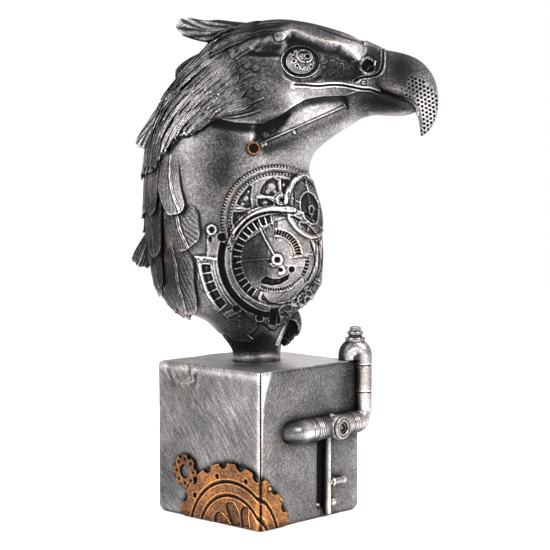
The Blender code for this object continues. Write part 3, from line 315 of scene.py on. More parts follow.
def keep_layers(mesh: bpy.types.Mesh, layers: dict[str, np.ndarray]) -> None:
    """Keeps numbers for each point of a mesh.

    Args:
        mesh: The mesh.
        layers: The numbers, by the name of the attribute that holds them.
    """
    for key, values in layers.items():
        attribute = mesh.attributes.new(key, "FLOAT", "POINT")
        attribute.data.foreach_set("value", np.asarray(values, dtype=np.float32).ravel())


def new_object(name: str, points: np.ndarray, faces: Sequence[Sequence[int]],
               layers: dict[str, np.ndarray]) -> Piece:
    """A smooth mesh object.

    Args:
        name: The piece's name.
        points: Rows of x, y and z in millimetres.
        faces: Corner numbers of each face.
        layers: Numbers for each point, by the name of the attribute that holds them.

    Returns:
        The object, linked to the scene.
    """
    mesh = bpy.data.meshes.new(name)
    mesh.from_pydata((points * MM).tolist(), [], faces)
    keep_layers(mesh, layers)
    mesh.shade_smooth()
    mesh.update()
    thing = bpy.data.objects.new(name, mesh)
    bpy.context.scene.collection.objects.link(thing)
    return thing


class Profile(Enum):
    """How a carved line rises across its width."""

    FLAT = "a level top between two walls"
    ROUND = "a bead or a gouge"
    SOFT = "a gentle swell"


@dataclass
class Relief:
    """A grid of surface points with what is carved and rubbed on it."""

    points: np.ndarray
    normals: np.ndarray
    closed: bool
    height: np.ndarray = field(init=False)
    # soot and wear hold patina and rubbing, and in places painted shade and painted highlights.
    soot: np.ndarray = field(init=False)
    wear: np.ndarray = field(init=False)
    pebble: np.ndarray = field(init=False)

    def __post_init__(self) -> None:
        """Starts with a bare surface."""
        shape = self.points.shape[:2]
        self.height, self.soot, self.wear, self.pebble = (np.zeros(shape) for _ in range(4))

    @classmethod
    def of_form(cls, form: Form, rows: np.ndarray, columns: np.ndarray) -> "Relief":
        """A bare grid on a form.

        Args:
            form: The form to lay the grid on.
            rows: Places along it.
            columns: Angles round it.

        Returns:
            The grid, whose last column meets its first.
        """
        place, angle = np.meshgrid(rows, columns, indexing="ij")
        points = form.points(place, angle)
        step = 0.02
        along = form.points(np.minimum(place + step, form.last), angle)
        along = along - form.points(np.maximum(place - step, 0), angle)
        around = form.points(place, angle + 1.0) - form.points(place, angle - 1.0)
        return cls(points, unit(np.cross(along, around)), True)

    def weather(self, fine: float = 0.16, broad: float = 0.9) -> None:
        """Soots what lies deep and rubs what stands proud, at a fine and a broad scale.

        Args:
            fine: The depth in millimetres that counts in full beside its neighbours.
            broad: The same, beside a wide surrounding.
        """
        near = blurred(self.height, 4, self.closed)
        far = blurred(self.height, 45, self.closed)
        deep = np.clip((near - self.height) / fine, 0, 1) * 0.65
        deep = deep + np.clip((far - self.height) / broad, 0, 1.2) * 0.5
        proud = np.clip((self.height - near) / fine, 0, 1) * 0.6
        proud = proud + np.clip((self.height - far) / broad, 0, 1) * 0.15
        self.soot = np.clip(self.soot + deep, -0.6, 1.8)
        self.wear = np.clip(self.wear + proud, -0.6, 1.6)

    def surface(self) -> np.ndarray:
        """The carved points, none of them below the floor.

        Returns:
            Rows of x, y and z in millimetres.
        """
        moved = self.points + self.normals * self.height[..., None]
        moved[..., 2] = np.maximum(moved[..., 2], 0.0)
        return moved

    def layers(self, first: int = 0, last: int | None = None) -> dict[str, np.ndarray]:
        """Soot, wear and pebble of some of the rows."""
        return {key: getattr(self, key)[first:last] for key in ("soot", "wear", "pebble")}

    def piece(self, name: str, first: int = 0, last: int | None = None, looped: bool = False) -> Piece:
        """A closed mesh of some of the rows, with shading that runs on into the next piece.

        Args:
            name: The piece's name.
            first: The first row.
            last: The row after the last one, or None for all that are left.
            looped: Whether the last row meets the first.

        Returns:
            The object.
        """
        carved = self.surface()
        if looped:
            along = np.roll(carved, -1, axis=0) - np.roll(carved, 1, axis=0)
        else:
            along = np.gradient(carved, axis=0)
        if self.closed:
            around = np.roll(carved, -1, axis=1) - np.roll(carved, 1, axis=1)
        else:
            around = np.gradient(carved, axis=1)
        facing = unit(np.cross(along, around))[first:last]
        cut = carved[first:last]
        index, quads = grid_quads(*cut.shape[:2], self.closed)
        faces = quads.tolist()
        if looped:
            ends = [index[-1], index[0], np.roll(index[0], -1), np.roll(index[-1], -1)]
            faces += np.stack(ends, axis=-1).tolist()
        elif self.closed:
            faces += [index[0].tolist(), index[-1][::-1].tolist()]
        thing = new_object(name, cut.reshape(-1, 3), faces, self.layers(first, last))
        thing.data.normals_split_custom_set_from_vertices(facing.reshape(-1, 3).tolist())
        return thing


@dataclass
class Carver:
    """Works a relief along lines drawn in the units of one drawing."""

    relief: Relief
    place: np.ndarray
    near: np.ndarray
    depth: float = 1.0
    shine: float = 1.0
    share: np.ndarray | None = None
    near_only: bool = False

    @classmethod
    def from_side(cls, relief: Relief, drawing: Drawing, depth: float = 1.0, shine: float = 1.0,
                  sides_only: bool = False) -> "Carver":
        """A carver that reads an enlarged side drawing.

        Args:
            relief: The surface.
            drawing: The drawing that gives the units.
            depth: Multiplies every height.
            shine: Multiplies all rubbing.
            sides_only: Whether it fades where the surface turns to the front.

        Returns:
            The carver.
        """
        place = drawing.of(relief.points).reshape(-1, 2)
        share = None
        if sides_only:
            share = smooth_step((np.abs(relief.normals[..., 1]) - 0.10) / 0.22).reshape(-1)
        return cls(relief, place, (relief.points[..., 1] <= 0.5).reshape(-1), depth, shine, share)

    def near_side(self) -> "Carver":
        """The same carver, leaving the far side as it is."""
        return replace(self, near_only=True)

    def _within(self, low: np.ndarray, high: np.ndarray) -> np.ndarray:
        """Numbers of the points inside a box of the drawing.

        Args:
            low: The box's least x and y.
            high: Its greatest x and y.

        Returns:
            The numbers.
        """
        inside = ((self.place > low) & (self.place < high)).all(axis=1)
        if self.near_only:
            inside &= self.near
        return np.nonzero(inside)[0]

    def _put(self, chosen: np.ndarray, mask: np.ndarray, height: float, soot: float, wear: float,
             pebble: float = 0.0) -> None:
        """Adds to what the relief holds at the chosen points.

        Args:
            chosen: Numbers of the points.
            mask: The share that each takes.
            height: Added height, in millimetres.
            soot: Added darkening: patina, and painted shade at marks that stand for shade.
            wear: Added lightening: rubbing, and painted highlights at marks that stand for light.
            pebble: Added pebbled skin.
        """
        if self.share is not None:
            mask = mask * self.share[chosen]
        for layer, amount in ((self.relief.height, height * self.depth), (self.relief.soot, soot),
                              (self.relief.wear, wear * self.shine), (self.relief.pebble, pebble)):
            if amount:
                layer.reshape(-1)[chosen] += mask * amount

    def _distance(self, chosen: np.ndarray, points: Sequence[Point], closed: bool = False) -> np.ndarray:
        """How far the chosen points are from a line through several places.

        Args:
            chosen: Numbers of the points.
            points: The places.
            closed: Whether the line meets its own start.

        Returns:
            The distances.
        """
        q = self.place[chosen]
        corners = np.array(points, dtype=float)
        ends = np.roll(corners, -1, axis=0) if closed else corners[1:]
        best = np.full(len(q), 1e9)
        for a, b in zip(corners, ends):
            span = b - a
            t = np.clip(((q - a) @ span) / max(span @ span, 1e-9), 0, 1)
            best = np.minimum(best, np.linalg.norm(q - a - t[:, None] * span, axis=1))
        return best

    def line(self, points: Sequence[Point], width: float, height: float = 0.0, soft: float = 3.0,
             soot: float = 0.0, wear: float = 0.0, profile: Profile = Profile.FLAT,
             curved: bool = True) -> None:
        """Carves a line.

        Args:
            points: The places it runs through.
            width: Its whole width.
            height: How far it rises, or sinks below 0, in millimetres.
            soft: How wide its walls are, for a level line.
            soot: Patina added along it, and painted shade where the line stands for shade.
            wear: Rubbing added along it, and painted highlight where the line stands for light.
            profile: How it rises across its width.
            curved: Whether it is smoothed between the places.
        """
        if curved and len(points) > 2:
            fine = np.linspace(0, len(points) - 1, (len(points) - 1) * 5 + 1)
            points = catmull(np.array(points, dtype=float), fine)
        corners = np.array(points, dtype=float)
        margin = width * (1.5 if profile is Profile.SOFT else 0.5) + soft
        chosen = self._within(corners.min(axis=0) - margin, corners.max(axis=0) + margin)
        if len(chosen):
            mask = self._across(self._distance(chosen, points), width, soft, profile)
            self._put(chosen, mask, height, soot, wear)

    def bead(self, points: Sequence[Point], width: float, height: float = 0.0, **more: float) -> None:
        """Carves a line with a round section."""
        self.line(points, width, height, profile=Profile.ROUND, **more)

    def swell(self, points: Sequence[Point], width: float, height: float = 0.0, **more: float) -> None:
        """Carves a line that has no edges."""
        self.line(points, width, height, profile=Profile.SOFT, **more)

    @staticmethod
    def _across(distance: np.ndarray, width: float, soft: float, profile: Profile) -> np.ndarray:
        """The rise at a distance from a line's middle.

        Args:
            distance: How far each point is from the middle.
            width: The line's whole width.
            soft: How wide its walls are.
            profile: How it rises.

        Returns:
            Shares between 0 and 1.
        """
        if profile is Profile.ROUND:
            return np.sqrt(np.clip(1 - (2 * distance / width) ** 2, 0, 1))
        if profile is Profile.SOFT:
            return np.exp(-((distance / (width * 0.5)) ** 2))
        return smooth_step((width / 2 - distance) / soft + 0.5)

    def plate(self, points: Sequence[Point], height: float = 0.0, soft: float = 3.0, soot: float = 0.0,
              wear: float = 0.0, pebble: float = 0.0, rim: float = 0.0) -> None:
        """Raises or sinks an outline's whole inside, with a raised rim along it if asked.

        Args:
            points: The outline's corners.
            height: How far it rises, in millimetres.
            soft: How wide its wall is.
            soot: Patina added inside, and painted shade where the outline stands for shade.
            wear: Rubbing added inside, and painted highlight where the outline stands for light.
            pebble: Pebbled skin added inside.
            rim: How far a bead along the outline rises.
        """
        corners = np.array(points, dtype=float)
        chosen = self._within(corners.min(axis=0) - soft, corners.max(axis=0) + soft)
        if not len(chosen):
            return
        q = self.place[chosen]
        inside = np.zeros(len(q), dtype=bool)
        for a, b in zip(corners, np.roll(corners, -1, axis=0)):
            crosses = (a[1] > q[:, 1]) != (b[1] > q[:, 1])
            reach = a[0] + (q[:, 1] - a[1]) * (b[0] - a[0]) / (b[1] - a[1] + 1e-9)
            inside ^= crosses & (q[:, 0] < reach)
        distance = self._distance(chosen, corners, closed=True)
        signed = np.where(inside, distance, -distance)
        self._put(chosen, smooth_step(signed / soft + 0.5), height, soot, wear, pebble)
        if rim:
            self._put(chosen, self._across(distance, soft * 2.2, soft, Profile.ROUND), rim, 0.0, 0.25)

    def _polar(self, centre: Point, outer: float, ratio: float) -> tuple[np.ndarray, ...]:
        """Points near a centre with their radius and their angle, anticlockwise from the right.

        Args:
            centre: The middle.
            outer: The greatest radius.
            ratio: Height over width of a flattened ring.

        Returns:
            Numbers of the points, their radii and their angles.
        """
        reach = np.array([outer, outer * ratio])
        chosen = self._within(np.array(centre) - reach, np.array(centre) + reach)
        offset = self.place[chosen] - np.array(centre)
        offset[:, 1] /= ratio
        angle = np.degrees(np.arctan2(-offset[:, 1], offset[:, 0])) % 360
        return chosen, np.linalg.norm(offset, axis=1), angle

    def ring(self, centre: Point, radius: float, width: float, height: float = 0.0, soft: float = 3.0,
             soot: float = 0.0, wear: float = 0.0, start: float = 0.0, end: float = 360.0,
             profile: Profile = Profile.FLAT) -> None:
        """Carves a ring or an arc, from one angle to another.

        Args:
            centre: Its middle.
            radius: Its line's radius.
            width: The line's whole width.
            height: How far it rises, or sinks below 0, in millimetres.
            soft: How wide its walls are.
            soot: Patina added along it, and painted shade where the ring stands for shade.
            wear: Rubbing added along it, and painted highlight where the ring stands for light.
            start: The angle where it starts, anticlockwise from the right.
            end: The angle where it ends.
            profile: How it rises across its width.
        """
        chosen, distance, angle = self._polar(centre, radius + width, 1.0)
        mask = self._across(np.abs(distance - radius), width, soft, profile)
        if end - start < 360:
            mask = mask * (((angle - start) % 360) <= (end - start))
        self._put(chosen, mask, height, soot, wear)

    def hoop(self, centre: Point, radius: float, width: float, height: float = 0.0, **more: float) -> None:
        """Carves a ring with a round section."""
        self.ring(centre, radius, width, height, profile=Profile.ROUND, **more)

    def halo(self, centre: Point, radius: float, width: float, height: float = 0.0, **more: float) -> None:
        """Carves a ring that has no edges."""
        self.ring(centre, radius, width, height, profile=Profile.SOFT, **more)

    def disc(self, centre: Point, radius: float, height: float = 0.0, soft: float = 3.0,
             soot: float = 0.0, wear: float = 0.0, ratio: float = 1.0, dome: bool = False) -> None:
        """Raises or sinks a disc, level or domed.

        Args:
            centre: Its middle.
            radius: Its radius.
            height: How far it rises, or sinks below 0, in millimetres.
            soft: How wide its wall is.
            soot: Patina added inside, and painted shade where the disc stands for shade.
            wear: Rubbing added inside, and painted highlight where the disc stands for light.
            ratio: Height over width.
            dome: Whether it swells to its middle.
        """
        chosen, distance, _ = self._polar(centre, radius + soft, ratio)
        if dome:
            mask = np.sqrt(np.clip(1 - (distance / radius) ** 2, 0, 1))
        else:
            mask = smooth_step((radius - distance) / soft + 0.5)
        self._put(chosen, mask, height, soot, wear)

    def bars(self, centre: Point, inner: float, outer: float, start: float, end: float, count: int,
             width: float, height: float = 0.0, soft: float = 3.0, soot: float = 0.0, wear: float = 0.0
             ) -> None:
        """Carves spokes, ticks or teeth, evenly spaced from one angle to another.

        Args:
            centre: The middle of their circle.
            inner: The radius where they start.
            outer: The radius where they end.
            start: The angle of the first.
            end: The angle of the last.
            count: How many there are.
            width: How wide each is.
            height: How far they rise, or sink below 0, in millimetres.
            soft: How wide their walls are.
            soot: Patina added on them.
            wear: Rubbing added on them.
        """
        chosen, distance, angle = self._polar(centre, outer + soft, 1.0)
        pitch = (end - start) / max(count - 1, 1)
        turn = (angle - start) % 360
        turn = np.where(turn > 360 - pitch / 2, turn - 360, turn)
        nearest = np.clip(np.round(turn / pitch), 0, count - 1)
        away = np.abs(turn - nearest * pitch) * math.pi / 180 * distance
        mask = smooth_step((width / 2 - away) / soft + 0.5)
        mask = mask * smooth_step((distance - inner) / soft + 0.5)
        mask = mask * smooth_step((outer - distance) / soft + 0.5)
        self._put(chosen, mask, height, soot, wear)

    def shade(self, centre: Point, radius: float, soot: float = 0.0, wear: float = 0.0,
              ratio: float = 1.0) -> None:
        """Sprays soft darkening and lightening round a place: patina, rubbing, painted shade and highlights.
        """
        chosen, distance, _ = self._polar(centre, radius * 2, ratio)
        self._put(chosen, np.exp(-((distance / radius) ** 2)), 0.0, soot, wear)


# Finishes


class Maths:
    """A shader socket whose sums and products add Math nodes."""

    def __init__(self, shader: "Shader", socket: bpy.types.NodeSocket) -> None:
        """Wraps a socket of a shader."""
        self.shader, self.socket = shader, socket

    def _with(self, operation: str, *values: "Maths | float") -> "Maths":
        """The result of one operation."""
        sockets = {i: value for i, value in enumerate(values)}
        return self.shader.node("ShaderNodeMath", {"operation": operation}, sockets)

    def __add__(self, other: "Maths | float") -> "Maths":
        """The sum."""
        return self._with("ADD", self, other)

    __radd__ = __add__

    def __sub__(self, other: "Maths | float") -> "Maths":
        """The difference."""
        return self._with("SUBTRACT", self, other)

    def __rsub__(self, other: "Maths | float") -> "Maths":
        """The difference from a number."""
        return self._with("SUBTRACT", other, self)

    def __mul__(self, other: "Maths | float") -> "Maths":
        """The product."""
        return self._with("MULTIPLY", self, other)

    __rmul__ = __mul__

    def clamped(self, low: float = 0.0, high: float = 1.0) -> "Maths":
        """The value held between two limits."""
        return self._with("MINIMUM", self._with("MAXIMUM", self, low), high)


class Shader:
    """One material and the nodes that make it."""

    def __init__(self, name: str) -> None:
        """Starts a material with a bare Principled shader.

        Args:
            name: The material's name.
        """
        self.material = bpy.data.materials.new(name)
        self.material.use_nodes = True
        self.tree = self.material.node_tree
        self.surface = self.tree.nodes["Principled BSDF"]

    def node(self, kind: str, settings: dict[str, object], sockets: dict[object, object],
             output: int | str = 0) -> Maths:
        """Adds a node.

        Args:
            kind: The node's type.
            settings: Its settings, with a ramp's stops under the key stops.
            sockets: Values or links of its inputs, by place or by name.
            output: The output to hand back.

        Returns:
            The output, wrapped.
        """
        made = self.tree.nodes.new(kind)
        for key, value in settings.items():
            if key == "stops":
                while len(made.color_ramp.elements) < len(value):
                    made.color_ramp.elements.new(0.5)
                for element, (position, colour) in zip(made.color_ramp.elements, value):
                    element.position = position
                    element.color = (*colour, 1.0)
            else:
                setattr(made, key, value)
        for key, value in sockets.items():
            if isinstance(value, Maths):
                self.tree.links.new(value.socket, made.inputs[key])
            else:
                made.inputs[key].default_value = value
        return Maths(self, made.outputs[output])

    def set(self, **sockets: object) -> None:
        """Sets or links inputs of the Principled shader, with _ for a space.

        Args:
            sockets: Values or links, by the input's name.
        """
        for key, value in sockets.items():
            target = self.surface.inputs[key.replace("_", " ")]
            if isinstance(value, Maths):
                self.tree.links.new(value.socket, target)
            else:
                target.default_value = value


class Metal(Enum):
    """The two paints on the casting."""

    PEWTER = "pewter"
    COPPER = "copper"


@dataclass(frozen=True)
class AntiqueFinish:
    """A metal paint, sooted in its recesses, rubbed bright where it stands proud, finely speckled, with
    painted occlusion shade.
    """

    name: str
    metal: Metal
    level: float = 0.5
    grain: float = 0.42
    cloud: float = 0.16
    brown: float = 0.3
    rough: float = 0.42
    metallic: float = 0.78
    size: float = 620.0
    brushed: float = 0.0
    scratches: float = 1500.0
    clouds: float = 42.0
    tarnishes: float = 26.0
    cells: float = 850.0
    # Reach of the occlusion term that paints shade into the colour, in metres.
    occlusion_reach: float = 0.006

    def stops(self) -> tuple[tuple[float, tuple[float, float, float]], ...]:
        """The paint's colours from sooted to rubbed.

        Returns:
            Each colour with its place between 0 and 1.
        """
        if self.metal is Metal.COPPER:
            colours = ((0.006, 0.004, 0.003), (0.07, 0.026, 0.01), (0.3, 0.125, 0.042),
                       (0.66, 0.27, 0.075), (0.98, 0.5, 0.16))
        else:
            colours = ((0.004, 0.004, 0.004), (0.034, 0.032, 0.033), (0.165, 0.155, 0.158),
                       (0.45, 0.425, 0.425), (0.88, 0.84, 0.83))
        return tuple(zip((0.0, 0.25, 0.5, 0.75, 1.0), colours))

    def make(self) -> Material:
        """Builds the material.

        Returns:
            The finished material.
        """
        shader = Shader(self.name)
        place = shader.node("ShaderNodeTexCoord", {}, {}, "Object")
        # The soot and wear layers darken and lighten the colour: patina and rubbing, and where marked,
        # painted shade and highlights.
        soot = shader.node("ShaderNodeAttribute", {"attribute_name": "soot"}, {}, "Fac")
        wear = shader.node("ShaderNodeAttribute", {"attribute_name": "wear"}, {}, "Fac")
        pebble = shader.node("ShaderNodeAttribute", {"attribute_name": "pebble"}, {}, "Fac")
        speckle = self._noise(shader, place, self.size, 3.0, 0.75)
        scratch = self._noise(shader, place, self.scratches, 2.0, 0.6)
        cloud = self._noise(shader, place, self.clouds, 4.0, 0.6)
        tarnish = self._noise(shader, place, self.tarnishes, 3.0, 0.55)
        cells = shader.node("ShaderNodeTexVoronoi", {"feature": "F1"},
                            {"Vector": place, "Scale": self.cells}, "Distance")
        # Ambient occlusion darkens the base colour where surfaces hide each other: painted shade.
        occlusion_shade = shader.node("ShaderNodeAmbientOcclusion", {"samples": 6}, {"Distance": self.occlusion_reach}, "AO")
        tone = self.level + (speckle - 0.5) * (self.grain * 2.2) + (scratch - 0.5) * (self.grain * 1.3)
        tone = tone + (cloud - 0.5) * (self.cloud * 2.4) + wear * 0.34 - soot * 0.42
        if self.brushed:
            turned = shader.node("ShaderNodeVectorRotate", {"rotation_type": "EULER_XYZ"},
                                 {"Vector": place, "Rotation": (0.55, 0.35, 0.0)}, 0)
            drawn = shader.node("ShaderNodeVectorMath", {"operation": "MULTIPLY"},
                                {0: turned, 1: (1.0, 1.0, 0.08)}, 0)
            tone = tone + (self._noise(shader, drawn, 700.0, 3.0, 0.6) - 0.5) * self.brushed
        # The first term below is the painted occlusion shade.
        tone = tone - (1.0 - occlusion_shade) * 0.5 + pebble * (0.40 - cells * 1.10)
        tone = tone.clamped()
        colour = shader.node("ShaderNodeValToRGB", {"stops": self.stops()}, {"Fac": tone}, "Color")
        warm = ((tarnish - 0.52) * (self.brown * 6.0)).clamped(0.0, self.brown)
        tint = (0.20, 0.125, 0.055) if self.metal is Metal.PEWTER else (0.12, 0.07, 0.05)
        tint = (*(min(c * 5.2, 1.0) for c in tint), 1.0)
        colour = shader.node("ShaderNodeMix", {"data_type": "RGBA", "blend_type": "MULTIPLY"},
                             {0: warm, 6: colour, 7: tint}, 2)
        rough = (self.rough + soot * 0.22 - wear * 0.10 + (speckle - 0.5) * 0.30).clamped(0.22, 0.85)
        rise = speckle * 0.6 + scratch * 0.4 - pebble * cells * 3.0
        bump = shader.node("ShaderNodeBump", {}, {"Strength": 0.35, "Distance": 0.0006, "Height": rise},
                           "Normal")
        shader.set(Base_Color=colour, Roughness=rough, Metallic=self.metallic, Normal=bump)
        return shader.material

    @staticmethod
    def _noise(shader: Shader, place: Maths, scale: float, detail: float, roughness: float) -> Maths:
        """A noise between 0 and 1 at a scale per metre."""
        return shader.node("ShaderNodeTexNoise", {"noise_dimensions": "3D"},
                           {"Vector": place, "Scale": scale, "Detail": detail, "Roughness": roughness}, 0)


@dataclass(frozen=True)
class PlainPaper:
    """The pale seamless floor."""

    name: str = "pale_floor"

    def make(self) -> Material:
        """Builds the material.

        Returns:
            The finished material.
        """
        shader = Shader(self.name)
        place = shader.node("ShaderNodeTexCoord", {}, {}, "Object")
        fibre = shader.node("ShaderNodeTexNoise", {}, {"Vector": place, "Scale": 40.0, "Detail": 2.0}, 0)
        shade = (fibre * 0.02 + 0.92).clamped()
        shader.set(Base_Color=shader.node("ShaderNodeCombineColor", {}, {0: shade, 1: shade, 2: shade}),
                   Roughness=0.9, Emission_Color=(1.0, 1.0, 1.0, 1.0), Emission_Strength=0.45)
        return shader.material


@dataclass
class Finishes:
    """The materials by the part that wears them."""

    bust: Material = field(init=False)
    plinth: Material = field(init=False)
    pipes: Material = field(init=False)
    copper: Material = field(init=False)

    def __post_init__(self) -> None:
        """Makes every finish once."""
        self.bust = AntiqueFinish("antique_pewter_bust", Metal.PEWTER, level=0.50).make()
        self.plinth = AntiqueFinish("antique_pewter_plinth", Metal.PEWTER, level=0.47, cloud=0.14,
                                    grain=0.36, brown=0.15, rough=0.45, size=900.0, brushed=0.55).make()
        self.pipes = AntiqueFinish("antique_pewter_pipes", Metal.PEWTER, level=0.56, grain=0.24,
                                   cloud=0.30, rough=0.30).make()
        self.copper = AntiqueFinish("antique_copper_gears", Metal.COPPER, level=0.35, grain=0.48,
                                    cloud=0.30, brown=0.0, rough=0.42).make()


def dress(piece: Piece, material: Material) -> Piece:
    """Gives a piece its finish and lets it ride on the casting.

    Args:
        piece: The piece.
        material: Its finish.

    Returns:
        The piece.
    """
    piece.data.materials.clear()
    piece.data.materials.append(material)
    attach(piece, "root")
    LOG.info("%s: %d faces", piece.name, len(piece.data.polygons))
    return piece


@dataclass(frozen=True)
class ToneAndLightPatches:
    """Soft darker and lighter patches that run over several pieces, in the side view's points, among them
    painted shade and highlights.

    A patch is x, y, radius, height over width, soot and wear.
    """

    patches: tuple[tuple[float, ...], ...] = (
        (314, 22, 53, 0.3, 0.85, 0), (263, 26, 33, 0.5, 0.60, 0), (236, 36, 30, 0.8, 0.45, 0),
        (240, 66, 18, 1.0, 0.30, 0), (243, 90, 22, 1.0, 0.40, 0), (252, 112, 16, 1.0, 0.50, 0),
        (286, 66, 11, 1.3, 0.30, 0), (306, 54, 10, 0.8, 0.50, 0), (332, 41, 24, 0.35, 0.60, 0),
        (398, 68, 27, 0.7, 1.20, 0), (412, 84, 16, 0.7, 0.30, 0), (398, 92, 12, 0.7, 0, 0.35),
        # (376, 102) paints shade on the lower jaw under the beak.
        (372, 64, 15, 1.0, 0.45, 0), (376, 102, 28, 0.5, 1.00, 0), (395, 100, 20, 0.35, 0.45, 0),
        (277, 103, 10, 1.0, 0.35, 0), (298, 106, 8, 0.8, 0, 0.6), (325, 68, 18, 0.8, 0.40, 0),
        (347, 78, 10, 1.0, 0.45, 0),
        (264, 154, 24, 1.0, 0.60, 0), (300, 146, 12, 0.9, 0.55, 0), (312, 132, 12, 1.0, 0.35, 0),
        (216, 185, 14, 2.6, 0.45, 0), (172, 168, 16, 1.0, 0.30, 0), (148, 200, 8, 3.0, 0.35, 0),
        (172, 280, 14, 1.8, 0.70, 0), (150, 255, 16, 2.2, 0.50, 0), (240, 270, 14, 2.0, 0.70, 0),
        (245, 312, 26, 0.6, 0.60, 0), (245, 338, 26, 0.6, 0.80, 0),
        # (350, 44) paints a highlight along the brow.
        (350, 44, 26, 0.25, 0, 0.30), (398, 120, 14, 0.5, 0.25, 0),
        (160, 215, 12, 2.4, 0.25, 0), (258, 266, 12, 1.6, 0.30, 0), (283, 255, 14, 1.0, 0, 0.2),
        (352, 145, 30, 0.7, 0, 0.25), (222, 300, 16, 1.2, 0.35, 0), (262, 314, 20, 0.5, 0.35, 0),
    )

    def spray(self, piece: Piece) -> None:
        """Sprays the patches on a piece of the bust.

        Args:
            piece: The piece.
        """
        mesh = piece.data
        points = np.empty(len(mesh.vertices) * 3)
        mesh.vertices.foreach_get("co", points)
        place = SIDE.of(points.reshape(-1, 3) / MM)
        added = {"soot": np.zeros(len(place)), "wear": np.zeros(len(place))}
        for x, y, radius, ratio, soot, wear in self.patches:
            distance = np.hypot(place[:, 0] - x, (place[:, 1] - y) / ratio) / radius
            mask = np.exp(-(distance ** 2))
            added["soot"] += mask * soot
            added["wear"] += mask * wear
        for key, values in added.items():
            layer = mesh.attributes[key].data
            held = np.empty(len(place), dtype=np.float32)
            layer.foreach_get("value", held)
            layer.foreach_set("value", (held + values).astype(np.float32))


# Stage


@dataclass
class Studio:
    """Floor, soft lights and the camera at the side view."""

    floor_size: float = 4.0
    dim: float = 0.22
    sensor: float = 36.0
    picture: float = 550.0

    def build(self) -> None:
        """Sets the stage."""
        self._floor()
        self._lights()
        self._camera()

    def _floor(self) -> None:
        """Lays a plain pale floor."""
        bpy.ops.object.select_all(action="DESELECT")
        bpy.ops.mesh.primitive_plane_add(size=self.floor_size)
        floor = bpy.context.active_object
        floor.name = "floor"
        floor.data.materials.append(PlainPaper().make())

    def _lights(self) -> None:
        """Hangs the soft boxes in a room that is white behind the casting and dim before it."""
        world = bpy.data.worlds.new("surround")
        bpy.context.scene.world = world
        world.use_nodes = True
        tree = world.node_tree
        background = tree.nodes["Background"]
        background.inputs["Color"].default_value = (1.0, 1.0, 1.0, 1.0)
        ways = tree.nodes.new("ShaderNodeSeparateXYZ")
        tree.links.new(tree.nodes.new("ShaderNodeTexCoord").outputs["Generated"], ways.inputs[0])
        dimmer = tree.nodes.new("ShaderNodeMapRange")
        dimmer.interpolation_type = "SMOOTHSTEP"
        for socket, value in (("From Min", -0.35), ("From Max", 0.45), ("To Min", self.dim),
                              ("To Max", 1.0)):
            dimmer.inputs[socket].default_value = value
        tree.links.new(ways.outputs["Y"], dimmer.inputs["Value"])
        tree.links.new(dimmer.outputs[0], background.inputs["Strength"])
        for name, place, size, power in (
            ("key_box", (0.85, -0.9, 1.0), 0.5, 20.0),
            ("side_box", (-1.0, -0.8, 0.75), 0.6, 14.0),
            ("top_box", (0.0, -0.2, 1.5), 0.9, 16.0),
        ):
            light = bpy.data.lights.new(name, "AREA")
            light.shape, light.size, light.energy = "SQUARE", size, power
            lamp = bpy.data.objects.new(name, light)
            lamp.location = place
            aim = Vector((0.0, 0.0, 0.2)) - Vector(place)
            lamp.rotation_euler = aim.to_track_quat("-Z", "Y").to_euler()
            bpy.context.scene.collection.objects.link(lamp)

    def _camera(self) -> None:
        """Stands the camera where the side view is seen from."""
        data = bpy.data.cameras.new("camera")
        data.sensor_width = self.sensor
        data.lens = self.sensor * SIGHT.reach / self.picture
        camera = bpy.data.objects.new("camera", data)
        camera.location = Vector(SIGHT.place) * MM
        camera.rotation_euler = (math.radians(SIGHT.tilt), 0.0, math.radians(SIGHT.turn))
        bpy.context.scene.collection.objects.link(camera)
        bpy.context.scene.camera = camera
        bpy.context.scene.view_settings.view_transform = "Standard"


# Bust


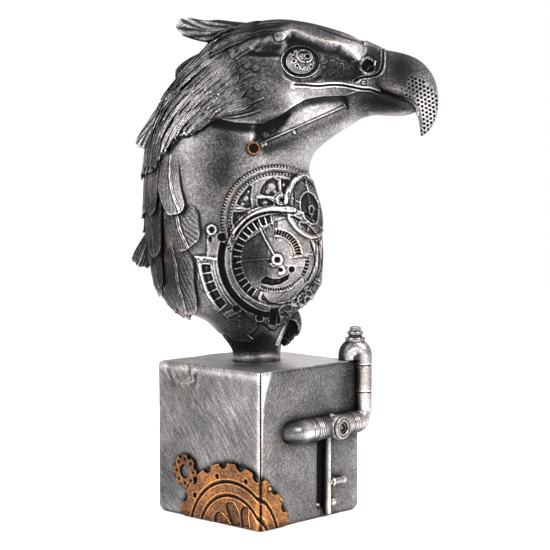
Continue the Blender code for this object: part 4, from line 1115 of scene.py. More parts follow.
@dataclass
class Skin:
    """The bust's carved skin: stem, chest with its clockwork, neck and face.

    The wheel, the dial, the quarter scale and the screw are places in the chest's drawing.
    """

    wheel: Point = (630, 580)
    dial: Point = (635, 903)
    quarter: Point = (622, 868)
    screw: Point = (97, 658)
    row_spacing: float = 0.58
    near_spacing: float = 0.56
    side_spacing: float = 0.85
    far_spacing: float = 1.8
    splits: tuple[float, ...] = (6.4, 9.4, 14.2)
    relief: Relief = field(init=False)
    rows: np.ndarray = field(init=False)
    columns: np.ndarray = field(init=False)

    def __post_init__(self) -> None:
        """Lays the grid, fine on the near side and in front."""
        self.rows = BODY.rows(self.row_spacing)
        spans = ((-10, 104, self.near_spacing), (104, 128, self.side_spacing),
                 (128, 180, self.far_spacing), (180, 350, self.far_spacing))
        self.columns = BODY.columns(spans, 8.0)
        self.relief = Relief.of_form(BODY, self.rows, self.columns)

    def build(self, finish: Material) -> list[Piece]:
        """Carves the skin and makes its four pieces.

        Args:
            finish: The bust's finish.

        Returns:
            The pieces, from the foot upwards.
        """
        self._face(Carver.from_side(self.relief, FACE))
        self._cheek(Carver.from_side(self.relief, HEAD))
        self._jaw(Carver.from_side(self.relief, HEAD))
        chest = Carver.from_side(self.relief, CHEST, 0.85, 0.6, True)
        self._wheel(chest)
        self._main_dial(chest)
        self._scale_plate(chest.near_side())
        self._wreck(chest.near_side())
        self._small_dial()
        self._stem(Carver.from_side(self.relief, STEM))
        self.relief.weather()
        cuts = [0] + [int(np.searchsorted(self.rows, s)) for s in self.splits] + [len(self.rows)]
        names = ("stem_and_belly", "chest", "neck", "head")
        pieces = []
        for name, first, last in zip(names, cuts, cuts[1:]):
            piece = self.relief.piece(name, max(first - 1, 0), last)
            pieces.append(dress(piece, finish))
        return pieces

    def _face(self, c: Carver) -> None:
        """Carves brow, eye socket, the pebbled skin before it and the mouth's corner, with painted
        highlights on the brow and behind the eye.

        Args:
            c: The carver at work.
        """
        brow = [(-60, 330), (60, 180), (130, 100), (330, 40), (600, 70), (900, 140), (1150, 240),
                (1140, 350), (1060, 450), (970, 350), (850, 275), (700, 250), (560, 222), (430, 178),
                (330, 150), (270, 190), (200, 250), (100, 300)]
        c.plate(brow, 1.1, 70)
        socket = [(205, 430), (280, 230), (340, 190), (430, 205), (560, 250), (700, 280), (840, 300),
                  (950, 380), (1050, 440), (1090, 520), (1075, 610), (1010, 648), (700, 655), (400, 650),
                  (275, 590)]
        c.plate(socket, -2.2, 90, soot=0.28)
        c.disc((430, 430), 215, -1.6, 90, soot=0.2, ratio=0.82)
        c.swell([(300, 215), (420, 222), (560, 262), (700, 330), (850, 352), (960, 420)], 70, -0.5,
                soot=0.6)
        c.swell([(180, 440), (205, 520), (290, 610), (400, 655), (560, 650), (640, 600)], 46, -0.4,
                soot=0.5)
        ridge = [(250, 150), (340, 122), (430, 152), (560, 200), (700, 232), (840, 262), (930, 312),
                 (1010, 370), (1060, 420)]
        # Painted highlight bands along the brow ridge and above it.
        c.swell(ridge, 56, 0.35, wear=0.4)
        c.swell([(x + 10, y - 42) for x, y in ridge], 150, 0.25, wear=0.38)
        # Painted highlight where the brow widens over the eye's front.
        c.plate([(880, 268), (960, 262), (1120, 300), (1118, 350), (1062, 436), (1000, 378)], 0.2, 40,
                wear=0.6)
        c.swell([(600, 90), (700, 130), (900, 200), (1120, 262)], 26, -0.25, soot=0.45)
        c.disc((196, 182), 62, 0.35, 16, wear=0.45, ratio=0.75)
        c.halo((196, 182), 34, 12, -0.12, soot=0.3)
        c.bead([(125, 170), (140, 220), (180, 240), (240, 215), (290, 170)], 14, -0.25, soot=0.5)
        c.plate([(-80, 340), (40, 200), (130, 150), (190, 220), (215, 300), (170, 350)], -0.3, 110,
                soot=0.2)
        c.swell([(-150, 350), (0, 366), (150, 366), (300, 400)], 52, -0.9, soot=0.95)
        # Painted highlight along the ridge behind the eye.
        c.swell([(-120, 292), (-20, 236), (90, 214), (165, 230)], 66, 0.35, wear=0.75)
        c.swell([(20, 300), (120, 290), (200, 300)], 46, soot=0.35)
        # A small bead with a painted glint.
        c.disc((-160, 348), 26, 0.5, dome=True, wear=0.9)
        c.plate([(690, 370), (960, 390), (1070, 450), (1090, 560), (1040, 640), (700, 640), (650, 560)],
                pebble=1.0, soot=0.2, soft=50)
        # A small bead in the pebbled skin with a painted glint.
        c.disc((690, 492), 16, 0.5, dome=True, wear=1.0)
        for x, y, radius, soot, ratio in ((500, 20, 260, 0.35, 0.35), (0, 100, 200, 0.35, 0.6),
                                          (850, 100, 200, 0.35, 0.35), (160, 560, 150, 0.3, 1.0)):
            c.shade((x, y), radius, soot=soot, ratio=ratio)
        self.cere(c)
        self.mouth(c, True)

    @staticmethod
    def cere(c: Carver) -> None:
        """Carves the skin round the nostril, its groove, the nostril itself and the small rivet.

        Args:
            c: The carver at work.
        """
        cere = [(1130, 200), (1330, 290), (1325, 500), (1290, 560), (1200, 600), (1090, 610), (1020, 650),
                (1030, 560), (1070, 450), (1100, 350)]
        c.plate(cere, 0.7, 16, soot=0.4)
        groove = [(1325, 285), (1332, 330), (1325, 480), (1285, 560), (1190, 602), (1090, 612), (1020, 652)]
        c.line(groove, 18, -1.1, 8, soot=1.4)
        c.bead([(x - 22, y - 8) for x, y in groove[1:]], 16, 0.45, wear=0.6)
        c.swell([(x + 26, y + 14) for x, y in groove[1:6]], 20, 0.2, wear=0.5)
        c.swell([(1130, 245), (1200, 262), (1290, 305)], 40, 0.3, wear=0.3)
        c.disc((1156, 494), 68, -2.0, 16, soot=1.6)
        c.hoop((1154, 492), 84, 32, 1.0, wear=0.7, start=25, end=325)
        c.disc((1186, 482), 26, 1.0, dome=True, wear=0.7)
        c.bead([(1238, 450), (1242, 500), (1205, 555)], 20, 0.5, wear=0.4)
        c.ring((1110, 668), 30, 10, -0.5, soot=0.7)
        c.disc((1110, 668), 24, 0.7, dome=True, wear=0.4)
        c.disc((1114, 666), 9, -0.4, soot=0.9)
        c.bead([(1232, 440), (1222, 482), (1172, 502), (1140, 538)], 26, 2.0, wear=0.9, soot=-1.2)

    @staticmethod
    def mouth(c: Carver, inner: bool) -> None:
        """Carves the mouth's line with a bright lip over it, and on the inner piece painted highlights round
        its corner.

        Args:
            c: The carver at work.
            inner: Whether the mouth's corner lies on this piece.
        """
        line = [(350, 690), (480, 694), (620, 702), (760, 690), (880, 694), (1000, 716), (1100, 736),
                (1180, 742), (1290, 784), (1430, 836)]
        c.line(line, 17, -1.3, 8, soot=1.3)
        c.bead([(x, y - 21) for x, y in line[1:]], 20, 0.45, wear=0.8)
        c.bead([(x, y + 22) for x, y in line], 16, 0.3, wear=0.4)
        if inner:
            # Painted highlights at the mouth's corner and on the skin below it.
            c.disc((335, 700), 40, 0.4, dome=True, wear=0.6)
            c.shade((340, 815), 60, wear=0.9)
            c.shade((560, 740), 90, wear=0.4, ratio=0.5)

    @staticmethod
    def _sheaf(c: Carver, first: Sequence[Point], last: Sequence[Point], count: int, width: float,
               height: float, rng: np.random.RandomState) -> None:
        """Carves fine hairs that run between two outer ones, each with a dark line below it.

        Args:
            c: The carver at work.
            first: The upper outer hair.
            last: The lower outer hair.
            count: How many there are.
            width: How wide each is.
            height: How far each rises, in millimetres.
            rng: Varies their starts.
        """
        ends = np.array(first, dtype=float), np.array(last, dtype=float)
        for i in range(count):
            share = (i + rng.rand()) / count
            hair = ends[0] + (ends[1] - ends[0]) * share
            start = rng.rand() * 0.35
            hair = catmull(hair, (start + (1 - start) * np.linspace(0, 1, 6)) * (len(hair) - 1))
            hair = hair + np.array([0, 10]) * (rng.rand() - 0.5)
            c.bead([tuple(point) for point in hair], width, height, wear=1.1 * height)
            c.bead([(x + 1, y + width) for x, y in hair], width, -height * 0.8, soot=1.3 * height)

    def _cheek(self, c: Carver) -> None:
        """Carves the fine hairs and small scales between the eye and the slim feathers.

        Args:
            c: The carver at work.
        """
        rng = np.random.RandomState(31)
        c.swell([(560, 240), (620, 216), (690, 214), (760, 225)], 50, 0.8, soot=0.35)
        low = [(600, 300), (540, 330), (460, 400), (380, 450)]
        for first, last, count, width, height in (
            ([(750, 105), (670, 112), (590, 135), (500, 180)],
             [(720, 178), (640, 180), (570, 200), (490, 232)], 12, 7, 0.24),
            ([(610, 205), (540, 240), (470, 290), (400, 340)], low, 14, 8, 0.1),
            (low, [(640, 400), (560, 440), (470, 520), (360, 600)], 16, 8, 0.08),
            ([(660, 470), (590, 500), (510, 535), (425, 556)],
             [(640, 545), (570, 568), (490, 578), (420, 570)], 8, 9, 0.13),
            ([(440, 530), (380, 570), (320, 620), (260, 660)],
             [(420, 590), (360, 625), (310, 650), (290, 662)], 8, 8, 0.3),
        ):
            self._sheaf(c, first, last, count, width, height, rng)
        for x, y, radius in ((575, 318, 20), (616, 334, 18), (624, 428, 18)):
            c.disc((x, y), radius, 0.25, dome=True)
            c.halo((x, y), radius + 3, 9, -0.1, soot=0.35, start=180, end=330)
        for x, y, radius, soot in ((640, 330, 70, 0.25), (560, 420, 70, 0.2), (700, 400, 60, 0.15),
                                   (580, 520, 60, 0.35), (690, 500, 50, 0.2)):
            c.shade((x, y), radius, soot=soot)
        c.shade((720, 480), 40, wear=0.4)
        c.shade((780, 470), 40, wear=0.4)

    def _jaw(self, c: Carver) -> None:
        """Carves the cheek's lower edge, the hollow behind the jaw, the rod with a painted shadow below it,
        and the tones round it, among them painted highlights on the throat.

        Args:
            c: The carver at work.
        """
        edge = [(-200, 900), (60, 830), (140, 790), (240, 668), (310, 655), (415, 580), (520, 602),
                (650, 607), (740, 565), (800, 522), (860, 487), (950, 472), (1060, 468), (1120, 446)]
        sideways = smooth_step(np.abs(self.relief.normals[..., 1]) * 2.2 - 0.5)
        before = self.relief.height.copy()
        c.plate(edge + [(1500, 470), (1500, -300), (-200, -300)], 1.5, 9)
        self.relief.height = before + (self.relief.height - before) * sideways
        c.swell([(420, 602), (520, 624), (650, 632), (740, 592), (800, 548), (870, 512), (960, 496),
                 (1050, 494)], 46, -1.5, soot=0.8)
        c.plate([(625, 600), (680, 578), (740, 562), (778, 566), (760, 610), (716, 650), (656, 688),
                 (612, 690)], -2.6, 46, soot=0.9)
        for x, y, radius in ((700, 625, 22), (668, 655, 18), (735, 598, 16)):
            c.disc((x, y), radius, 0.7, dome=True, wear=0.3)
        c.plate([(800, 545), (870, 508), (960, 494), (1040, 490), (1068, 512), (960, 566), (870, 612),
                 (780, 652), (742, 648), (762, 592)], 0.5, 40, wear=0.7)
        c.swell([(1040, 476), (1062, 500), (1068, 530)], 20, -0.5, soot=0.6)
        c.swell([(640, 704), (1055, 520)], 22, -0.4, soot=0.7, curved=False)
        c.bead([(640, 703), (1053, 519)], 9, 1.1, wear=0.9, curved=False)
        c.line([(799, 637), (808, 652)], 12, 0.9, 5, wear=0.4)
        c.line([(1050, 514), (1056, 526)], 9, 1.0, 4, wear=0.6)
        for x, y in ((648, 712), (664, 705)):
            c.disc((x, y), 10, 0.9, dome=True, wear=0.6)
        # Painted shadow below the rod.
        c.swell([(670, 735), (870, 648), (1060, 566)], 54, -0.5, soot=0.45)
        c.near_side().disc((603, 731), 26, -1.4, 6, soot=1.2)
        c.swell([(430, 610), (470, 680), (480, 760), (452, 850)], 120, soot=0.55)
        # Painted highlights on the throat and neck.
        for x, y, radius, wear in ((600, 655, 62, 0.6), (840, 745, 90, 0.9), (640, 790, 70, 0.7),
                                   (1080, 620, 60, 0.5), (900, 640, 60, 0.5), (820, 470, 50, 0.6)):
            c.shade((x, y), radius, wear=wear)
        for x, y, radius, soot, ratio in ((760, 720, 60, 0.35, 0.5), (1180, 500, 120, 0.35, 0.4),
                                          (780, 610, 30, 0.5, 0.6), (700, 250, 80, 0.4, 0.4)):
            c.shade((x, y), radius, soot=soot, ratio=ratio)

    def _wheel(self, c: Carver) -> None:
        """Carves the toothed wheel behind the dials, its windows and its hub.

        Args:
            c: The carver at work.
        """
        middle, span = self.wheel, {"start": 15, "end": 215}
        c.ring(middle, 226, 452, 1.1, 6, **span)
        c.bars(middle, 436, 458, 20, 214, 60, 12, -1.0, 5, soot=0.6)
        c.hoop(middle, 422, 10, 0.35, wear=0.35, **span)
        c.ring(middle, 398, 9, -0.4, 4, soot=0.4, **span)
        c.bars(middle, 374, 390, 20, 214, 50, 11, -0.6, 5, soot=0.4)
        c.halo(middle, 410, 90, soot=0.25, **span)
        c.hoop(middle, 360, 9, 0.3, wear=0.3, **span)
        windows = (
            [(487, 362), (505, 310), (545, 255), (600, 227), (640, 255), (652, 345), (600, 385), (525, 378)],
            [(662, 236), (725, 245), (735, 275), (715, 330), (690, 368), (664, 350)],
            [(474, 402), (555, 400), (608, 432), (598, 462), (505, 480), (472, 450)],
            [(298, 446), (330, 378), (405, 288), (430, 300), (418, 400), (428, 475), (380, 482)],
            [(272, 512), (375, 508), (402, 520), (335, 610), (285, 650), (268, 600)],
            [(285, 690), (320, 640), (330, 660), (300, 740), (280, 760)],
        )
        for corners in windows:
            c.plate(corners, -1.3, 9, soot=0.12, rim=0.4)
        for x, y, radius in ((590, 310, 40), (560, 345, 22), (620, 350, 20), (535, 440, 26), (380, 400, 22),
                             (350, 450, 16), (330, 560, 24), (400, 345, 12), (690, 290, 16)):
            c.disc((x, y), radius, 0.9, dome=True, wear=0.3)
        c.bead([(652, 250), (668, 340), (665, 415)], 16, 0.8, wear=0.4)
        c.bead([(470, 388), (560, 390), (640, 418)], 15, 0.8, wear=0.4)
        c.bead([(300, 480), (380, 488), (440, 500)], 15, 0.8, wear=0.4)
        c.disc((665, 415), 48, 1.2, 6, wear=0.2)
        c.hoop((665, 415), 40, 9, 0.6, wear=0.5)
        for x, y in ((-9, 0), (9, 0), (0, -9), (0, 9)):
            c.disc((665 + x, 415 + y), 10, -1.0, 4, soot=0.7)

    def _main_dial(self, c: Carver) -> None:
        """Carves the large dial with its bezel, ticks, hands, slotted scale and rack.

        Args:
            c: The carver at work.
        """
        middle = self.dial
        near = c.near_side()
        c.ring(middle, 462, 46, -2.6, 8, soot=1.5, start=163, end=262)
        c.disc(middle, 432, 1.4, 5, soot=-0.1)
        c.disc(middle, 372, -1.3, 5)
        c.ring(middle, 402, 54, 0.9, 6, start=60, end=262, wear=0.15)
        c.hoop(middle, 425, 8, 0.5, wear=0.5, start=60, end=262)
        c.hoop(middle, 380, 8, 0.6, wear=0.6, start=60, end=262)
        c.ring(middle, 334, 64, -0.9, 5, start=96, end=238, soot=1.0)
        c.bars(middle, 296, 366, 98, 236, 17, 13, 1.3, 4, soot=-1.2, wear=0.6)
        near.shade((470, 840), 120, soot=0.4)
        near.shade((500, 1010), 90, soot=0.45)
        band = [(268, 672), (330, 592), (405, 530), (500, 492), (600, 480), (752, 498)]
        near.line(band, 46, 1.6, 5, wear=0.35)
        near.bead([(x + 5, y + 20) for x, y in band], 8, 0.4, wear=0.7)
        near.line([(300, 690), (360, 612), (430, 560), (520, 528), (620, 520), (740, 530)], 14, -1.4, 5,
                  soot=1.3)
        near.line([(744, 500), (737, 420), (737, 330), (760, 262), (815, 212), (880, 205)], 34, 1.5, 5,
                  wear=0.35)
        near.line([(770, 525), (766, 440), (768, 350)], 9, -1.0, 4, soot=1.1)
        near.plate([(640, 560), (770, 560), (850, 640), (905, 720), (905, 860), (835, 862), (812, 780),
                    (740, 690), (640, 650)], 0.7, 6, wear=0.45)
        near.plate([(560, 720), (620, 740), (700, 740), (770, 830), (760, 900), (900, 890), (900, 960),
                    (700, 960), (560, 900)], 0.3, 14, wear=0.3)
        self._hands(c)
        self._slotted_scales(near)

    def _hands(self, c: Carver) -> None:
        """Carves the dial's hands, its hub and its eyelets.

        Args:
            c: The carver at work.
        """
        near = c.near_side()
        near.line([(470, 600), (540, 740), (612, 868)], 13, 1.3, 4, wear=0.9, curved=False)
        near.bead([(505, 585), (520, 640), (545, 700)], 7, 0.7, wear=0.5)
        near.bead([(598, 556), (607, 640), (616, 745)], 9, 0.8, wear=0.6)
        near.bead([(560, 570), (568, 600), (575, 640)], 7, 0.6, wear=0.5)
        near.bead([(535, 575), (548, 610)], 7, 0.6, wear=0.5)
        near.bead([(318, 918), (450, 905), (570, 898)], 7, 0.7, wear=0.6)
        near.bead([(735, 890), (830, 875), (925, 858)], 10, 0.7, wear=0.6)
        near.hoop((285, 920), 27, 10, 1.3, wear=0.6)
        near.disc((285, 920), 16, -0.9, 4, soot=1.3)
        near.line([(575, 940), (600, 925)], 12, 1.0, wear=0.4)
        near.line([(600, 945), (660, 950), (690, 1000), (660, 1015)], 34, 1.1, 5, wear=0.3)
        near.disc((665, 988), 16, -1.4, 4, soot=1.4)
        near.disc((757, 986), 24, -1.2, 5, soot=1.4)
        c.disc(self.dial, 48, 1.7, 6, wear=0.3)
        c.hoop(self.dial, 36, 13, 0.7, wear=0.7)
        c.disc(self.dial, 22, -1.4, 6, soot=1.1)

    def _slotted_scales(self, c: Carver) -> None:
        """Carves the quarter scale, the window below the hub, the toothed rack and the right-hand scale.

        Args:
            c: The carver at work.
        """
        middle = self.dial
        c.ring(self.quarter, 188, 44, -1.2, 4, start=2, end=92, soot=1.6)
        c.bars(self.quarter, 166, 212, 8, 88, 12, 8, 1.2, 3, soot=-1.5, wear=0.7)
        c.hoop(self.quarter, 218, 8, 0.5, start=2, end=92, wear=0.7)
        c.hoop(self.quarter, 158, 8, 0.5, start=2, end=92, wear=0.7)
        c.plate([(498, 1085), (540, 1040), (600, 1062), (660, 1060), (720, 1030), (742, 1022), (725, 1070),
                 (660, 1108), (590, 1120), (520, 1105)], -1.5, 7, soot=1.3, rim=0.6)
        for x, y, radius in ((600, 1085, 24), (650, 1080, 18), (560, 1075, 14)):
            c.disc((x, y), radius, 1.0, dome=True, wear=0.4)
        c.ring((620, 880), 285, 13, 0.9, 4, start=243, end=300, wear=0.5)
        c.bars((620, 880), 262, 284, 246, 297, 13, 11, -1.2, 4, soot=1.2)
        c.ring(middle, 250, 34, -1.0, 5, start=328, end=364, soot=1.2)
        c.bars(middle, 234, 268, 332, 360, 5, 9, 1.0, 4, soot=-1.0, wear=0.4)
        c.ring(middle, 306, 12, -1.4, 5, start=325, end=390, soot=1.3)
        c.hoop(middle, 322, 9, 0.8, start=322, end=392, wear=0.6)
        c.ring(middle, 352, 10, -0.9, 4, start=318, end=385, soot=0.9)
        c.plate([(505, 1165), (640, 1175), (760, 1120), (850, 1050), (865, 1110), (780, 1210), (680, 1265),
                 (570, 1255)], 0.6, 8, wear=0.35)
        c.bead([(640, 1240), (740, 1150), (840, 1060)], 8, 0.5, wear=0.4)
        c.line([(505, 1180), (490, 1230), (540, 1262)], 24, 1.0, 5, wear=0.5)

    def _scale_plate(self, c: Carver) -> None:
        """Carves the screw, its strap and the curved plate with windows left of the dial.

        Args:
            c: The carver at work.
        """
        middle = self.dial
        c.plate([(60, 700), (140, 690), (150, 760), (195, 775), (185, 860), (215, 1040), (300, 1180),
                 (470, 1290), (560, 1330), (540, 1420), (430, 1400), (360, 1320), (220, 1385), (60, 1200),
                 (0, 1020), (-35, 880), (60, 880)], 0.9, 6)
        c.ring(middle, 638, 26, 0.7, 5, start=183, end=222, wear=0.4)
        c.hoop(middle, 662, 6, 0.4, wear=0.5, start=183, end=222)
        c.hoop(middle, 520, 10, 0.5, wear=0.5, start=180, end=232)
        c.ring(middle, 586, 68, -1.2, 6, start=183.5, end=221, soot=0.55)
        c.ring(middle, 606, 20, -0.5, 6, start=183.5, end=221, soot=0.6)
        c.shade((433, 783), 150, soot=0.4)
        c.shade((742, 800), 110, wear=0.25)
        c.bars(middle, 550, 625, 183.5, 221, 6, 12, 1.4, 4, soot=-0.7, wear=0.5)
        c.hoop(middle, 482, 8, 0.5, wear=0.5, start=186, end=236)
        c.line([(-35, 880), (40, 884), (140, 900)], 20, 0.7, 5, wear=0.5)
        for x, y in ((15, 898), (135, 898), (205, 1350)):
            c.disc((x, y), 14, 0.8, dome=True, wear=0.5)
        c.disc(self.screw, 44, 1.6, 6, wear=0.3)
        c.hoop(self.screw, 37, 12, 0.7, wear=0.7)
        c.disc(self.screw, 24, -0.9, 4, wear=0.3)
        for dx, dy in ((0, 0), (-11, 0), (11, 0), (0, -11), (0, 11)):
            c.disc((self.screw[0] + dx, self.screw[1] + dy), 8, -0.9, 3, soot=1.0)
        c.disc((180, 720), 32, -2.0, 7, soot=1.5)
        c.disc((85, 735), 16, -1.0, 5, soot=1.1, ratio=1.4)
        c.plate([(205, 1330), (270, 1300), (300, 1290), (345, 1330), (300, 1345), (350, 1370), (305, 1385),
                 (340, 1410), (290, 1400), (230, 1395)], 0.8, 5, wear=0.2)
        c.disc((300, 1305), 26, -1.2, 5, soot=1.3)
        c.hoop((490, 1378), 34, 13, 1.2, wear=0.6)
        c.disc((490, 1378), 22, -0.6, 5, soot=1.1)

    @staticmethod
    def _wreck(c: Carver) -> None:
        """Carves the broken machinery low in front and the ribbed plates over it.

        Args:
            c: The carver at work.
        """
        c.plate([(570, 1310), (640, 1300), (620, 1450), (575, 1440)], -1.8, 10, soot=1.4)
        c.bead([(560, 1400), (600, 1445), (660, 1420), (650, 1310), (690, 1270)], 12, 1.0, wear=0.6)
        rng = np.random.RandomState(7)
        for _ in range(48):
            t, across = rng.rand(), rng.rand()
            x = 650 + 350 * t + 30 * across
            y = 1330 - 290 * t + 120 * across * (1 - 0.3 * t)
            size = 12 + 22 * rng.rand()
            if rng.rand() < 0.45:
                c.disc((x, y), size, 0.9, 5, dome=True, wear=0.3)
            elif rng.rand() < 0.5:
                c.hoop((x, y), size, 10, 0.8, wear=0.4)
            else:
                turn = rng.rand() * math.pi
                step = np.array([math.cos(turn), math.sin(turn)]) * size
                c.line([(x - step[0], y - step[1]), (x + step[0], y + step[1])], 12, 0.9, 4, wear=0.3)
        c.swell([(660, 1370), (800, 1240), (930, 1110)], 190, -0.6, soot=0.55)
        c.bead([(640, 1262), (740, 1240), (850, 1130), (905, 1060)], 14, 0.6, wear=0.5)
        c.shade((640, 1220), 110, soot=0.35)
        for x in (930, 958, 984):
            c.bead([(x, 745), (x + 8, 860), (x + 2, 960)], 11, 1.0, wear=0.5)
            c.bead([(x + 14, 745), (x + 22, 860), (x + 16, 960)], 9, -0.8, soot=0.9)

    def _small_dial(self) -> None:
        """Carves the small dial at the chest's front edge, on a board that faces it."""
        facing = math.radians(58)
        across = np.array([math.cos(facing), math.sin(facing), 0.0])
        outward = np.array([math.sin(facing), -math.cos(facing), 0.0])
        towards = (self.relief.normals @ outward).reshape(-1) > 0.1
        eye = np.array([46.0, -33.0, BUST_FOOT + 121.5])
        offset = self.relief.points.reshape(-1, 3) - eye
        place = np.stack([offset @ across, -offset[:, 2]], axis=1) * 10.0
        c = Carver(self.relief, place, towards, near_only=True)
        c.disc((0, 0), 245, 1.3, 7)
        c.ring((0, 0), 232, 14, 0.6, 6, wear=0.1)
        c.ring((0, 0), 226, 28, 0.3, 8, wear=0.5, start=95, end=215)
        c.ring((0, 0), 206, 8, -0.6, 4, soot=0.8)
        c.disc((0, 0), 202, -0.5, 5, soot=0.25)
        c.shade((90, 150), 120, soot=0.35)
        c.shade((-150, 60), 70, wear=0.3)
        c.disc((0, 10), 118, -0.9, 6, soot=0.6)
        c.hoop((0, 10), 122, 12, 0.9, wear=0.7)
        for turn in (88, 20, 160, 250, 300):
            a = math.radians(turn)
            c.bead([(122 * math.cos(a), 10 - 122 * math.sin(a)), (195 * math.cos(a), -195 * math.sin(a))],
                   12, 0.9, wear=0.6)
        c.bead([(0, -110), (2, 0)], 11, 0.9, wear=0.6)
        c.hoop((2, 25), 32, 15, 1.5, wear=0.8)
        c.disc((2, 25), 20, -0.4, 4, soot=0.9)
        c.bead([(0, 60), (0, 100), (6, 118)], 20, 1.1, wear=0.5)
        c.bead([(-60, 105), (-95, 120), (-135, 110), (-150, 135), (-140, 155)], 12, 1.0, wear=0.6)

    @staticmethod
    def _stem(c: Carver) -> None:
        """Carves the torn edge of the chest's shell and the stem under it.

        Args:
            c: The carver at work.
        """
        edge = [(-500, 520), (60, 545), (165, 560), (215, 592), (290, 622), (380, 628), (430, 680),
                (480, 715), (560, 725), (640, 720), (700, 738), (765, 700), (685, 640), (760, 590),
                (812, 545), (800, 470), (870, 440), (930, 470), (1010, 545), (1090, 545), (1150, 480),
                (1240, 400), (1500, 300)]
        c.plate(edge + [(1500, 1400), (-500, 1400)], -0.9, 16)
        c.line([(x, y + 12) for x, y in edge[1:-1]], 20, 0.3, wear=0.95, curved=False)
        c.swell([(x, y + 34) for x, y in edge[1:-1]], 30, -0.5, soot=0.6, curved=False)
        c.plate([(200, 640), (430, 700), (700, 760), (900, 600), (1100, 700), (1100, 900), (450, 900)], 0,
                90, soot=0.7)
        c.bead([(1330, 395), (1250, 500), (1170, 640), (1105, 780)], 60, 1.3, wear=0.9)
        c.swell([(430, 955), (560, 968), (700, 962), (860, 950), (1000, 940), (1130, 955)], 44, soft=20,
                wear=1.0)
        rng = np.random.RandomState(3)
        for _ in range(60):
            x, y = 420 + 720 * rng.rand(), 620 + 300 * rng.rand()
            run, turn = 12 + 30 * rng.rand(), math.pi * rng.rand()
            step = (run * math.cos(turn), run * math.sin(turn))
            c.swell([(x - step[0], y - step[1]), (x, y + 8 * rng.rand()), (x + step[0], y + step[1])], 12,
                    0.25 * (rng.rand() - 0.4), wear=0.35 * rng.rand(), soot=0.3 * rng.rand())


@dataclass
class Bill:
    """The hooked beak with its cere and its perforated tip, and the lower jaw."""

    spacing: float = 0.55

    def build(self, finish: Material) -> list[Piece]:
        """Makes both halves."""
        return [self._beak(finish), self._jaw(finish)]

    def _beak(self, finish: Material) -> Piece:
        """Carves the upper half.

        Args:
            finish: The bust's finish.

        Returns:
            The piece.
        """
        relief = Relief.of_form(BEAK, BEAK.rows(self.spacing), BEAK.columns(((0, 360, self.spacing),), 4.0))
        c = Carver.from_side(relief, HEAD)
        f = Carver.from_side(relief, FACE)
        Skin.cere(f)
        Skin.mouth(f, False)
        c.bead([(1240, 455), (1300, 478), (1370, 498), (1400, 530), (1410, 560)], 16, 0.6, wear=0.5)
        c = Carver.from_side(relief, HEAD, sides_only=True)
        rng = np.random.RandomState(11)
        turn = math.radians(24)
        region = np.array([(1345, 385), (1400, 372), (1450, 405), (1512, 465), (1512, 560), (1450, 680),
                           (1410, 660), (1436, 590), (1410, 520), (1385, 490), (1350, 470), (1320, 430)])
        for i in range(-14, 15):
            for k in range(-14, 15):
                x, y = (i + 0.5 * (k % 2)) * 21, k * 18.5
                spot = (1430 + x * math.cos(turn) - y * math.sin(turn),
                        500 + x * math.sin(turn) + y * math.cos(turn))
                if self._inside(spot, region):
                    size = 6.2 if spot[0] > 1395 else 4.6 * rng.rand() + 1.8
                    c.disc(spot, size, -0.9, 3, soot=1.5)
        # Painted highlights on the beak: beside the cere's groove, low by its base and on the tip.
        c.shade((1262, 350), 34, wear=0.6, ratio=1.8)
        c.shade((1300, 445), 40, wear=0.35)
        c.shade((1440, 500), 70, wear=0.5, ratio=1.5)
        c.shade((1340, 310), 60, soot=0.35)
        c.shade((1385, 440), 40, soot=0.3)
        c.shade((1380, 290), 60, wear=0.2)
        relief.weather(0.12, 0.7)
        return dress(relief.piece("beak"), finish)

    @staticmethod
    def _inside(spot: Point, corners: np.ndarray) -> bool:
        """Whether a place lies inside an outline.

        Args:
            spot: The place.
            corners: The outline's corners.

        Returns:
            True inside.
        """
        inside = False
        for a, b in zip(corners, np.roll(corners, -1, axis=0)):
            if (a[1] > spot[1]) != (b[1] > spot[1]):
                inside ^= spot[0] < a[0] + (spot[1] - a[1]) * (b[0] - a[0]) / (b[1] - a[1])
        return bool(inside)

    def _jaw(self, finish: Material) -> Piece:
        """Carves the lower half.

        Args:
            finish: The bust's finish.

        Returns:
            The piece.
        """
        rows = MANDIBLE.rows(0.7)
        relief = Relief.of_form(MANDIBLE, rows, MANDIBLE.columns(((0, 360, 0.8),), 4.0))
        c = Carver.from_side(relief, HEAD)
        # Darker along the top, under the upper beak: painted shade.
        c.swell([(1160, 480), (1250, 505), (1340, 530), (1395, 545)], 40, soot=0.5)
        c.swell([(1180, 556), (1290, 560), (1390, 548)], 26, 0.3, wear=0.4)
        relief.weather()
        return dress(relief.piece("lower_jaw"), finish)


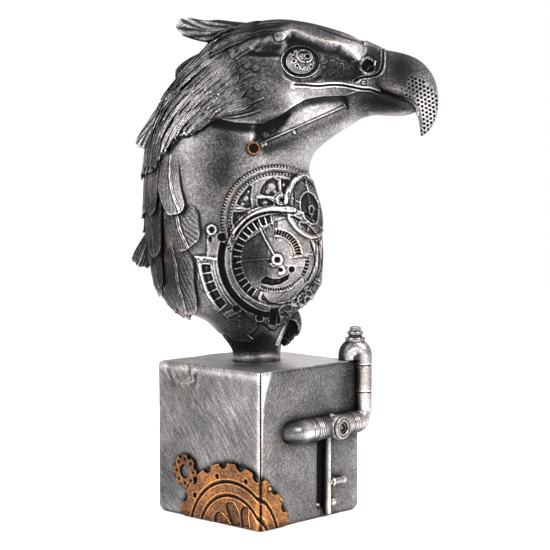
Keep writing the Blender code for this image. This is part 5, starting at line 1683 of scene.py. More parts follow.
@dataclass
class TornFlap:
    """The scroll of torn shell in front of the stem, hollow towards each side."""

    line: tuple[tuple[float, float, float], ...] = ((22, 44, -2), (27.5, 35.5, -3), (29, 27, -3),
                                                    (25.5, 19, -2), (18, 13, -1))
    radii: tuple[float, ...] = (4.0, 5.2, 5.0, 4.2, 3.0)
    spread: float = 1.6
    reach: float = 4.0

    def build(self, finish: Material) -> Piece:
        """Carves the scroll.

        Args:
            finish: The bust's finish.

        Returns:
            The piece.
        """
        way = np.linspace(0, len(self.line) - 1, 110)
        path = catmull(np.array([(x, y, BUST_FOOT + z) for x, z, y in self.line], dtype=float), way)
        radius = np.interp(way, np.arange(len(self.radii)), self.radii)
        relief = Swept(path, radius, 120).relief
        middle = path[:, None, :]
        away = relief.points - middle
        inward = smooth_step(-away[..., 0] / radius[:, None])
        away[..., 0] *= 1 + self.reach * inward
        away[..., 1] *= self.spread
        relief.points[:] = middle + away
        c = Carver.from_side(relief, BELLY)
        occlusion_reach = [(720, 770), (765, 760), (800, 775), (824, 812), (828, 860), (812, 905), (775, 935),
                  (730, 950), (690, 980), (670, 940), (690, 860)]
        c.plate(occlusion_reach, -2.8, 20, soot=1.1, rim=0.4)
        c.bead([(700, 900), (735, 915), (775, 915), (815, 885)], 16, 0.9, wear=1.3)
        c.bead([(690, 940), (730, 930), (770, 945), (800, 955)], 12, 0.7, wear=1.2)
        c.bead([(735, 870), (760, 895), (800, 880)], 12, 0.5, wear=0.8)
        rng = np.random.RandomState(12)
        for _ in range(36):
            x, y = 690 + 140 * rng.rand(), 740 + 240 * rng.rand()
            c.swell([(x, y), (x + 30 * rng.rand(), y + 26 * rng.rand())], 8, 0.6 * (rng.rand() - 0.5),
                    wear=0.5 * rng.rand())
        relief.soot += 0.5
        relief.weather(0.14, 0.7)
        return dress(relief.piece("torn_flap"), finish)


# Plumage


class Ground:
    """The carved skin as feathers find it."""

    def __init__(self, skin: Skin, step: int = 3) -> None:
        """Keeps a coarse copy of the skin to lay blades on.

        Args:
            skin: The skin.
            step: How many of its rows and columns one of the copy stands for.
        """
        relief = skin.relief
        place, angle = np.meshgrid(skin.rows, skin.columns, indexing="ij")
        near = (relief.normals[..., 1] < 0.05) & (angle > 0) & (angle < 180)
        self.places, self.angles = place[near], angle[near]
        self.seen = SIGHT.project(relief.points[near])
        smooth = relief.points + relief.normals * blurred(relief.height, 8, True)[..., None]
        smooth = smooth[::step, ::step]
        quads = grid_quads(*smooth.shape[:2])[1]
        self.tree = BVHTree.FromPolygons(smooth.reshape(-1, 3).tolist(), quads.tolist())

    def find(self, drawing: Drawing, points: Sequence[Point]) -> list[Point]:
        """The places and angles of the body under points of a drawing.

        Args:
            drawing: The drawing the points are in.
            points: Places in it.

        Returns:
            The place along the body and the angle round it, for each.
        """
        found = []
        for x, y in points:
            u, v = drawing.left + x / drawing.scale, drawing.top + y / drawing.scale
            nearest = int(np.argmin((self.seen[:, 0] - u) ** 2 + (self.seen[:, 1] - v) ** 2))
            found.append((float(self.places[nearest]), float(self.angles[nearest])))
        return found

    def drape(self, points: np.ndarray) -> np.ndarray:
        """Each point moved to the skin.

        Args:
            points: Rows of x, y and z.

        Returns:
            The nearest points of the skin.
        """
        flat = points.reshape(-1, 3)
        snapped = [self.tree.find_nearest(point)[0] for point in flat.tolist()]
        return np.array(snapped).reshape(points.shape)


@dataclass(frozen=True)
class Spine:
    """A feather's middle line with the way out of the body at each point."""

    points: np.ndarray
    normals: np.ndarray

    @classmethod
    def on_body(cls, stops: Sequence[Point], count: int = 24) -> "Spine":
        """A line over the body through (place, angle) stops.

        Args:
            stops: The stops.
            count: How many points it gets.

        Returns:
            The line.
        """
        way = catmull(np.array(stops), np.linspace(0, len(stops) - 1, count))
        place, angle = np.clip(way[:, 0], 0, BODY.last), way[:, 1]
        along = BODY.points(np.minimum(place + 0.05, BODY.last), angle)
        along = along - BODY.points(np.maximum(place - 0.05, 0), angle)
        around = BODY.points(place, angle + 1.5) - BODY.points(place, angle - 1.5)
        return cls(BODY.points(place, angle), unit(np.cross(along, around)))

    def at(self, t: np.ndarray) -> tuple[np.ndarray, np.ndarray, np.ndarray]:
        """Points, ways across and ways out at fractions of the length.

        Args:
            t: The fractions.

        Returns:
            Rows of x, y and z for each of the three.
        """
        count = len(self.points)
        along = unit(np.gradient(self.points, axis=0))
        across = unit(np.cross(along, self.normals))
        outward = unit(np.cross(across, along))
        stops = np.linspace(0, 1, count)
        parts = []
        for values in (self.points, across, outward):
            parts.append(np.stack([np.interp(t, stops, values[:, k]) for k in range(3)], axis=-1))
        return parts[0], parts[1], parts[2]


class Bodies:
    """Many small closed bodies gathered for one piece."""

    def __init__(self) -> None:
        """Starts empty."""
        self.points: list[np.ndarray] = []
        self.faces: list[list[int]] = []
        self.layers: dict[str, list[np.ndarray]] = {"soot": [], "wear": [], "pebble": []}
        self.count = 0

    def add(self, rings: np.ndarray, soot: np.ndarray, wear: np.ndarray) -> None:
        """Adds a body of rings, closed at both ends, and turns its faces outwards.

        Args:
            rings: Rows of ring points.
            soot: How dark each is.
            wear: How bright each is.
        """
        index, quads = grid_quads(*rings.shape[:2])
        flat = rings.reshape(-1, 3) - rings.reshape(-1, 3).mean(axis=0)
        a, b, c, d = (flat[quads[:, k]] for k in range(4))
        inward = float(np.sum(np.cross(a, b) * c) + np.sum(np.cross(a, c) * d)) < 0
        faces = quads.tolist() + [index[0].tolist(), index[-1][::-1].tolist()]
        if inward:
            faces = [face[::-1] for face in faces]
        self.faces += [[number + self.count for number in face] for face in faces]
        self.points.append(rings.reshape(-1, 3))
        for key, values in (("soot", soot), ("wear", wear), ("pebble", np.zeros(index.size))):
            self.layers[key].append(values.ravel())
        self.count += index.size

    def piece(self, name: str) -> Piece:
        """One object of all the bodies."""
        layers = {key: np.concatenate(values) for key, values in self.layers.items()}
        return new_object(name, np.concatenate(self.points), self.faces, layers)


@dataclass(frozen=True)
class Blade:
    """A feather's make-up, in millimetres."""

    width: float = 7.0
    skew: float = 0.0
    edge: float = 0.35
    camber: float = 0.6
    lift: float = 1.5
    lines: float = 2.9
    groove: float = 0.34
    quill: float = 0.0
    slant: float = 0.0
    neck: float = 0.5
    peak: float = 0.4
    rise: float = 0.22
    tip: float = 0.45
    pinch: float = 0.5
    fray: float = 0.03
    lip: float = 0.3
    sooty: float = 0.0
    root: float = 0.65
    rows: int = 24
    columns: int = 17

    def lay(self, spine: Spine, ground: Ground, bodies: Bodies, rng: np.random.RandomState) -> None:
        """Lays one feather on the skin.

        Args:
            spine: Where its middle runs.
            ground: The skin under it.
            bodies: Where it is added.
            rng: Varies its lines and its tip.
        """
        t, w, along, half = self._sheet(rng)
        points, across, outward = spine.at(along)
        base = ground.drape(points + across * (w * half * (1 + self.skew * np.sign(w)))[..., None])
        height, soot, wear = self._top(t, w, rng)
        top = base + outward * height[..., None]
        root, _, up = spine.at(t[:, 0] * 0.97)
        below = ground.drape(root) - up * 1.1
        rings = np.concatenate([top, below[:, None, :]], axis=1)
        # The underside, which forms the wall under the feather's edge, gets painted shade.
        underside_shade = np.full((len(t), 1), 1.0)
        bodies.add(rings, np.concatenate([soot, underside_shade], axis=1), np.concatenate([wear, underside_shade * 0], axis=1))

    def _sheet(self, rng: np.random.RandomState) -> tuple[np.ndarray, ...]:
        """Rows and columns over the blade, the length each has run and the half width there.

        Args:
            rng: Varies its tip.

        Returns:
            The four grids.
        """
        steps = np.linspace(-1, 1, self.columns)
        if self.quill:
            steps = 0.55 * steps + 0.45 * steps ** 3
        t, w = np.meshgrid(1 - (1 - np.linspace(0, 1, self.rows)) ** 1.25, steps, indexing="ij")
        notch = np.interp(w, np.linspace(-1, 1, 12), rng.rand(12)) * self.fray
        along = t * (1 - self.tip * np.abs(w) ** 2.2 - notch)
        half = self.width / 2 * (self.neck + (1 - self.neck) * smooth_step(t / self.peak))
        half = half * (1 - (1 - self.pinch) * t ** 2.6)
        return t, w, along, half

    def _top(self, t: np.ndarray, w: np.ndarray, rng: np.random.RandomState
             ) -> tuple[np.ndarray, np.ndarray, np.ndarray]:
        """Height over the skin, soot and wear of the upper face.

        Args:
            t: Fractions of the length.
            w: Fractions of the half width.
            rng: Varies its lines.

        Returns:
            The three grids.
        """
        sway = 0.25 * np.sin(5 * t + 6 * rng.rand()) + 0.1 * np.sin(13 * t + 6 * rng.rand())
        across = np.abs(w) if self.slant else w
        phase = across * self.lines * (1 - 0.25 * t) - t * self.slant + 0.5 + 0.3 * sway + rng.rand() * 0.4
        ridge = np.abs(np.sin(np.pi * phase)) ** 0.7
        grown = smooth_step(t / self.rise)
        height = self.edge * grown - 0.5 * (1 - smooth_step(t / (self.rise * 0.6)))
        height = height + self.camber * (1 - w ** 2) * (0.2 + 0.8 * grown) + self.lift * t ** 2.2
        height = height + self.groove * ridge - 0.35 * smooth_step((np.abs(w) - 0.86) / 0.14)
        rim = smooth_step((np.abs(w) - 0.72) / 0.2) * (1 - smooth_step((np.abs(w) - 0.93) / 0.07))
        end = smooth_step((t - 0.9) / 0.08)
        height = height + self.lip * np.maximum(end, rim * 0.5)
        fine = min(self.groove / 0.3, 1.0)
        # Darker at the root, patina and painted shade where the feather above overlaps, and along the
        # outline, painted shadow at the feather's edge.
        soot = self.sooty + 0.95 * fine * (1 - ridge) ** 1.5 + self.root * (1 - smooth_step(t / 0.4))
        outline = smooth_step((np.abs(w) - 0.94) / 0.06) * smooth_step(t / 0.5)
        soot = soot + 0.8 * outline + 0.5 * rng.rand() - 0.2
        wear = fine * (0.8 * ridge ** 3 - 0.1) + 0.4 * rim * grown + 0.7 * end * (np.abs(w) < 0.97)
        if self.quill:
            beads = sum(np.exp(-((w - place) / 0.035) ** 2) for place in (-0.06, 0.06))
            height = height + self.quill * beads
            lines = np.exp(-(w / 0.022) ** 2) + sum(np.exp(-((w - p) / 0.035) ** 2) for p in (-0.13, 0.13))
            soot, wear = soot + 0.9 * lines - 0.4 * beads, wear + 0.9 * beads
        return height, soot, wear

    def stand(self, spine: Spine, depth: float, bodies: Bodies, rng: np.random.RandomState) -> None:
        """Makes a feather that stands free, carved on both faces.

        Args:
            spine: Its middle line, with the way its broad face looks.
            depth: How thick it is.
            bodies: Where it is added.
            rng: Varies its lines and its tip.
        """
        t, w, along, half = self._sheet(rng)
        points, across, outward = spine.at(along)
        middle = points + across * (w * half)[..., None]
        height, soot, wear = self._top(t, w, rng)
        soot = soot + 0.9 * smooth_step((np.abs(w) - 0.78) / 0.16)
        height = height - self.lift * t ** 2.2 - self.edge
        lens = depth / 2 * (0.35 + 0.65 * (1 - w ** 2)) * (1 - 0.75 * t ** 3)
        front = middle + outward * (lens + height)[..., None]
        back = middle - outward * (lens + height * 0.6)[..., None]
        rings = np.concatenate([front, back[:, ::-1]], axis=1)
        bodies.add(rings, np.concatenate([soot, soot[:, ::-1]], axis=1),
                   np.concatenate([wear, wear[:, ::-1]], axis=1))


@dataclass(frozen=True)
class Row:
    """Feathers between a line of roots and a line of tips."""

    roots: Sequence[Point]
    tips: Sequence[Point]
    count: int
    blade: Blade

    def lay(self, ground: Ground, bodies: Bodies, rng: np.random.RandomState) -> None:
        """Lays the row on both sides of the body, each a little different.

        Args:
            ground: The skin under it.
            bodies: Where the feathers are added.
            rng: Varies them.
        """
        roots, tips = np.array(self.roots), np.array(self.tips)
        for side in (1, -1):
            for i in range(self.count):
                share = min(max((i + 0.5 + 0.5 * (rng.rand() - 0.5)) / self.count, 0), 1)
                root = catmull(roots, np.array(share * (len(roots) - 1)))
                tip = catmull(tips, np.array(share * (len(tips) - 1)))
                root = root + np.array([0.25, 2.0]) * (rng.rand(2) - 0.5)
                tip = root + (tip - root) * (0.9 + 0.2 * rng.rand())
                bow = (root + tip) / 2 + np.array([0.0, 3.0 * (rng.rand() - 0.5)])
                stops = [(a, side * b) for a, b in (root, bow, tip)]
                size = self.blade.width * (0.8 + 0.4 * rng.rand())
                replace(self.blade, width=size).lay(Spine.on_body(stops), ground, bodies, rng)


@dataclass
class Plumage:
    """All feathers: slim ones on head and nape, broad ones on the back and four that stand free."""

    ground: Ground
    slim: Blade = Blade()
    broad: Blade = Blade(width=26, edge=1.0, camber=1.0, lift=2.4, lines=6.0, groove=0.15, quill=0.4,
                         slant=5.0, neck=0.75, rise=0.6, tip=0.15, pinch=0.74, fray=0.05, lip=0.6,
                         root=0.1, rows=44, columns=35)

    def build(self, finish: Material) -> list[Piece]:
        """Makes the three pieces."""
        made = (self._slim(), self._broad(), self._free())
        return [dress(piece, finish) for piece in made]

    def _slim(self) -> Piece:
        """The slim feathers of cheek, crown and nape, lowest row first.

        Returns:
            The piece.
        """
        bodies, rng = Bodies(), np.random.RandomState(21)
        rows = (
            ([(330, 300), (390, 400), (440, 470), (520, 500), (600, 490)],
             [(110, 690), (140, 790), (240, 680), (330, 650), (415, 575)], 12, 8.5),
            ([(420, 230), (450, 300), (480, 350), (530, 400), (580, 440)],
             [(120, 620), (190, 600), (290, 560), (370, 540), (430, 560)], 12, 8.0),
            ([(470, 180), (490, 230), (500, 270), (520, 320), (540, 360)],
             [(230, 420), (270, 440), (320, 460), (380, 470), (440, 480)], 11, 7.5),
            ([(640, 104), (640, 130), (630, 160), (590, 200)],
             [(400, 190), (400, 230), (400, 270), (400, 300)], 8, 6.0),
        )
        for roots, tips, count, width in rows:
            roots, tips = self.ground.find(HEAD, roots), self.ground.find(HEAD, tips)
            Row(roots, tips, count, replace(self.slim, width=width)).lay(self.ground, bodies, rng)
        back = (((15.6, 160), (15.6, 180)), ((14.6, 158), (14.6, 180)), ((13.6, 158), (13.6, 180)),
                ((12.6, 160), (12.6, 180)))
        for roots in back:
            tips = [(place - 3.4, angle) for place, angle in roots]
            Row(roots, tips, 3, replace(self.slim, width=8.5, lift=2.4)).lay(self.ground, bodies, rng)
        return bodies.piece("slim_feathers")

    def _broad(self) -> Piece:
        """The broad feathers down the back, lowest row first.

        Returns:
            The piece.
        """
        bodies, rng = Bodies(), np.random.RandomState(5)
        ground = self.ground
        drawn = (
            (((165, 150), (172, 380), (165, 545)), 7, 0.0, 0.5),
            (((250, 620), (270, 830), (325, 1015)), 18, 0.0, 0.35),
            (((360, 600), (400, 775), (440, 930), (485, 1060), (525, 1165)), 28, -0.2, 0.35),
            (((225, 300), (245, 520), (236, 680)), 17, 0.0, 0.55),
            (((400, 320), (450, 520), (525, 672)), 31, -0.25, 0.1),
            (((250, -90), (230, 180), (205, 380)), 15, 0.0, 0.3),
            (((365, -90), (390, 180), (468, 388)), 25, 0.35, 0.0),
        )
        for first, last in ((3.9, 6.4), (4.9, 7.4), (6.2, 8.9), (7.7, 10.4), (9.3, 11.8)):
            roots, tips = [(last, 152), (last, 180)], [(first, 150), (first, 180)]
            blade = replace(self.broad, width=22, sooty=0.3, rows=28, columns=23)
            Row(roots, tips, 3, blade).lay(ground, bodies, rng)
            middle = Spine.on_body([(last, 180), ((first + last) / 2, 180), (first - 0.2, 180)])
            replace(blade, width=20).lay(middle, ground, bodies, rng)
        for line, width, skew, sooty in drawn:
            stops = ground.find(WING, line)
            blade = replace(self.broad, width=width, sooty=sooty)
            for side in (1, -1):
                spine = Spine.on_body([(place, side * angle) for place, angle in stops], 40)
                replace(blade, skew=skew * side).lay(spine, ground, bodies, rng)
        return bodies.piece("back_feathers")

    def _free(self) -> Piece:
        """The two crest feathers, the nape feather and the flared one, which stand off the body.

        Returns:
            The piece.
        """
        bodies, rng = Bodies(), np.random.RandomState(9)
        leaf = {"lines": 2.4, "slant": 1.6, "sooty": 0.15, "neck": 0.45, "peak": 0.55, "tip": 0.2,
                "pinch": 0.85, "fray": 0.07}
        brush = {"lines": 5.0, "slant": 0.6, "sooty": 0.75, "neck": 0.3, "peak": 0.9, "tip": 0.12,
                 "pinch": 0.9, "fray": 0.14, "lip": 0.6}
        free = (
            (((-6, 261, -4), (-25, 259, -6), (-40, 257.8, -7), (-54, 260.6, -8), (-63.5, 264, -9)), 18, 5.0,
             (0, -1, 0.15), leaf),
            (((-30, 246, 3), (-43, 239.5, 4), (-54, 233.5, 5), (-61.5, 227.5, 5), (-63.5, 219, 5)), 8.5, 4.0,
             (-0.3, -1, 0.3), {**leaf, "sooty": 0.8}),
            (((-58, 216, -6), (-71, 200, -8), (-82, 184, -9), (-90, 173, -9), (-94, 167.5, -9)), 14, 5.0,
             (-0.5, -1, 0.2), leaf),
            (((-78, 120, -3), (-83, 103, -4), (-87.5, 90, -5), (-91.5, 80, -6), (-94, 74.5, -6)), 19, 5.0,
             (-0.5, -1, 0), brush),
        )
        for line, width, depth, facing, details in free:
            stops = np.array([(x, y, BUST_FOOT + z) for x, z, y in line])
            way = catmull(stops, np.linspace(0, len(stops) - 1, 40))
            spine = Spine(way, np.tile(unit(np.array(facing, dtype=float)), (len(way), 1)))
            blade = replace(self.slim, width=width, groove=0.3, quill=0.4, rows=48, columns=35, **details)
            blade.stand(spine, depth, bodies, rng)
        return bodies.piece("free_feathers")


# Turned and swept pieces


@contextmanager
def editing(thing: Piece) -> Iterator[None]:
    """Edit mode on one object with everything selected, and back again.

    Args:
        thing: The object.

    Yields:
        Nothing, while it is open.
    """
    bpy.ops.object.select_all(action="DESELECT")
    thing.select_set(True)
    bpy.context.view_layer.objects.active = thing
    bpy.ops.object.mode_set(mode="EDIT")
    bpy.ops.mesh.select_all(action="SELECT")
    yield
    bpy.ops.object.mode_set(mode="OBJECT")


def axes(origin: np.ndarray, axis: np.ndarray, first: np.ndarray) -> Matrix:
    """A placing, in metres, with Z on an axis and X as near as can be to a first way.

    Args:
        origin: Where it starts, in millimetres.
        axis: The way of its Z.
        first: The way its X should look.

    Returns:
        The placing.
    """
    z = unit(np.asarray(axis, dtype=float))
    y = unit(np.cross(z, first))
    x = np.cross(y, z)
    rows = [[x[k], y[k], z[k], origin[k] * MM] for k in range(3)]
    return Matrix(rows + [[0, 0, 0, 1]])


def rub(thing: Piece, sooty: float = 0.0, reach: float = 0.5) -> None:
    """Rubs a modelled piece's outer corners and soots its inner ones.

    Args:
        thing: The piece.
        sooty: Patina all over it.
        reach: How strongly a corner counts.
    """
    mesh = thing.data
    count = len(mesh.vertices)
    points = np.empty(count * 3)
    mesh.vertices.foreach_get("co", points)
    points = points.reshape(-1, 3) / MM
    normals = np.array([tuple(item.vector) for item in mesh.vertex_normals])
    ends = np.array([tuple(edge.vertices) for edge in mesh.edges])
    total, number = np.zeros(count), np.zeros(count)
    for a, b in ((ends[:, 0], ends[:, 1]), (ends[:, 1], ends[:, 0])):
        span = points[b] - points[a]
        rise = np.einsum("ij,ij->i", span, normals[a]) / np.maximum(np.linalg.norm(span, axis=1), 1e-6)
        np.add.at(total, a, rise)
        np.add.at(number, a, 1)
    corner = total / np.maximum(number, 1)
    keep_layers(mesh, {"soot": np.clip(corner * 2, 0, 1) * reach + sooty,
                       "wear": np.clip(-corner * 2, 0, 1) * reach, "pebble": corner * 0})


@dataclass(frozen=True)
class Turned:
    """A body turned on its axis."""

    profile: tuple[Point, ...]
    sides: int = 40
    oval: float = 1.0

    def model(self, name: str, origin: np.ndarray, axis: np.ndarray, first: np.ndarray = (0, 0, 1),
              sooty: float = 0.0) -> Piece:
        """Models the body by extruding and scaling a disc.

        Args:
            name: The piece's name.
            origin: Where its axis starts, in millimetres.
            axis: The way its axis points.
            first: The way its first corner points.
            sooty: Patina all over it.

        Returns:
            The object, with its place worked into the mesh.
        """
        radius, height = self.profile[0]
        bpy.ops.mesh.primitive_circle_add(vertices=self.sides, radius=radius * MM, fill_type="NGON")
        thing = bpy.context.active_object
        thing.name = name
        with editing(thing):
            bpy.ops.transform.translate(value=(0, 0, height * MM))
            for wider, higher in self.profile[1:]:
                bpy.ops.mesh.extrude_region_move(
                    TRANSFORM_OT_translate={"value": (0, 0, (higher - height) * MM)})
                size = wider / radius
                bpy.ops.transform.resize(value=(size, size, 1), center_override=(0, 0, higher * MM))
                radius, height = wider, higher
            bpy.ops.mesh.select_all(action="SELECT")
            bpy.ops.mesh.normals_make_consistent(inside=False)
        thing.data.transform(Matrix.Diagonal((1.0, self.oval, 1.0, 1.0)))
        thing.data.transform(axes(np.asarray(origin, dtype=float), axis, np.asarray(first, dtype=float)))
        rub(thing, sooty)
        bpy.ops.object.shade_smooth_by_angle(angle=math.radians(38))
        return thing


@dataclass
class Swept:
    """A pipe along a path, with its surface laid out as length and girth for carving."""

    path: np.ndarray
    radius: np.ndarray
    columns: int = 60
    relief: Relief = field(init=False)
    length: np.ndarray = field(init=False)

    def __post_init__(self) -> None:
        """Lays the rings, each square to the path."""
        along = unit(np.gradient(self.path, axis=0))
        side = unit(np.cross(along[0], (0.31, 0.27, 0.9)))
        turn = np.linspace(0, math.tau, self.columns, endpoint=False)
        points, normals = [], []
        for centre, way, radius in zip(self.path, along, self.radius):
            side = unit(side - way * (side @ way))
            other = np.cross(way, side)
            out = np.cos(turn)[:, None] * side + np.sin(turn)[:, None] * other
            points.append(centre + out * radius)
            normals.append(out)
        self.relief = Relief(np.array(points), np.array(normals), True)
        self.length = run_along(self.path)

    def band(self, place: float, width: float, height: float, soft: float = 0.5) -> None:
        """Raises or sinks a band round the pipe at a length along it."""
        mask = smooth_step((width / 2 - np.abs(self.length - place)) / soft + 0.5)
        self.relief.height += mask[:, None] * height

    def tone(self, place: float, width: float, soot: float = 0.0, wear: float = 0.0) -> None:
        """Soots or rubs softly round a length along the pipe.

        Args:
            place: The length.
            width: How far it spreads.
            soot: Patina added there, and painted shade where it stands for shade.
            wear: Rubbing added there, and painted highlight where it stands for light.
        """
        mask = np.exp(-((self.length - place) / width) ** 2)[:, None]
        self.relief.soot += mask * soot
        self.relief.wear += mask * wear


def arc(start: np.ndarray, corner: np.ndarray, end: np.ndarray, count: int) -> np.ndarray:
    """A quarter turn from start to end round a square corner, without its last point.

    Args:
        start: Where it starts.
        corner: The square corner.
        end: Where it ends.
        count: How many points it gets.

    Returns:
        The points.
    """
    turn = np.linspace(0, math.pi / 2, count, endpoint=False)[:, None]
    centre = start + end - corner
    return centre + (start - centre) * np.cos(turn) + (end - centre) * np.sin(turn)


# Plinth


@dataclass
class Plinth:
    """The cast cube with its worn edges, its dents and the drain's channel."""

    edge: float = 2.2
    corner: float = 8.5
    shoulder: float = 5.5
    cuts: int = 80
    channel: tuple[float, float, float, float] = (63.7, 71.6, 8.0, 66.0)

    def build(self, finish: Material) -> Piece:
        """Models the cube, rounds it, and works its faces.

        Args:
            finish: The plinth's finish.

        Returns:
            The piece.
        """
        bpy.ops.mesh.primitive_cube_add(size=2.0)
        block = bpy.context.active_object
        block.name = "plinth_block"
        with editing(block):
            bpy.ops.mesh.subdivide(number_cuts=self.cuts)
        raw = np.empty(len(block.data.vertices) * 3)
        block.data.vertices.foreach_get("co", raw)
        points, normals = self._rounded(raw.reshape(-1, 3))
        relief = Relief(points[:, None], normals[:, None], False)
        self._faces(relief)
        block.data.vertices.foreach_set("co", (relief.surface() * MM).ravel())
        keep_layers(block.data, relief.layers())
        block.data.shade_smooth()
        block.data.update()
        return dress(block, finish)

    def _rounded(self, raw: np.ndarray) -> tuple[np.ndarray, np.ndarray]:
        """The cube's points on a block with rounded edges, turned with one edge to the front.

        Args:
            raw: The cube's points, between -1 and 1.

        Returns:
            The points and the ways out.
        """
        size = np.array([PLINTH_SIDE, PLINTH_SIDE, PLINTH_HEIGHT]) / 2
        spread = raw * (1 + 0.3 * (1 - raw ** 2))
        block = spread * size
        inner = np.clip(block, -(size - self.edge), size - self.edge)
        way = unit(block - inner + np.sign(raw) * (np.abs(raw) > 0.999) * 1e-4)
        points = inner + way * self.edge
        turn = math.sqrt(0.5)
        spin = np.array([[turn, -turn, 0], [turn, turn, 0], [0, 0, 1]])
        points, way = points @ spin.T, way @ spin.T
        points[:, 2] += PLINTH_HEIGHT / 2
        for radius, level, up in ((self.corner, 0.0, 1), (self.shoulder, PLINTH_HEIGHT, -1)):
            inward = radius - (HALF_DIAGONAL - np.abs(points[:, 0]))
            down = radius - (points[:, 2] - level) * up
            far = np.hypot(inward, down)
            cut = (inward > 0) & (down > 0) & (far > radius)
            share = np.where(cut, radius / np.maximum(far, 1e-6), 1.0)
            moved = np.sign(points[:, 0]) * (HALF_DIAGONAL - radius + inward * share)
            points[:, 0] = np.where(cut, moved, points[:, 0])
            points[:, 2] = np.where(cut, level + up * (radius - down * share), points[:, 2])
        return points, way

    def _faces(self, relief: Relief) -> None:
        """Works the two faces that meet at the near edge, then every edge, then paints light and a dark
        reflection of the bust on the top.

        Args:
            relief: The block's surface.
        """
        points, normals = relief.points[:, 0], relief.normals[:, 0]
        rng = np.random.RandomState(4)
        for right in (True, False):
            along_way = np.array([1, 1, 0] if right else [-1, 1, 0]) / math.sqrt(2)
            out_way = np.array([1, -1, 0] if right else [-1, -1, 0]) / math.sqrt(2)
            along = (points - np.array([0, -HALF_DIAGONAL, 0])) @ along_way
            on_face = (normals @ out_way) > 0.7
            c = Carver(relief, np.stack([along, points[:, 2]], axis=1), on_face, near_only=True)
            if right:
                self._right(c)
            else:
                self._left(c)
        flat = np.maximum(np.abs(normals @ np.array([1, 1, 0])) / math.sqrt(2),
                          np.abs(normals @ np.array([1, -1, 0])) / math.sqrt(2))
        flat = np.maximum(flat, np.abs(normals[:, 2]))
        relief.wear[:, 0] += smooth_step((0.995 - flat) / 0.1) * 0.3
        # Painted light on the top, stronger towards +x, with a little painted shade away from it.
        top = smooth_step((normals[:, 2] - 0.9) / 0.1)
        top_light_share = smooth_step((points[:, 0] + points[:, 1] * 0.3 + 12) / 40)
        relief.wear[:, 0] += top * (0.35 + 0.5 * top_light_share)
        # A painted dark reflection of the bust on the top in front of the stem.
        painted_reflection = np.exp(-((points[:, 0] + 6) ** 2 + (points[:, 1] + 34) ** 2) / 15 ** 2)
        relief.soot[:, 0] += top * (0.12 * (1 - top_light_share) + 0.7 * painted_reflection)
        seam = (np.abs(points[:, 0]) < 0.45) & (points[:, 1] < 0) & (np.abs(normals[:, 2]) < 0.5)
        relief.height[seam, 0] -= 0.35
        relief.soot[seam, 0] += 1.1
        relief.wear[seam, 0] = -0.2
        depth = np.zeros(len(points))
        for _ in range(26):
            way = unit(rng.randn(3))
            depth += np.sin(points @ way * rng.uniform(0.05, 0.28) + rng.rand() * 6) * 0.035
        relief.height[:, 0] += depth * (relief.height[:, 0] > -1)

    @staticmethod
    def _left(c: Carver) -> None:
        """Dents near the top, the rubbed border, a painted highlight along the near edge and the dark rings
        round the gears, on the left face.

        Args:
            c: The carver at work.
        """
        for points, width, depth in (([(101, 116), (100, 110), (96, 105)], 9.0, -1.5),
                                     ([(78, 116.5), (77, 112), (74, 108)], 6.0, -1.8),
                                     ([(71, 112), (71, 106)], 5.0, -1.3),
                                     ([(92, 108), (88, 105)], 5.0, -0.5),
                                     ([(69, 99), (70, 93)], 5.0, -0.5)):
            c.swell(points, width, depth, soot=0.35)
            c.swell([(x + width * 0.42, z + 0.8) for x, z in points], 2.2, 0.5, wear=0.5)
            c.swell([(x - width * 0.42, z - 0.8) for x, z in points], 2.0, 0.4, wear=0.4)
        c.bead([(70, 117), (75, 112), (73, 108), (78, 104)], 2.0, 0.7, wear=0.8)
        c.swell([(102, 116), (94, 107), (86, 104), (76, 108), (68, 104)], 3.0, 0.35, wear=0.35)
        c.swell([(66, 112), (68, 100), (73, 88)], 3.4, 0.4, wear=0.4)
        # A painted highlight along the near edge.
        c.swell([(1.6, 10), (1.8, 80), (2.4, 122)], 4.4, wear=0.9)
        c.swell([(0, 116), (30, 116), (113, 116)], 5.0, 0.15, wear=0.65)
        c.swell([(0, 3), (113, 3)], 4.0, wear=0.3)
        # Dark rings round both gears: patina in the tooth gaps and painted shadow under the gears' edges.
        c.halo((28.5, -10.5), 58.0, 4.4, soot=1.0)
        c.halo((80.2, 35.8), 12.5, 3.5, soot=0.7)
        for x, z, radius, soot in ((60, 84, 22, 0.22), (96, 40, 20, 0.28), (30, 90, 20, -0.1),
                                   (104, 20, 14, 0.25)):
            c.shade((x, z), radius, soot=soot)
        rng = np.random.RandomState(8)
        for _ in range(26):
            x, z = 20 + 55 * rng.rand(), 55 + 45 * rng.rand()
            c.swell([(x, z), (x + 6 + 5 * rng.rand(), z + 8 + 6 * rng.rand())], 1.3, -0.08, wear=0.28)

    def _right(self, c: Carver) -> None:
        """The drain's channel, the painted highlight strip beside the near edge, and the painted shade on
        this face and round the pipes.

        Args:
            c: The carver at work.
        """
        start, end, foot, top = self.channel
        # The channel is painted black, which also stands for the drain's shadow.
        c.plate([(start, foot), (end, foot), (end, top), (start, top)], -2.4, 1.6, soot=1.2)
        c.plate([(start - 1.6, foot + 4.2), (start + 3.6, foot + 3.4), (start + 3.8, foot + 0.6),
                 (start + 0.4, foot + 1.2)], 2.6, 0.8, soot=-1.2, wear=1.6)
        # A painted highlight strip beside the near edge, widest at the top.
        c.plate([(0.4, 124), (14.0, 124), (11.0, 116), (6.0, 104), (3.2, 92), (1.4, 60), (0.8, 0),
                 (0.4, 0)], 0.0, 2.4, wear=1.25)
        # A dark ring round the large gear: patina in the tooth gaps and painted shadow under its edge.
        c.halo((-28.5, -10.5), 58.0, 4.4, soot=1.0)
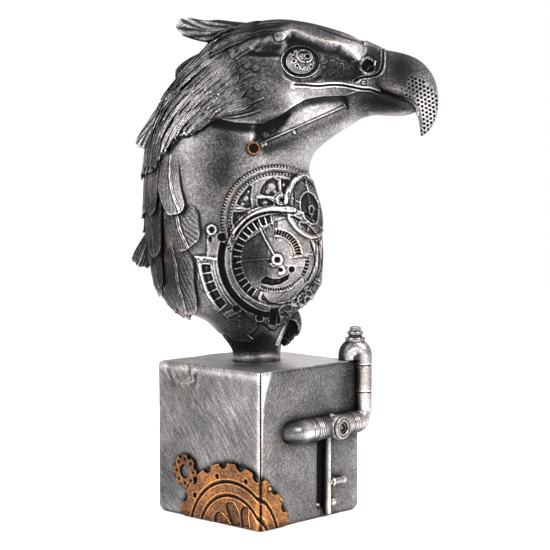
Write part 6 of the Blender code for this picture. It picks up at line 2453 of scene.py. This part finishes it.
        # The face beyond the near strip a little darker: painted shade on this side.
        c.plate([(14, -4), (113, -4), (113, 128), (14, 128)], 0, 10, soot=0.13)
        c.swell([(end + 0.4, foot), (end + 0.4, top)], 2.2, -0.6, soot=0.5)
        c.swell([(77.6, 4), (77.6, top)], 2.6, -0.5, soot=0.8)
        c.swell([(0, 118.6), (113, 118.6)], 1.2, -0.25, soot=0.35)
        # Painted shade round the pipe's run, left of the upright and beside the drain.
        c.swell([(30, 71), (113, 71)], 26, soot=0.35)
        c.swell([(100, 75), (100, 120)], 20, soot=0.4)
        c.swell([(76, 4), (76, 66)], 10, soot=0.25)
        c.swell([(108, 0), (110, 60)], 8, wear=0.25)
        c.swell([(0, 3), (113, 3)], 4, wear=0.2)
        for x, z, radius, wear in ((30, 95, 26, 0.12), (40, 40, 26, 0.12), (95, 45, 14, 0.15)):
            c.shade((x, z), radius, wear=wear)


# Pipework


@dataclass
class Pipework:
    """The pipe round the plinth's right-hand corner with its valve, cap, drain, peg and stud."""

    run_height: float = 71.0
    run_radius: float = 8.8
    pipe_radius: float = 7.3
    outside: float = 2.9
    limb_spacing: float = 12.2
    spring: float = PLINTH_HEIGHT + 4.0
    run_end: float = 31.0
    valve_along: float = 78.0
    drain_along: float = 73.0
    wall_bend: float = 7.5
    corner_bend: float = 9.0
    bands: tuple[float, ...] = (58.0, 100.0)
    joints: tuple[float, ...] = (14.5, 36.0)

    @staticmethod
    def _on_face(along: float, height: float, out: float) -> np.ndarray:
        """A place on the right-hand face."""
        turn = math.sqrt(0.5)
        return np.array([(along + out) * turn, -HALF_DIAGONAL + (along - out) * turn, height])

    def build(self, finish: Material) -> list[Piece]:
        """Models every piece of the pipework.

        Args:
            finish: The pipes' finish.

        Returns:
            The pieces.
        """
        made = [self._pipe(), *self._cap(), *self._valve(), *self._drain()]
        return [dress(piece, finish) for piece in made]

    def _pipe(self) -> Piece:
        """The pipe itself, from inside the face to the end of its return bend.

        Returns:
            The piece.
        """
        offset = self.outside / math.sqrt(2)
        outer = HALF_DIAGONAL + self.outside
        out_length = (outer + HALF_DIAGONAL) / math.sqrt(2)
        bend, turn = self.wall_bend, self.corner_bend
        a = self._on_face(self.run_end, self.run_height, -14)
        b = self._on_face(self.run_end, self.run_height, offset - bend)
        b_corner = self._on_face(self.run_end, self.run_height, offset)
        c = self._on_face(self.run_end + bend, self.run_height, offset)
        d = self._on_face(out_length - turn, self.run_height, offset)
        d_corner = np.array([outer, 0, self.run_height])
        e = d_corner + np.array([0, 0, turn])
        top = np.array([outer, 0, self.spring])
        reach = self.limb_spacing / 2
        middle = top - np.array([reach, 0, 0])
        swing = np.linspace(0, math.pi, 40)[:, None]
        over = middle + np.cos(swing) * np.array([reach, 0, 0]) + np.sin(swing) * np.array([0, 0, reach])
        foot = np.array([[outer - self.limb_spacing, 0, PLINTH_HEIGHT + 0.35]])
        legs = [np.linspace(a, b, 8, endpoint=False), arc(b, b_corner, c, 14),
                np.linspace(c, d, 210, endpoint=False), arc(d, d_corner, e, 26),
                np.linspace(e, top, 95, endpoint=False), over, foot]
        path = np.concatenate(legs)
        rows = [len(leg) for leg in legs]
        sizes = [np.full(sum(rows[:3]), self.run_radius),
                 np.linspace(self.run_radius, self.pipe_radius, rows[3]),
                 np.full(sum(rows[4:]), self.pipe_radius)]
        swept = Swept(path, np.concatenate(sizes))
        self._work(swept, sum(rows[:2]), sum(rows[:4]))
        relief = swept.relief
        bend_rows = slice(len(path) - len(over) - 1, len(path) - 1)
        outward = unit(over - middle)[:, None, :]
        away = ((relief.points[bend_rows] - middle) * outward).sum(axis=-1, keepdims=True)
        relief.points[bend_rows] += outward * np.maximum(0.3 - away, 0)
        x, y, z = np.moveaxis(relief.points, -1, 0)
        inside = np.minimum(np.hypot(x - middle[0], np.maximum(z - self.spring, 0)) - reach, 0)
        filled = (inside < 0) & (z > PLINTH_HEIGHT + 0.4)
        flush = self.pipe_radius - 0.12 - (x < middle[0]) * 0.1
        relief.points[..., 1] = np.where(filled, np.sign(y) * flush, y)
        relief.weather(0.12, 0.6)
        return relief.piece("pipe")

    def _work(self, swept: Swept, run_row: int, upright_row: int) -> None:
        """Carves the ring bands and the joints with their tones, and paints shade and highlights by which
        way the pipe faces.

        Args:
            swept: The pipe.
            run_row: The ring where the run starts.
            upright_row: The ring where the upright starts.
        """
        run, upright = float(swept.length[run_row]), float(swept.length[upright_row])
        start = run - self.run_end - self.wall_bend
        for place in self.bands:
            at = start + place
            for step in (-2.0, 0.0, 2.0):
                swept.band(at + step, 1.1, 0.4, 0.9)
                swept.tone(at + step, 0.5, wear=0.3)
            for step in (-3.0, -1.0, 1.0, 3.0):
                swept.tone(at + step, 0.45, soot=0.65)
        for place in (start + 49.5, *(upright + joint for joint in self.joints)):
            swept.band(place, 0.8, -0.4, 0.6)
            swept.tone(place, 0.55, soot=0.8)
            swept.tone(place + 1.1, 0.6, wear=0.35)
        # Painted shade where the run turns into the face, and a painted highlight spot just past it.
        swept.tone(start + self.run_end - 2, 7.0, soot=0.8)
        swept.tone(start + self.run_end + 12, 5.0, wear=0.55)
        swept.tone(start + 66, 4.0, soot=0.4)
        relief = swept.relief
        sideways, up = relief.normals[..., 0], relief.normals[..., 2]
        lying = smooth_step((upright - swept.length) / 6 + 0.5)[:, None]
        # Painted shade and highlight by facing: the run dark on top and below with a highlight across its
        # middle, the upright dark on its left with a highlight right of its middle.
        lying_shade = 0.45 * smooth_step((up - 0.45) / 0.3) + 0.7 * smooth_step((-up - 0.35) / 0.3)
        lying_highlight = 0.55 * np.exp(-((up - 0.1) / 0.4) ** 2)
        standing_shade = 0.8 * smooth_step((-sideways - 0.15) / 0.4)
        standing_shade = standing_shade + 0.35 * smooth_step((sideways - 0.75) / 0.2)
        standing_highlight = 0.85 * np.exp(-((sideways - 0.2) / 0.42) ** 2)
        relief.soot += lying * lying_shade + (1 - lying) * standing_shade
        relief.wear += lying * lying_highlight + (1 - lying) * standing_highlight

    def _cap(self) -> list[Piece]:
        """The washer, the nut and the six-sided head over the return bend.

        Returns:
            The pieces.
        """
        crown = self.spring + self.limb_spacing / 2 + self.pipe_radius
        origin = np.array([HALF_DIAGONAL + self.outside - self.limb_spacing / 2, 0, crown])
        up, side = np.array([0, 0, 1.0]), np.array([0, -1.0, 0])
        washer = Turned(((6.2, -4.0), (6.9, -3.0), (8.0, -2.0), (8.2, -1.5), (8.2, 0.1), (7.9, 0.6),
                         (6.2, 1.0), (5.4, 1.4), (5.4, 2.4), (6.2, 2.9), (6.5, 3.3), (6.5, 4.8),
                         (6.1, 5.4), (4.6, 5.8)), 48)
        head = Turned(((4.3, 5.2), (4.6, 5.6), (4.6, 8.2), (4.2, 8.7), (3.4, 9.2), (2.2, 9.3)), 6)
        nub = Turned(((1.6, 8.8), (1.6, 9.3), (1.2, 9.3)), 20)
        return [washer.model("cap_washer", origin, up, side), head.model("cap_head", origin, up, side),
                nub.model("cap_nub", origin, up, side, 0.5)]

    def _valve(self) -> list[Piece]:
        """The valve's stepped rings, the ball in its bore and the knob on top.

        Returns:
            The pieces.
        """
        offset = self.outside / math.sqrt(2)
        origin = self._on_face(self.valve_along, self.run_height, offset)
        out, up = np.array([1, -1, 0]) / math.sqrt(2), np.array([0, 0, 1.0])
        body = Turned(((8.4, 1.5), (9.4, 4.0), (9.6, 6.0), (9.6, 9.2), (9.2, 9.9), (8.5, 10.1),
                       (8.5, 10.8), (8.9, 11.2), (8.9, 11.9), (8.3, 12.6), (7.3, 12.8), (7.0, 12.2),
                       (6.6, 12.2), (6.2, 12.7), (5.2, 12.7), (4.7, 12.3), (4.3, 10.4), (4.0, 9.2)), 64)
        ring = Turned(((3.9, 9.0), (4.1, 9.4), (4.0, 10.6), (3.6, 10.9), (3.1, 10.7), (3.0, 9.2)), 40, 1.15)
        ball = Turned(((1.9, 8.9), (2.3, 9.4), (2.3, 9.9), (1.9, 10.4), (1.2, 10.8), (0.4, 10.9)), 28)
        knob_at = self._on_face(self.valve_along - 4, self.run_height + 6.2, 5.3)
        knob = Turned(((1.2, 0.0), (2.0, 1.0), (2.3, 2.2), (2.2, 3.4), (1.5, 4.3), (0.5, 4.7)), 20)
        second = knob_at + np.array([1.7, 1.7, -0.7])
        return [body.model("valve_body", origin, out, up), ring.model("valve_ring", origin, out, up, 0.1),
                ball.model("valve_ball", origin, out, up, 0.25), knob.model("valve_knob", knob_at, up, out),
                knob.model("valve_knob_small", second, up, out)]

    @staticmethod
    def _paint_shade_and_highlight(thing: Piece) -> None:
        """Paints shade on the left of an upright piece and a highlight right of its middle.

        Args:
            thing: The piece.
        """
        mesh = thing.data
        # Painted shade and highlight by which way each point faces.
        for key, start, end, amount in (("soot", 0.1, -0.4, 1.0), ("wear", 0.1, 0.45, 0.9)):
            layer = mesh.attributes[key].data
            for vertex, held in zip(mesh.vertices, layer):
                share = (vertex.normal.x - start) / (end - start)
                held.value += amount * float(smooth_step(np.array(share)))

    def _drain(self) -> list[Piece]:
        """The drain pipe, the peg beside it and the stud by its foot.

        Returns:
            The pieces.
        """
        up = np.array([0, 0, 1.0])
        along = np.array([1, 1, 0]) / math.sqrt(2)
        out = np.array([1, -1, 0]) / math.sqrt(2)
        drain_at = self._on_face(self.drain_along, 0, 1.55)
        drain = Turned(((2.6, 2.6), (3.1, 3.2), (3.1, 26.0), (3.25, 26.6), (3.1, 27.3), (3.1, 62.0),
                        (3.6, 62.4), (3.6, 64.4), (3.1, 65.0), (3.1, 70.0)), 28)
        peg_at = self._on_face(self.drain_along, 27.5, 2.6)
        peg = Turned(((2.4, 0.5), (2.4, 3.4), (3.4, 3.8), (3.9, 5.0), (3.4, 6.2), (2.7, 6.6), (2.7, 15.2),
                      (3.1, 15.6), (3.1, 18.4), (2.5, 19.6), (1.0, 20.0)), 28)
        stud_at = self._on_face(self.drain_along + 6.1, 11.5, 0.2)
        stud = Turned(((3.2, -1.0), (3.25, 1.2), (3.0, 2.8), (2.3, 3.8), (1.2, 4.3), (0.3, 4.4)), 28)
        link_at = self._on_face(self.drain_along, 11.5, 1.5)
        link = Turned(((1.3, 0.0), (1.3, 5.0)), 16)
        pipe = drain.model("drain", drain_at, up, out)
        self._paint_shade_and_highlight(pipe)
        return [pipe, peg.model("peg", peg_at, along, out, -0.5),
                stud.model("stud", stud_at, out, up, -0.4), link.model("stud_link", link_at, along)]


# Copper


@dataclass
class CornerGear:
    """The large gear wrapped round the near edge, drawn on the two faces laid out flat."""

    centre: tuple[float, float] = (-28.5, -10.5)
    radius: float = 59.0
    teeth: int = 20
    bite: float = 4.6
    thickness: float = 1.8
    foot: float = 0.6
    gap: float = 0.3
    edge: float = 2.2
    holes: float = 49.5
    grooves: tuple[tuple[float, float], ...] = ((44.5, 1.7), (34.0, 1.5))
    rivets: tuple[tuple[float, float], ...] = ((7.3, 32.1), (20.5, 22.3), (29.2, 8.0))

    def wrap(self, x: np.ndarray, z: np.ndarray, out: np.ndarray) -> tuple[np.ndarray, np.ndarray]:
        """Lays flat places on the plinth's faces.

        Args:
            x: From the near edge, right of it above 0.
            z: Height.
            out: Height off the face.

        Returns:
            The points and the ways out.
        """
        bend = self.edge * math.pi / 4
        turn = np.clip(x, -bend, bend) / self.edge
        way = np.stack([np.sin(turn), -np.cos(turn), np.zeros_like(turn)], axis=-1)
        points = way * (self.edge + out)[..., None]
        points[..., 1] += -HALF_DIAGONAL + self.edge * math.sqrt(2)
        beyond = np.where(np.abs(x) > bend, np.abs(x) - bend, 0) / math.sqrt(2)
        points[..., 0] += np.sign(x) * beyond
        points[..., 1] += beyond
        points[..., 2] = z
        return points, way

    def rim(self, degrees: np.ndarray, radius: float, teeth: int, bite: float, first: float) -> np.ndarray:
        """A wheel's outer radius at each angle, with round bites between its teeth.

        Args:
            degrees: The angles.
            radius: The radius over the teeth.
            teeth: How many teeth there are.
            bite: A bite's radius.
            first: The angle of a bite.

        Returns:
            A radius for each angle.
        """
        pitch = 360 / teeth
        away = np.radians((degrees - first + pitch / 2) % pitch - pitch / 2)
        inside = np.clip(bite ** 2 - (radius * np.sin(away)) ** 2, 0, None)
        bitten = radius * np.cos(away) - np.sqrt(inside)
        return np.where(inside > 0, bitten, radius - 0.25)

    def build(self, finish: Material) -> Piece:
        """Lays out, wraps and carves the gear.

        Args:
            finish: The copper.

        Returns:
            The piece.
        """
        low = math.degrees(math.asin((self.foot - self.centre[1]) / (self.radius - self.bite))) + 0.6
        degrees = np.linspace(low, 180 - low, 400)
        outer = self.rim(degrees, self.radius, self.teeth, self.bite, 90 + 180 / self.teeth)
        inner = (self.foot - self.centre[1]) / np.sin(np.radians(degrees))
        relief, flat, front = self._plate(degrees, inner, outer)
        c = Carver(relief, flat.reshape(-1, 2), front.reshape(-1), near_only=True)
        pitch = 360 / self.teeth
        for i in range(self.teeth):
            turn = math.radians(90 + pitch * i)
            spot = (self.centre[0] + self.holes * math.cos(turn),
                    self.centre[1] + self.holes * math.sin(turn))
            if i % 2 and spot[0] < -5 and spot[1] > 3:
                c.disc(spot, 2.0, -1.5, 0.7, soot=1.6)
                c.hoop(spot, 2.3, 0.8, 0.1, wear=0.4)
        for spot in self.rivets:
            c.hoop(spot, 2.3, 0.9, -0.35, soot=0.9)
            c.disc(spot, 1.5, 0.9, dome=True, wear=0.9)
        for radius, width in self.grooves:
            c.ring(self.centre, radius, width, -0.85, 0.6, soot=1.3)
            c.hoop(self.centre, radius + 1.3, 0.7, -0.3, soot=0.8)
            c.hoop(self.centre, radius + 2.4, 0.9, 0.12, wear=0.5)
            c.hoop(self.centre, radius - 1.6, 1.0, 0.15, wear=0.4)
        c.hoop(self.centre, 42.2, 0.7, -0.35, soot=0.7, start=20, end=95)
        self._windows(Carver.from_side(relief, GEARS))
        # Painted shade down the bend at the near edge, with painted highlights either side.
        c.bead([(0, 0), (0, 49)], 1.2, -0.3, soot=0.9)
        for side in (-2.2, 2.4):
            c.swell([(side, 0), (side, 30), (side * 0.9, 40)], 2.0, 0.1, wear=0.35)
        far = np.hypot(flat[..., 0] - self.centre[0], flat[..., 1] - self.centre[1])
        edges = smooth_step((1.3 - (outer[:, None] - far)) / 1.3)
        relief.wear += edges * front * 0.8
        relief.wear += front * 0.35 * smooth_step((3.0 - flat[..., 1]) / 3.0)
        # The plate's edge walls and back darker: painted shade.
        relief.soot += (~front) * 0.5
        relief.weather(0.12, 0.7)
        return dress(relief.piece("corner_gear_plate"), finish)

    def _plate(self, degrees: np.ndarray, inner: np.ndarray, outer: np.ndarray, height: float | None = None,
               rows: int = 104) -> tuple[Relief, np.ndarray, np.ndarray]:
        """A plate between two radii, as rings round its cross-section at every angle.

        Args:
            degrees: The angles.
            inner: The inner radius at each.
            outer: The outer radius at each.
            height: Its thickness, or None for the usual one.
            rows: How many points cross its face.

        Returns:
            The surface, its flat places and which points are in front.
        """
        height = height or self.thickness
        share = np.linspace(0, 1, rows)
        span = (outer - inner)[:, None]
        radius = inner[:, None] + 0.3 + (span - 0.6) * share
        ones = np.ones((len(degrees), 1))
        inner, outer = inner[:, None], outer[:, None]
        radius = np.concatenate([inner, radius, outer, outer, inner], axis=1)
        out = np.concatenate([ones * (height - 0.3), np.full((len(degrees), rows), height),
                              ones * (height - 0.3), ones * 0, ones * 0], axis=1) + self.gap
        turn = np.radians(degrees)[:, None]
        x = self.centre[0] + radius * np.cos(turn)
        z = np.maximum(self.centre[1] + radius * np.sin(turn), self.foot if self.centre[1] < 0 else 0)
        points, normals = self.wrap(x, z, out)
        front = np.zeros(x.shape, dtype=bool)
        front[:, 1:-3] = True
        return Relief(points, normals, True), np.stack([x, z], axis=-1), front

    @staticmethod
    def _windows(c: Carver) -> None:
        """Sinks the three long openings, each with a painted shadow along its left edge and a painted
        highlight along its right one.

        Args:
            c: The carver at work.
        """
        for left, right in (([(640, 1010), (652, 930), (668, 895), (700, 885)],
                             [(700, 885), (750, 930), (805, 1010)]),
                            ([(840, 1040), (800, 920), (770, 820), (790, 782)],
                             [(790, 782), (832, 774), (868, 820), (908, 900), (925, 1037)]),
                            ([(945, 1050), (930, 950), (935, 870), (955, 828)],
                             [(955, 828), (985, 822), (1010, 850), (1005, 950), (1020, 1050)])):
            c.plate([*left, *right[1:]], -0.7, 14, soot=0.05)
            # Painted shadow along the left edge and painted highlight along the right one.
            c.bead(left, 17, -0.3, soot=1.3)
            c.bead([(x + 8, y) for x, y in right], 15, 0.35, wear=0.6)


@dataclass
class SmallGear(CornerGear):
    """The small gear in mesh with the large one, with a round hole in the middle."""

    centre: tuple[float, float] = (-80.2, 35.8)
    radius: float = 13.4
    teeth: int = 8
    bite: float = 2.5
    bore: float = 5.6

    def build(self, finish: Material) -> Piece:
        """Lays out and carves the gear.

        Args:
            finish: The copper.

        Returns:
            The piece.
        """
        degrees = np.linspace(0, 360, 241)[:-1]
        outer = self.rim(degrees, self.radius, self.teeth, self.bite, 90 + 180 / self.teeth)
        relief, flat, front = self._plate(degrees, np.full(len(degrees), self.bore), outer, 1.45, 26)
        c = Carver(relief, flat.reshape(-1, 2), front.reshape(-1), near_only=True)
        for i in range(self.teeth):
            turn = math.radians(90 + 360 / self.teeth * i)
            spot = (self.centre[0] + self.radius * 0.7 * math.cos(turn),
                    self.centre[1] + self.radius * 0.7 * math.sin(turn))
            c.disc(spot, 1.1, -1.2, 0.6, soot=1.6)
        far = np.hypot(flat[..., 0] - self.centre[0], flat[..., 1] - self.centre[1])
        rims = smooth_step(far - outer[:, None] + 1.0) + smooth_step(self.bore + 1.0 - far)
        relief.wear += front * 0.35 * rims
        # The plate's edge walls and back darker: painted shade.
        relief.soot += (~front) * 0.7
        return dress(relief.piece("small_gear_plate", looped=True), finish)


@dataclass
class JawRing:
    """The copper ring at the end of the jaw's rod, round a black stone."""

    place: tuple[float, float] = (603.0, 729.0)
    radius: float = 5.2

    def build(self, ground: Ground, copper: Material, pewter: Material) -> tuple[Piece, Piece]:
        """Models ring and stone.

        Args:
            ground: The skin it stands on.
            copper: The ring's finish.
            pewter: The stone's finish.

        Returns:
            The ring and the stone.
        """
        stop = ground.find(HEAD, [self.place])[0]
        spine = Spine.on_body([stop, (stop[0] + 0.05, stop[1])], 2)
        origin, out = spine.points[0], spine.normals[0]
        r = self.radius
        ring = Turned(((r - 1.7, 0.3), (r - 0.4, 0.3), (r, 0.8), (r, 1.7), (r - 0.35, 2.15), (r - 0.8, 2.25),
                       (r - 1.3, 2.1), (r - 1.6, 1.6), (r - 1.75, 0.6)), 48)
        ring = ring.model("jaw_copper_ring", origin, out)
        stone = Turned(((r - 1.8, -0.8), (r - 1.8, 0.5), (r - 2.6, 0.95), (1.0, 1.1)), 10)
        stone = stone.model("jaw_stone", origin, out, sooty=1.6)
        return dress(ring, copper), dress(stone, pewter)


# Eyes


@dataclass
class Eyes:
    """The two clockwork eyes, each a dome in a double rim."""

    place: tuple[float, float] = (430.0, 430.0)
    radius: float = 16.8
    sink: float = -2.2
    flat: float = 0.82

    def build(self, ground: Ground, finish: Material) -> list[Piece]:
        """Carves one eye and mirrors it.

        Args:
            ground: The skin they are let into.
            finish: Their finish.

        Returns:
            The two pieces.
        """
        stop = ground.find(FACE, [self.place])[0]
        spine = Spine.on_body([stop, (stop[0] + 0.05, stop[1])], 2)
        origin, out = spine.points[0], unit(spine.normals[0] + np.array([0.06, 0, 0.05]))
        forward = unit(np.cross(np.cross(out, (1, 0, 0)), out))
        upward = np.cross(forward, out)
        upward = upward * np.sign(upward[2])
        made = []
        for side in (1, -1):
            relief, flat = self._dome(origin, out, forward, upward, side)
            self._carve(Carver(relief, flat, np.ones(len(flat), dtype=bool)))
            relief.weather(0.14, 0.6)
            name = "near_eye" if side == 1 else "far_eye"
            made.append(dress(relief.piece(name), finish))
        return made

    def _dome(self, origin: np.ndarray, out: np.ndarray, forward: np.ndarray, upward: np.ndarray,
              side: int) -> tuple[Relief, np.ndarray]:
        """A dome as rings round its middle, drawn in the head drawing's units.

        Args:
            origin: Where its axis meets the skin.
            out: The way it looks.
            forward: The way to the beak.
            upward: The way up.
            side: 1 for the near eye, -1 for the far one.

        Returns:
            The surface and its flat places.
        """
        radii = np.concatenate([np.arange(0.15, self.radius, 0.33), [self.radius]])
        turn = np.linspace(0, math.tau, 190, endpoint=False) * side
        across = radii[:, None] * np.cos(turn)
        up = radii[:, None] * np.sin(turn) * self.flat
        rise = 3.8 * (1 - np.clip(radii / 12.4, 0, 1) ** 2) - 5.0 * smooth_step((radii - 15.4) / 1.6)
        centre = origin + out * self.sink
        points = centre + across[..., None] * forward + up[..., None] * upward
        points = points + rise[:, None, None] * out
        normals = np.tile(out, points.shape[:2] + (1,))
        if side < 0:
            points, normals = points * [1, -1, 1], normals * [1, -1, 1]
        flat = np.stack([across, -up / self.flat], axis=-1).reshape(-1, 2) * 10
        return Relief(points, normals, True), flat

    @staticmethod
    def _carve(c: Carver) -> None:
        """Carves rims, iris, pupil and the small works round them, with painted shade over the rim's top and
        right and a painted reflection on the dome.

        Args:
            c: The carver at work.
        """
        c.hoop((0, 0), 150, 13, 0.9, wear=0.5)
        c.ring((0, 0), 138, 8, -0.5, soot=0.6)
        c.hoop((0, 0), 162, 8, 0.3, wear=0.1)
        c.ring((0, 0), 124, 16, -1.1, soot=1.3)
        # Painted reflection on the lower left of the dome.
        c.shade((-80, 30), 40, wear=0.7)
        # Painted shade over the rim's top and on its right.
        c.ring((0, 0), 150, 40, 0, soot=0.9, start=20, end=150)
        c.ring((0, 0), 150, 40, 0, soot=0.5, start=330, end=380)
        c.disc((20, 10), 78, 0.25, 8, wear=0.3)
        iris = (25, -46)
        c.disc(iris, 66, 0.5, 6)
        c.hoop(iris, 62, 11, 0.8, wear=0.7)
        c.disc(iris, 54, -0.5, 4, soot=0.15)
        c.disc((0, -36), 34, 0.3, 6, wear=0.2)
        c.hoop((50, -46), 26, 9, 0.7, wear=0.7)
        c.disc((50, -46), 17, -1.0, 5, soot=1.4)
        for points in ([(28, 0), (32, 35)], [(32, 35), (7, 56)], [(32, 35), (54, 54)], [(28, 0), (14, -12)]):
            c.line(points, 8, -0.6, 3, soot=1.0, curved=False)
        for x, y, size in ((-66, -84, 14), (-60, -40, 9), (-57, 2, 12), (-34, 46, 10), (8, 62, 8),
                           (-22, 62, 6), (84, 9, 9), (78, 46, 11), (-20, -100, 9), (60, 70, 6)):
            c.disc((x, y), size, -1.0, 4, soot=1.3)
            c.hoop((x, y), size + 5, 7, 0.3, wear=0.4)


# Whole


def main() -> None:
    """Builds every piece in order."""
    logging.basicConfig(level=logging.INFO, format="%(message)s")
    finishes = Finishes()
    skin = Skin()
    bust = skin.build(finishes.bust)
    ground = Ground(skin)
    bust += Bill().build(finishes.bust)
    bust += Plumage(ground).build(finishes.bust)
    bust += Eyes().build(ground, finishes.bust)
    bust.append(TornFlap().build(finishes.bust))
    ring, stone = JawRing().build(ground, finishes.copper, finishes.bust)
    bust.append(stone)
    tone_and_light = ToneAndLightPatches()
    for piece in bust:
        tone_and_light.spray(piece)
        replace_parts(piece, "eagle_bust")
    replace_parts(ring, "jaw_ring")
    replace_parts(Plinth().build(finishes.plinth), "plinth")
    for piece in Pipework().build(finishes.pipes):
        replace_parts(piece, "pipework")
    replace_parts(CornerGear().build(finishes.copper), "corner_gear")
    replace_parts(SmallGear().build(finishes.copper), "small_gear")
    Studio().build()


if __name__ == "__main__":
    main()
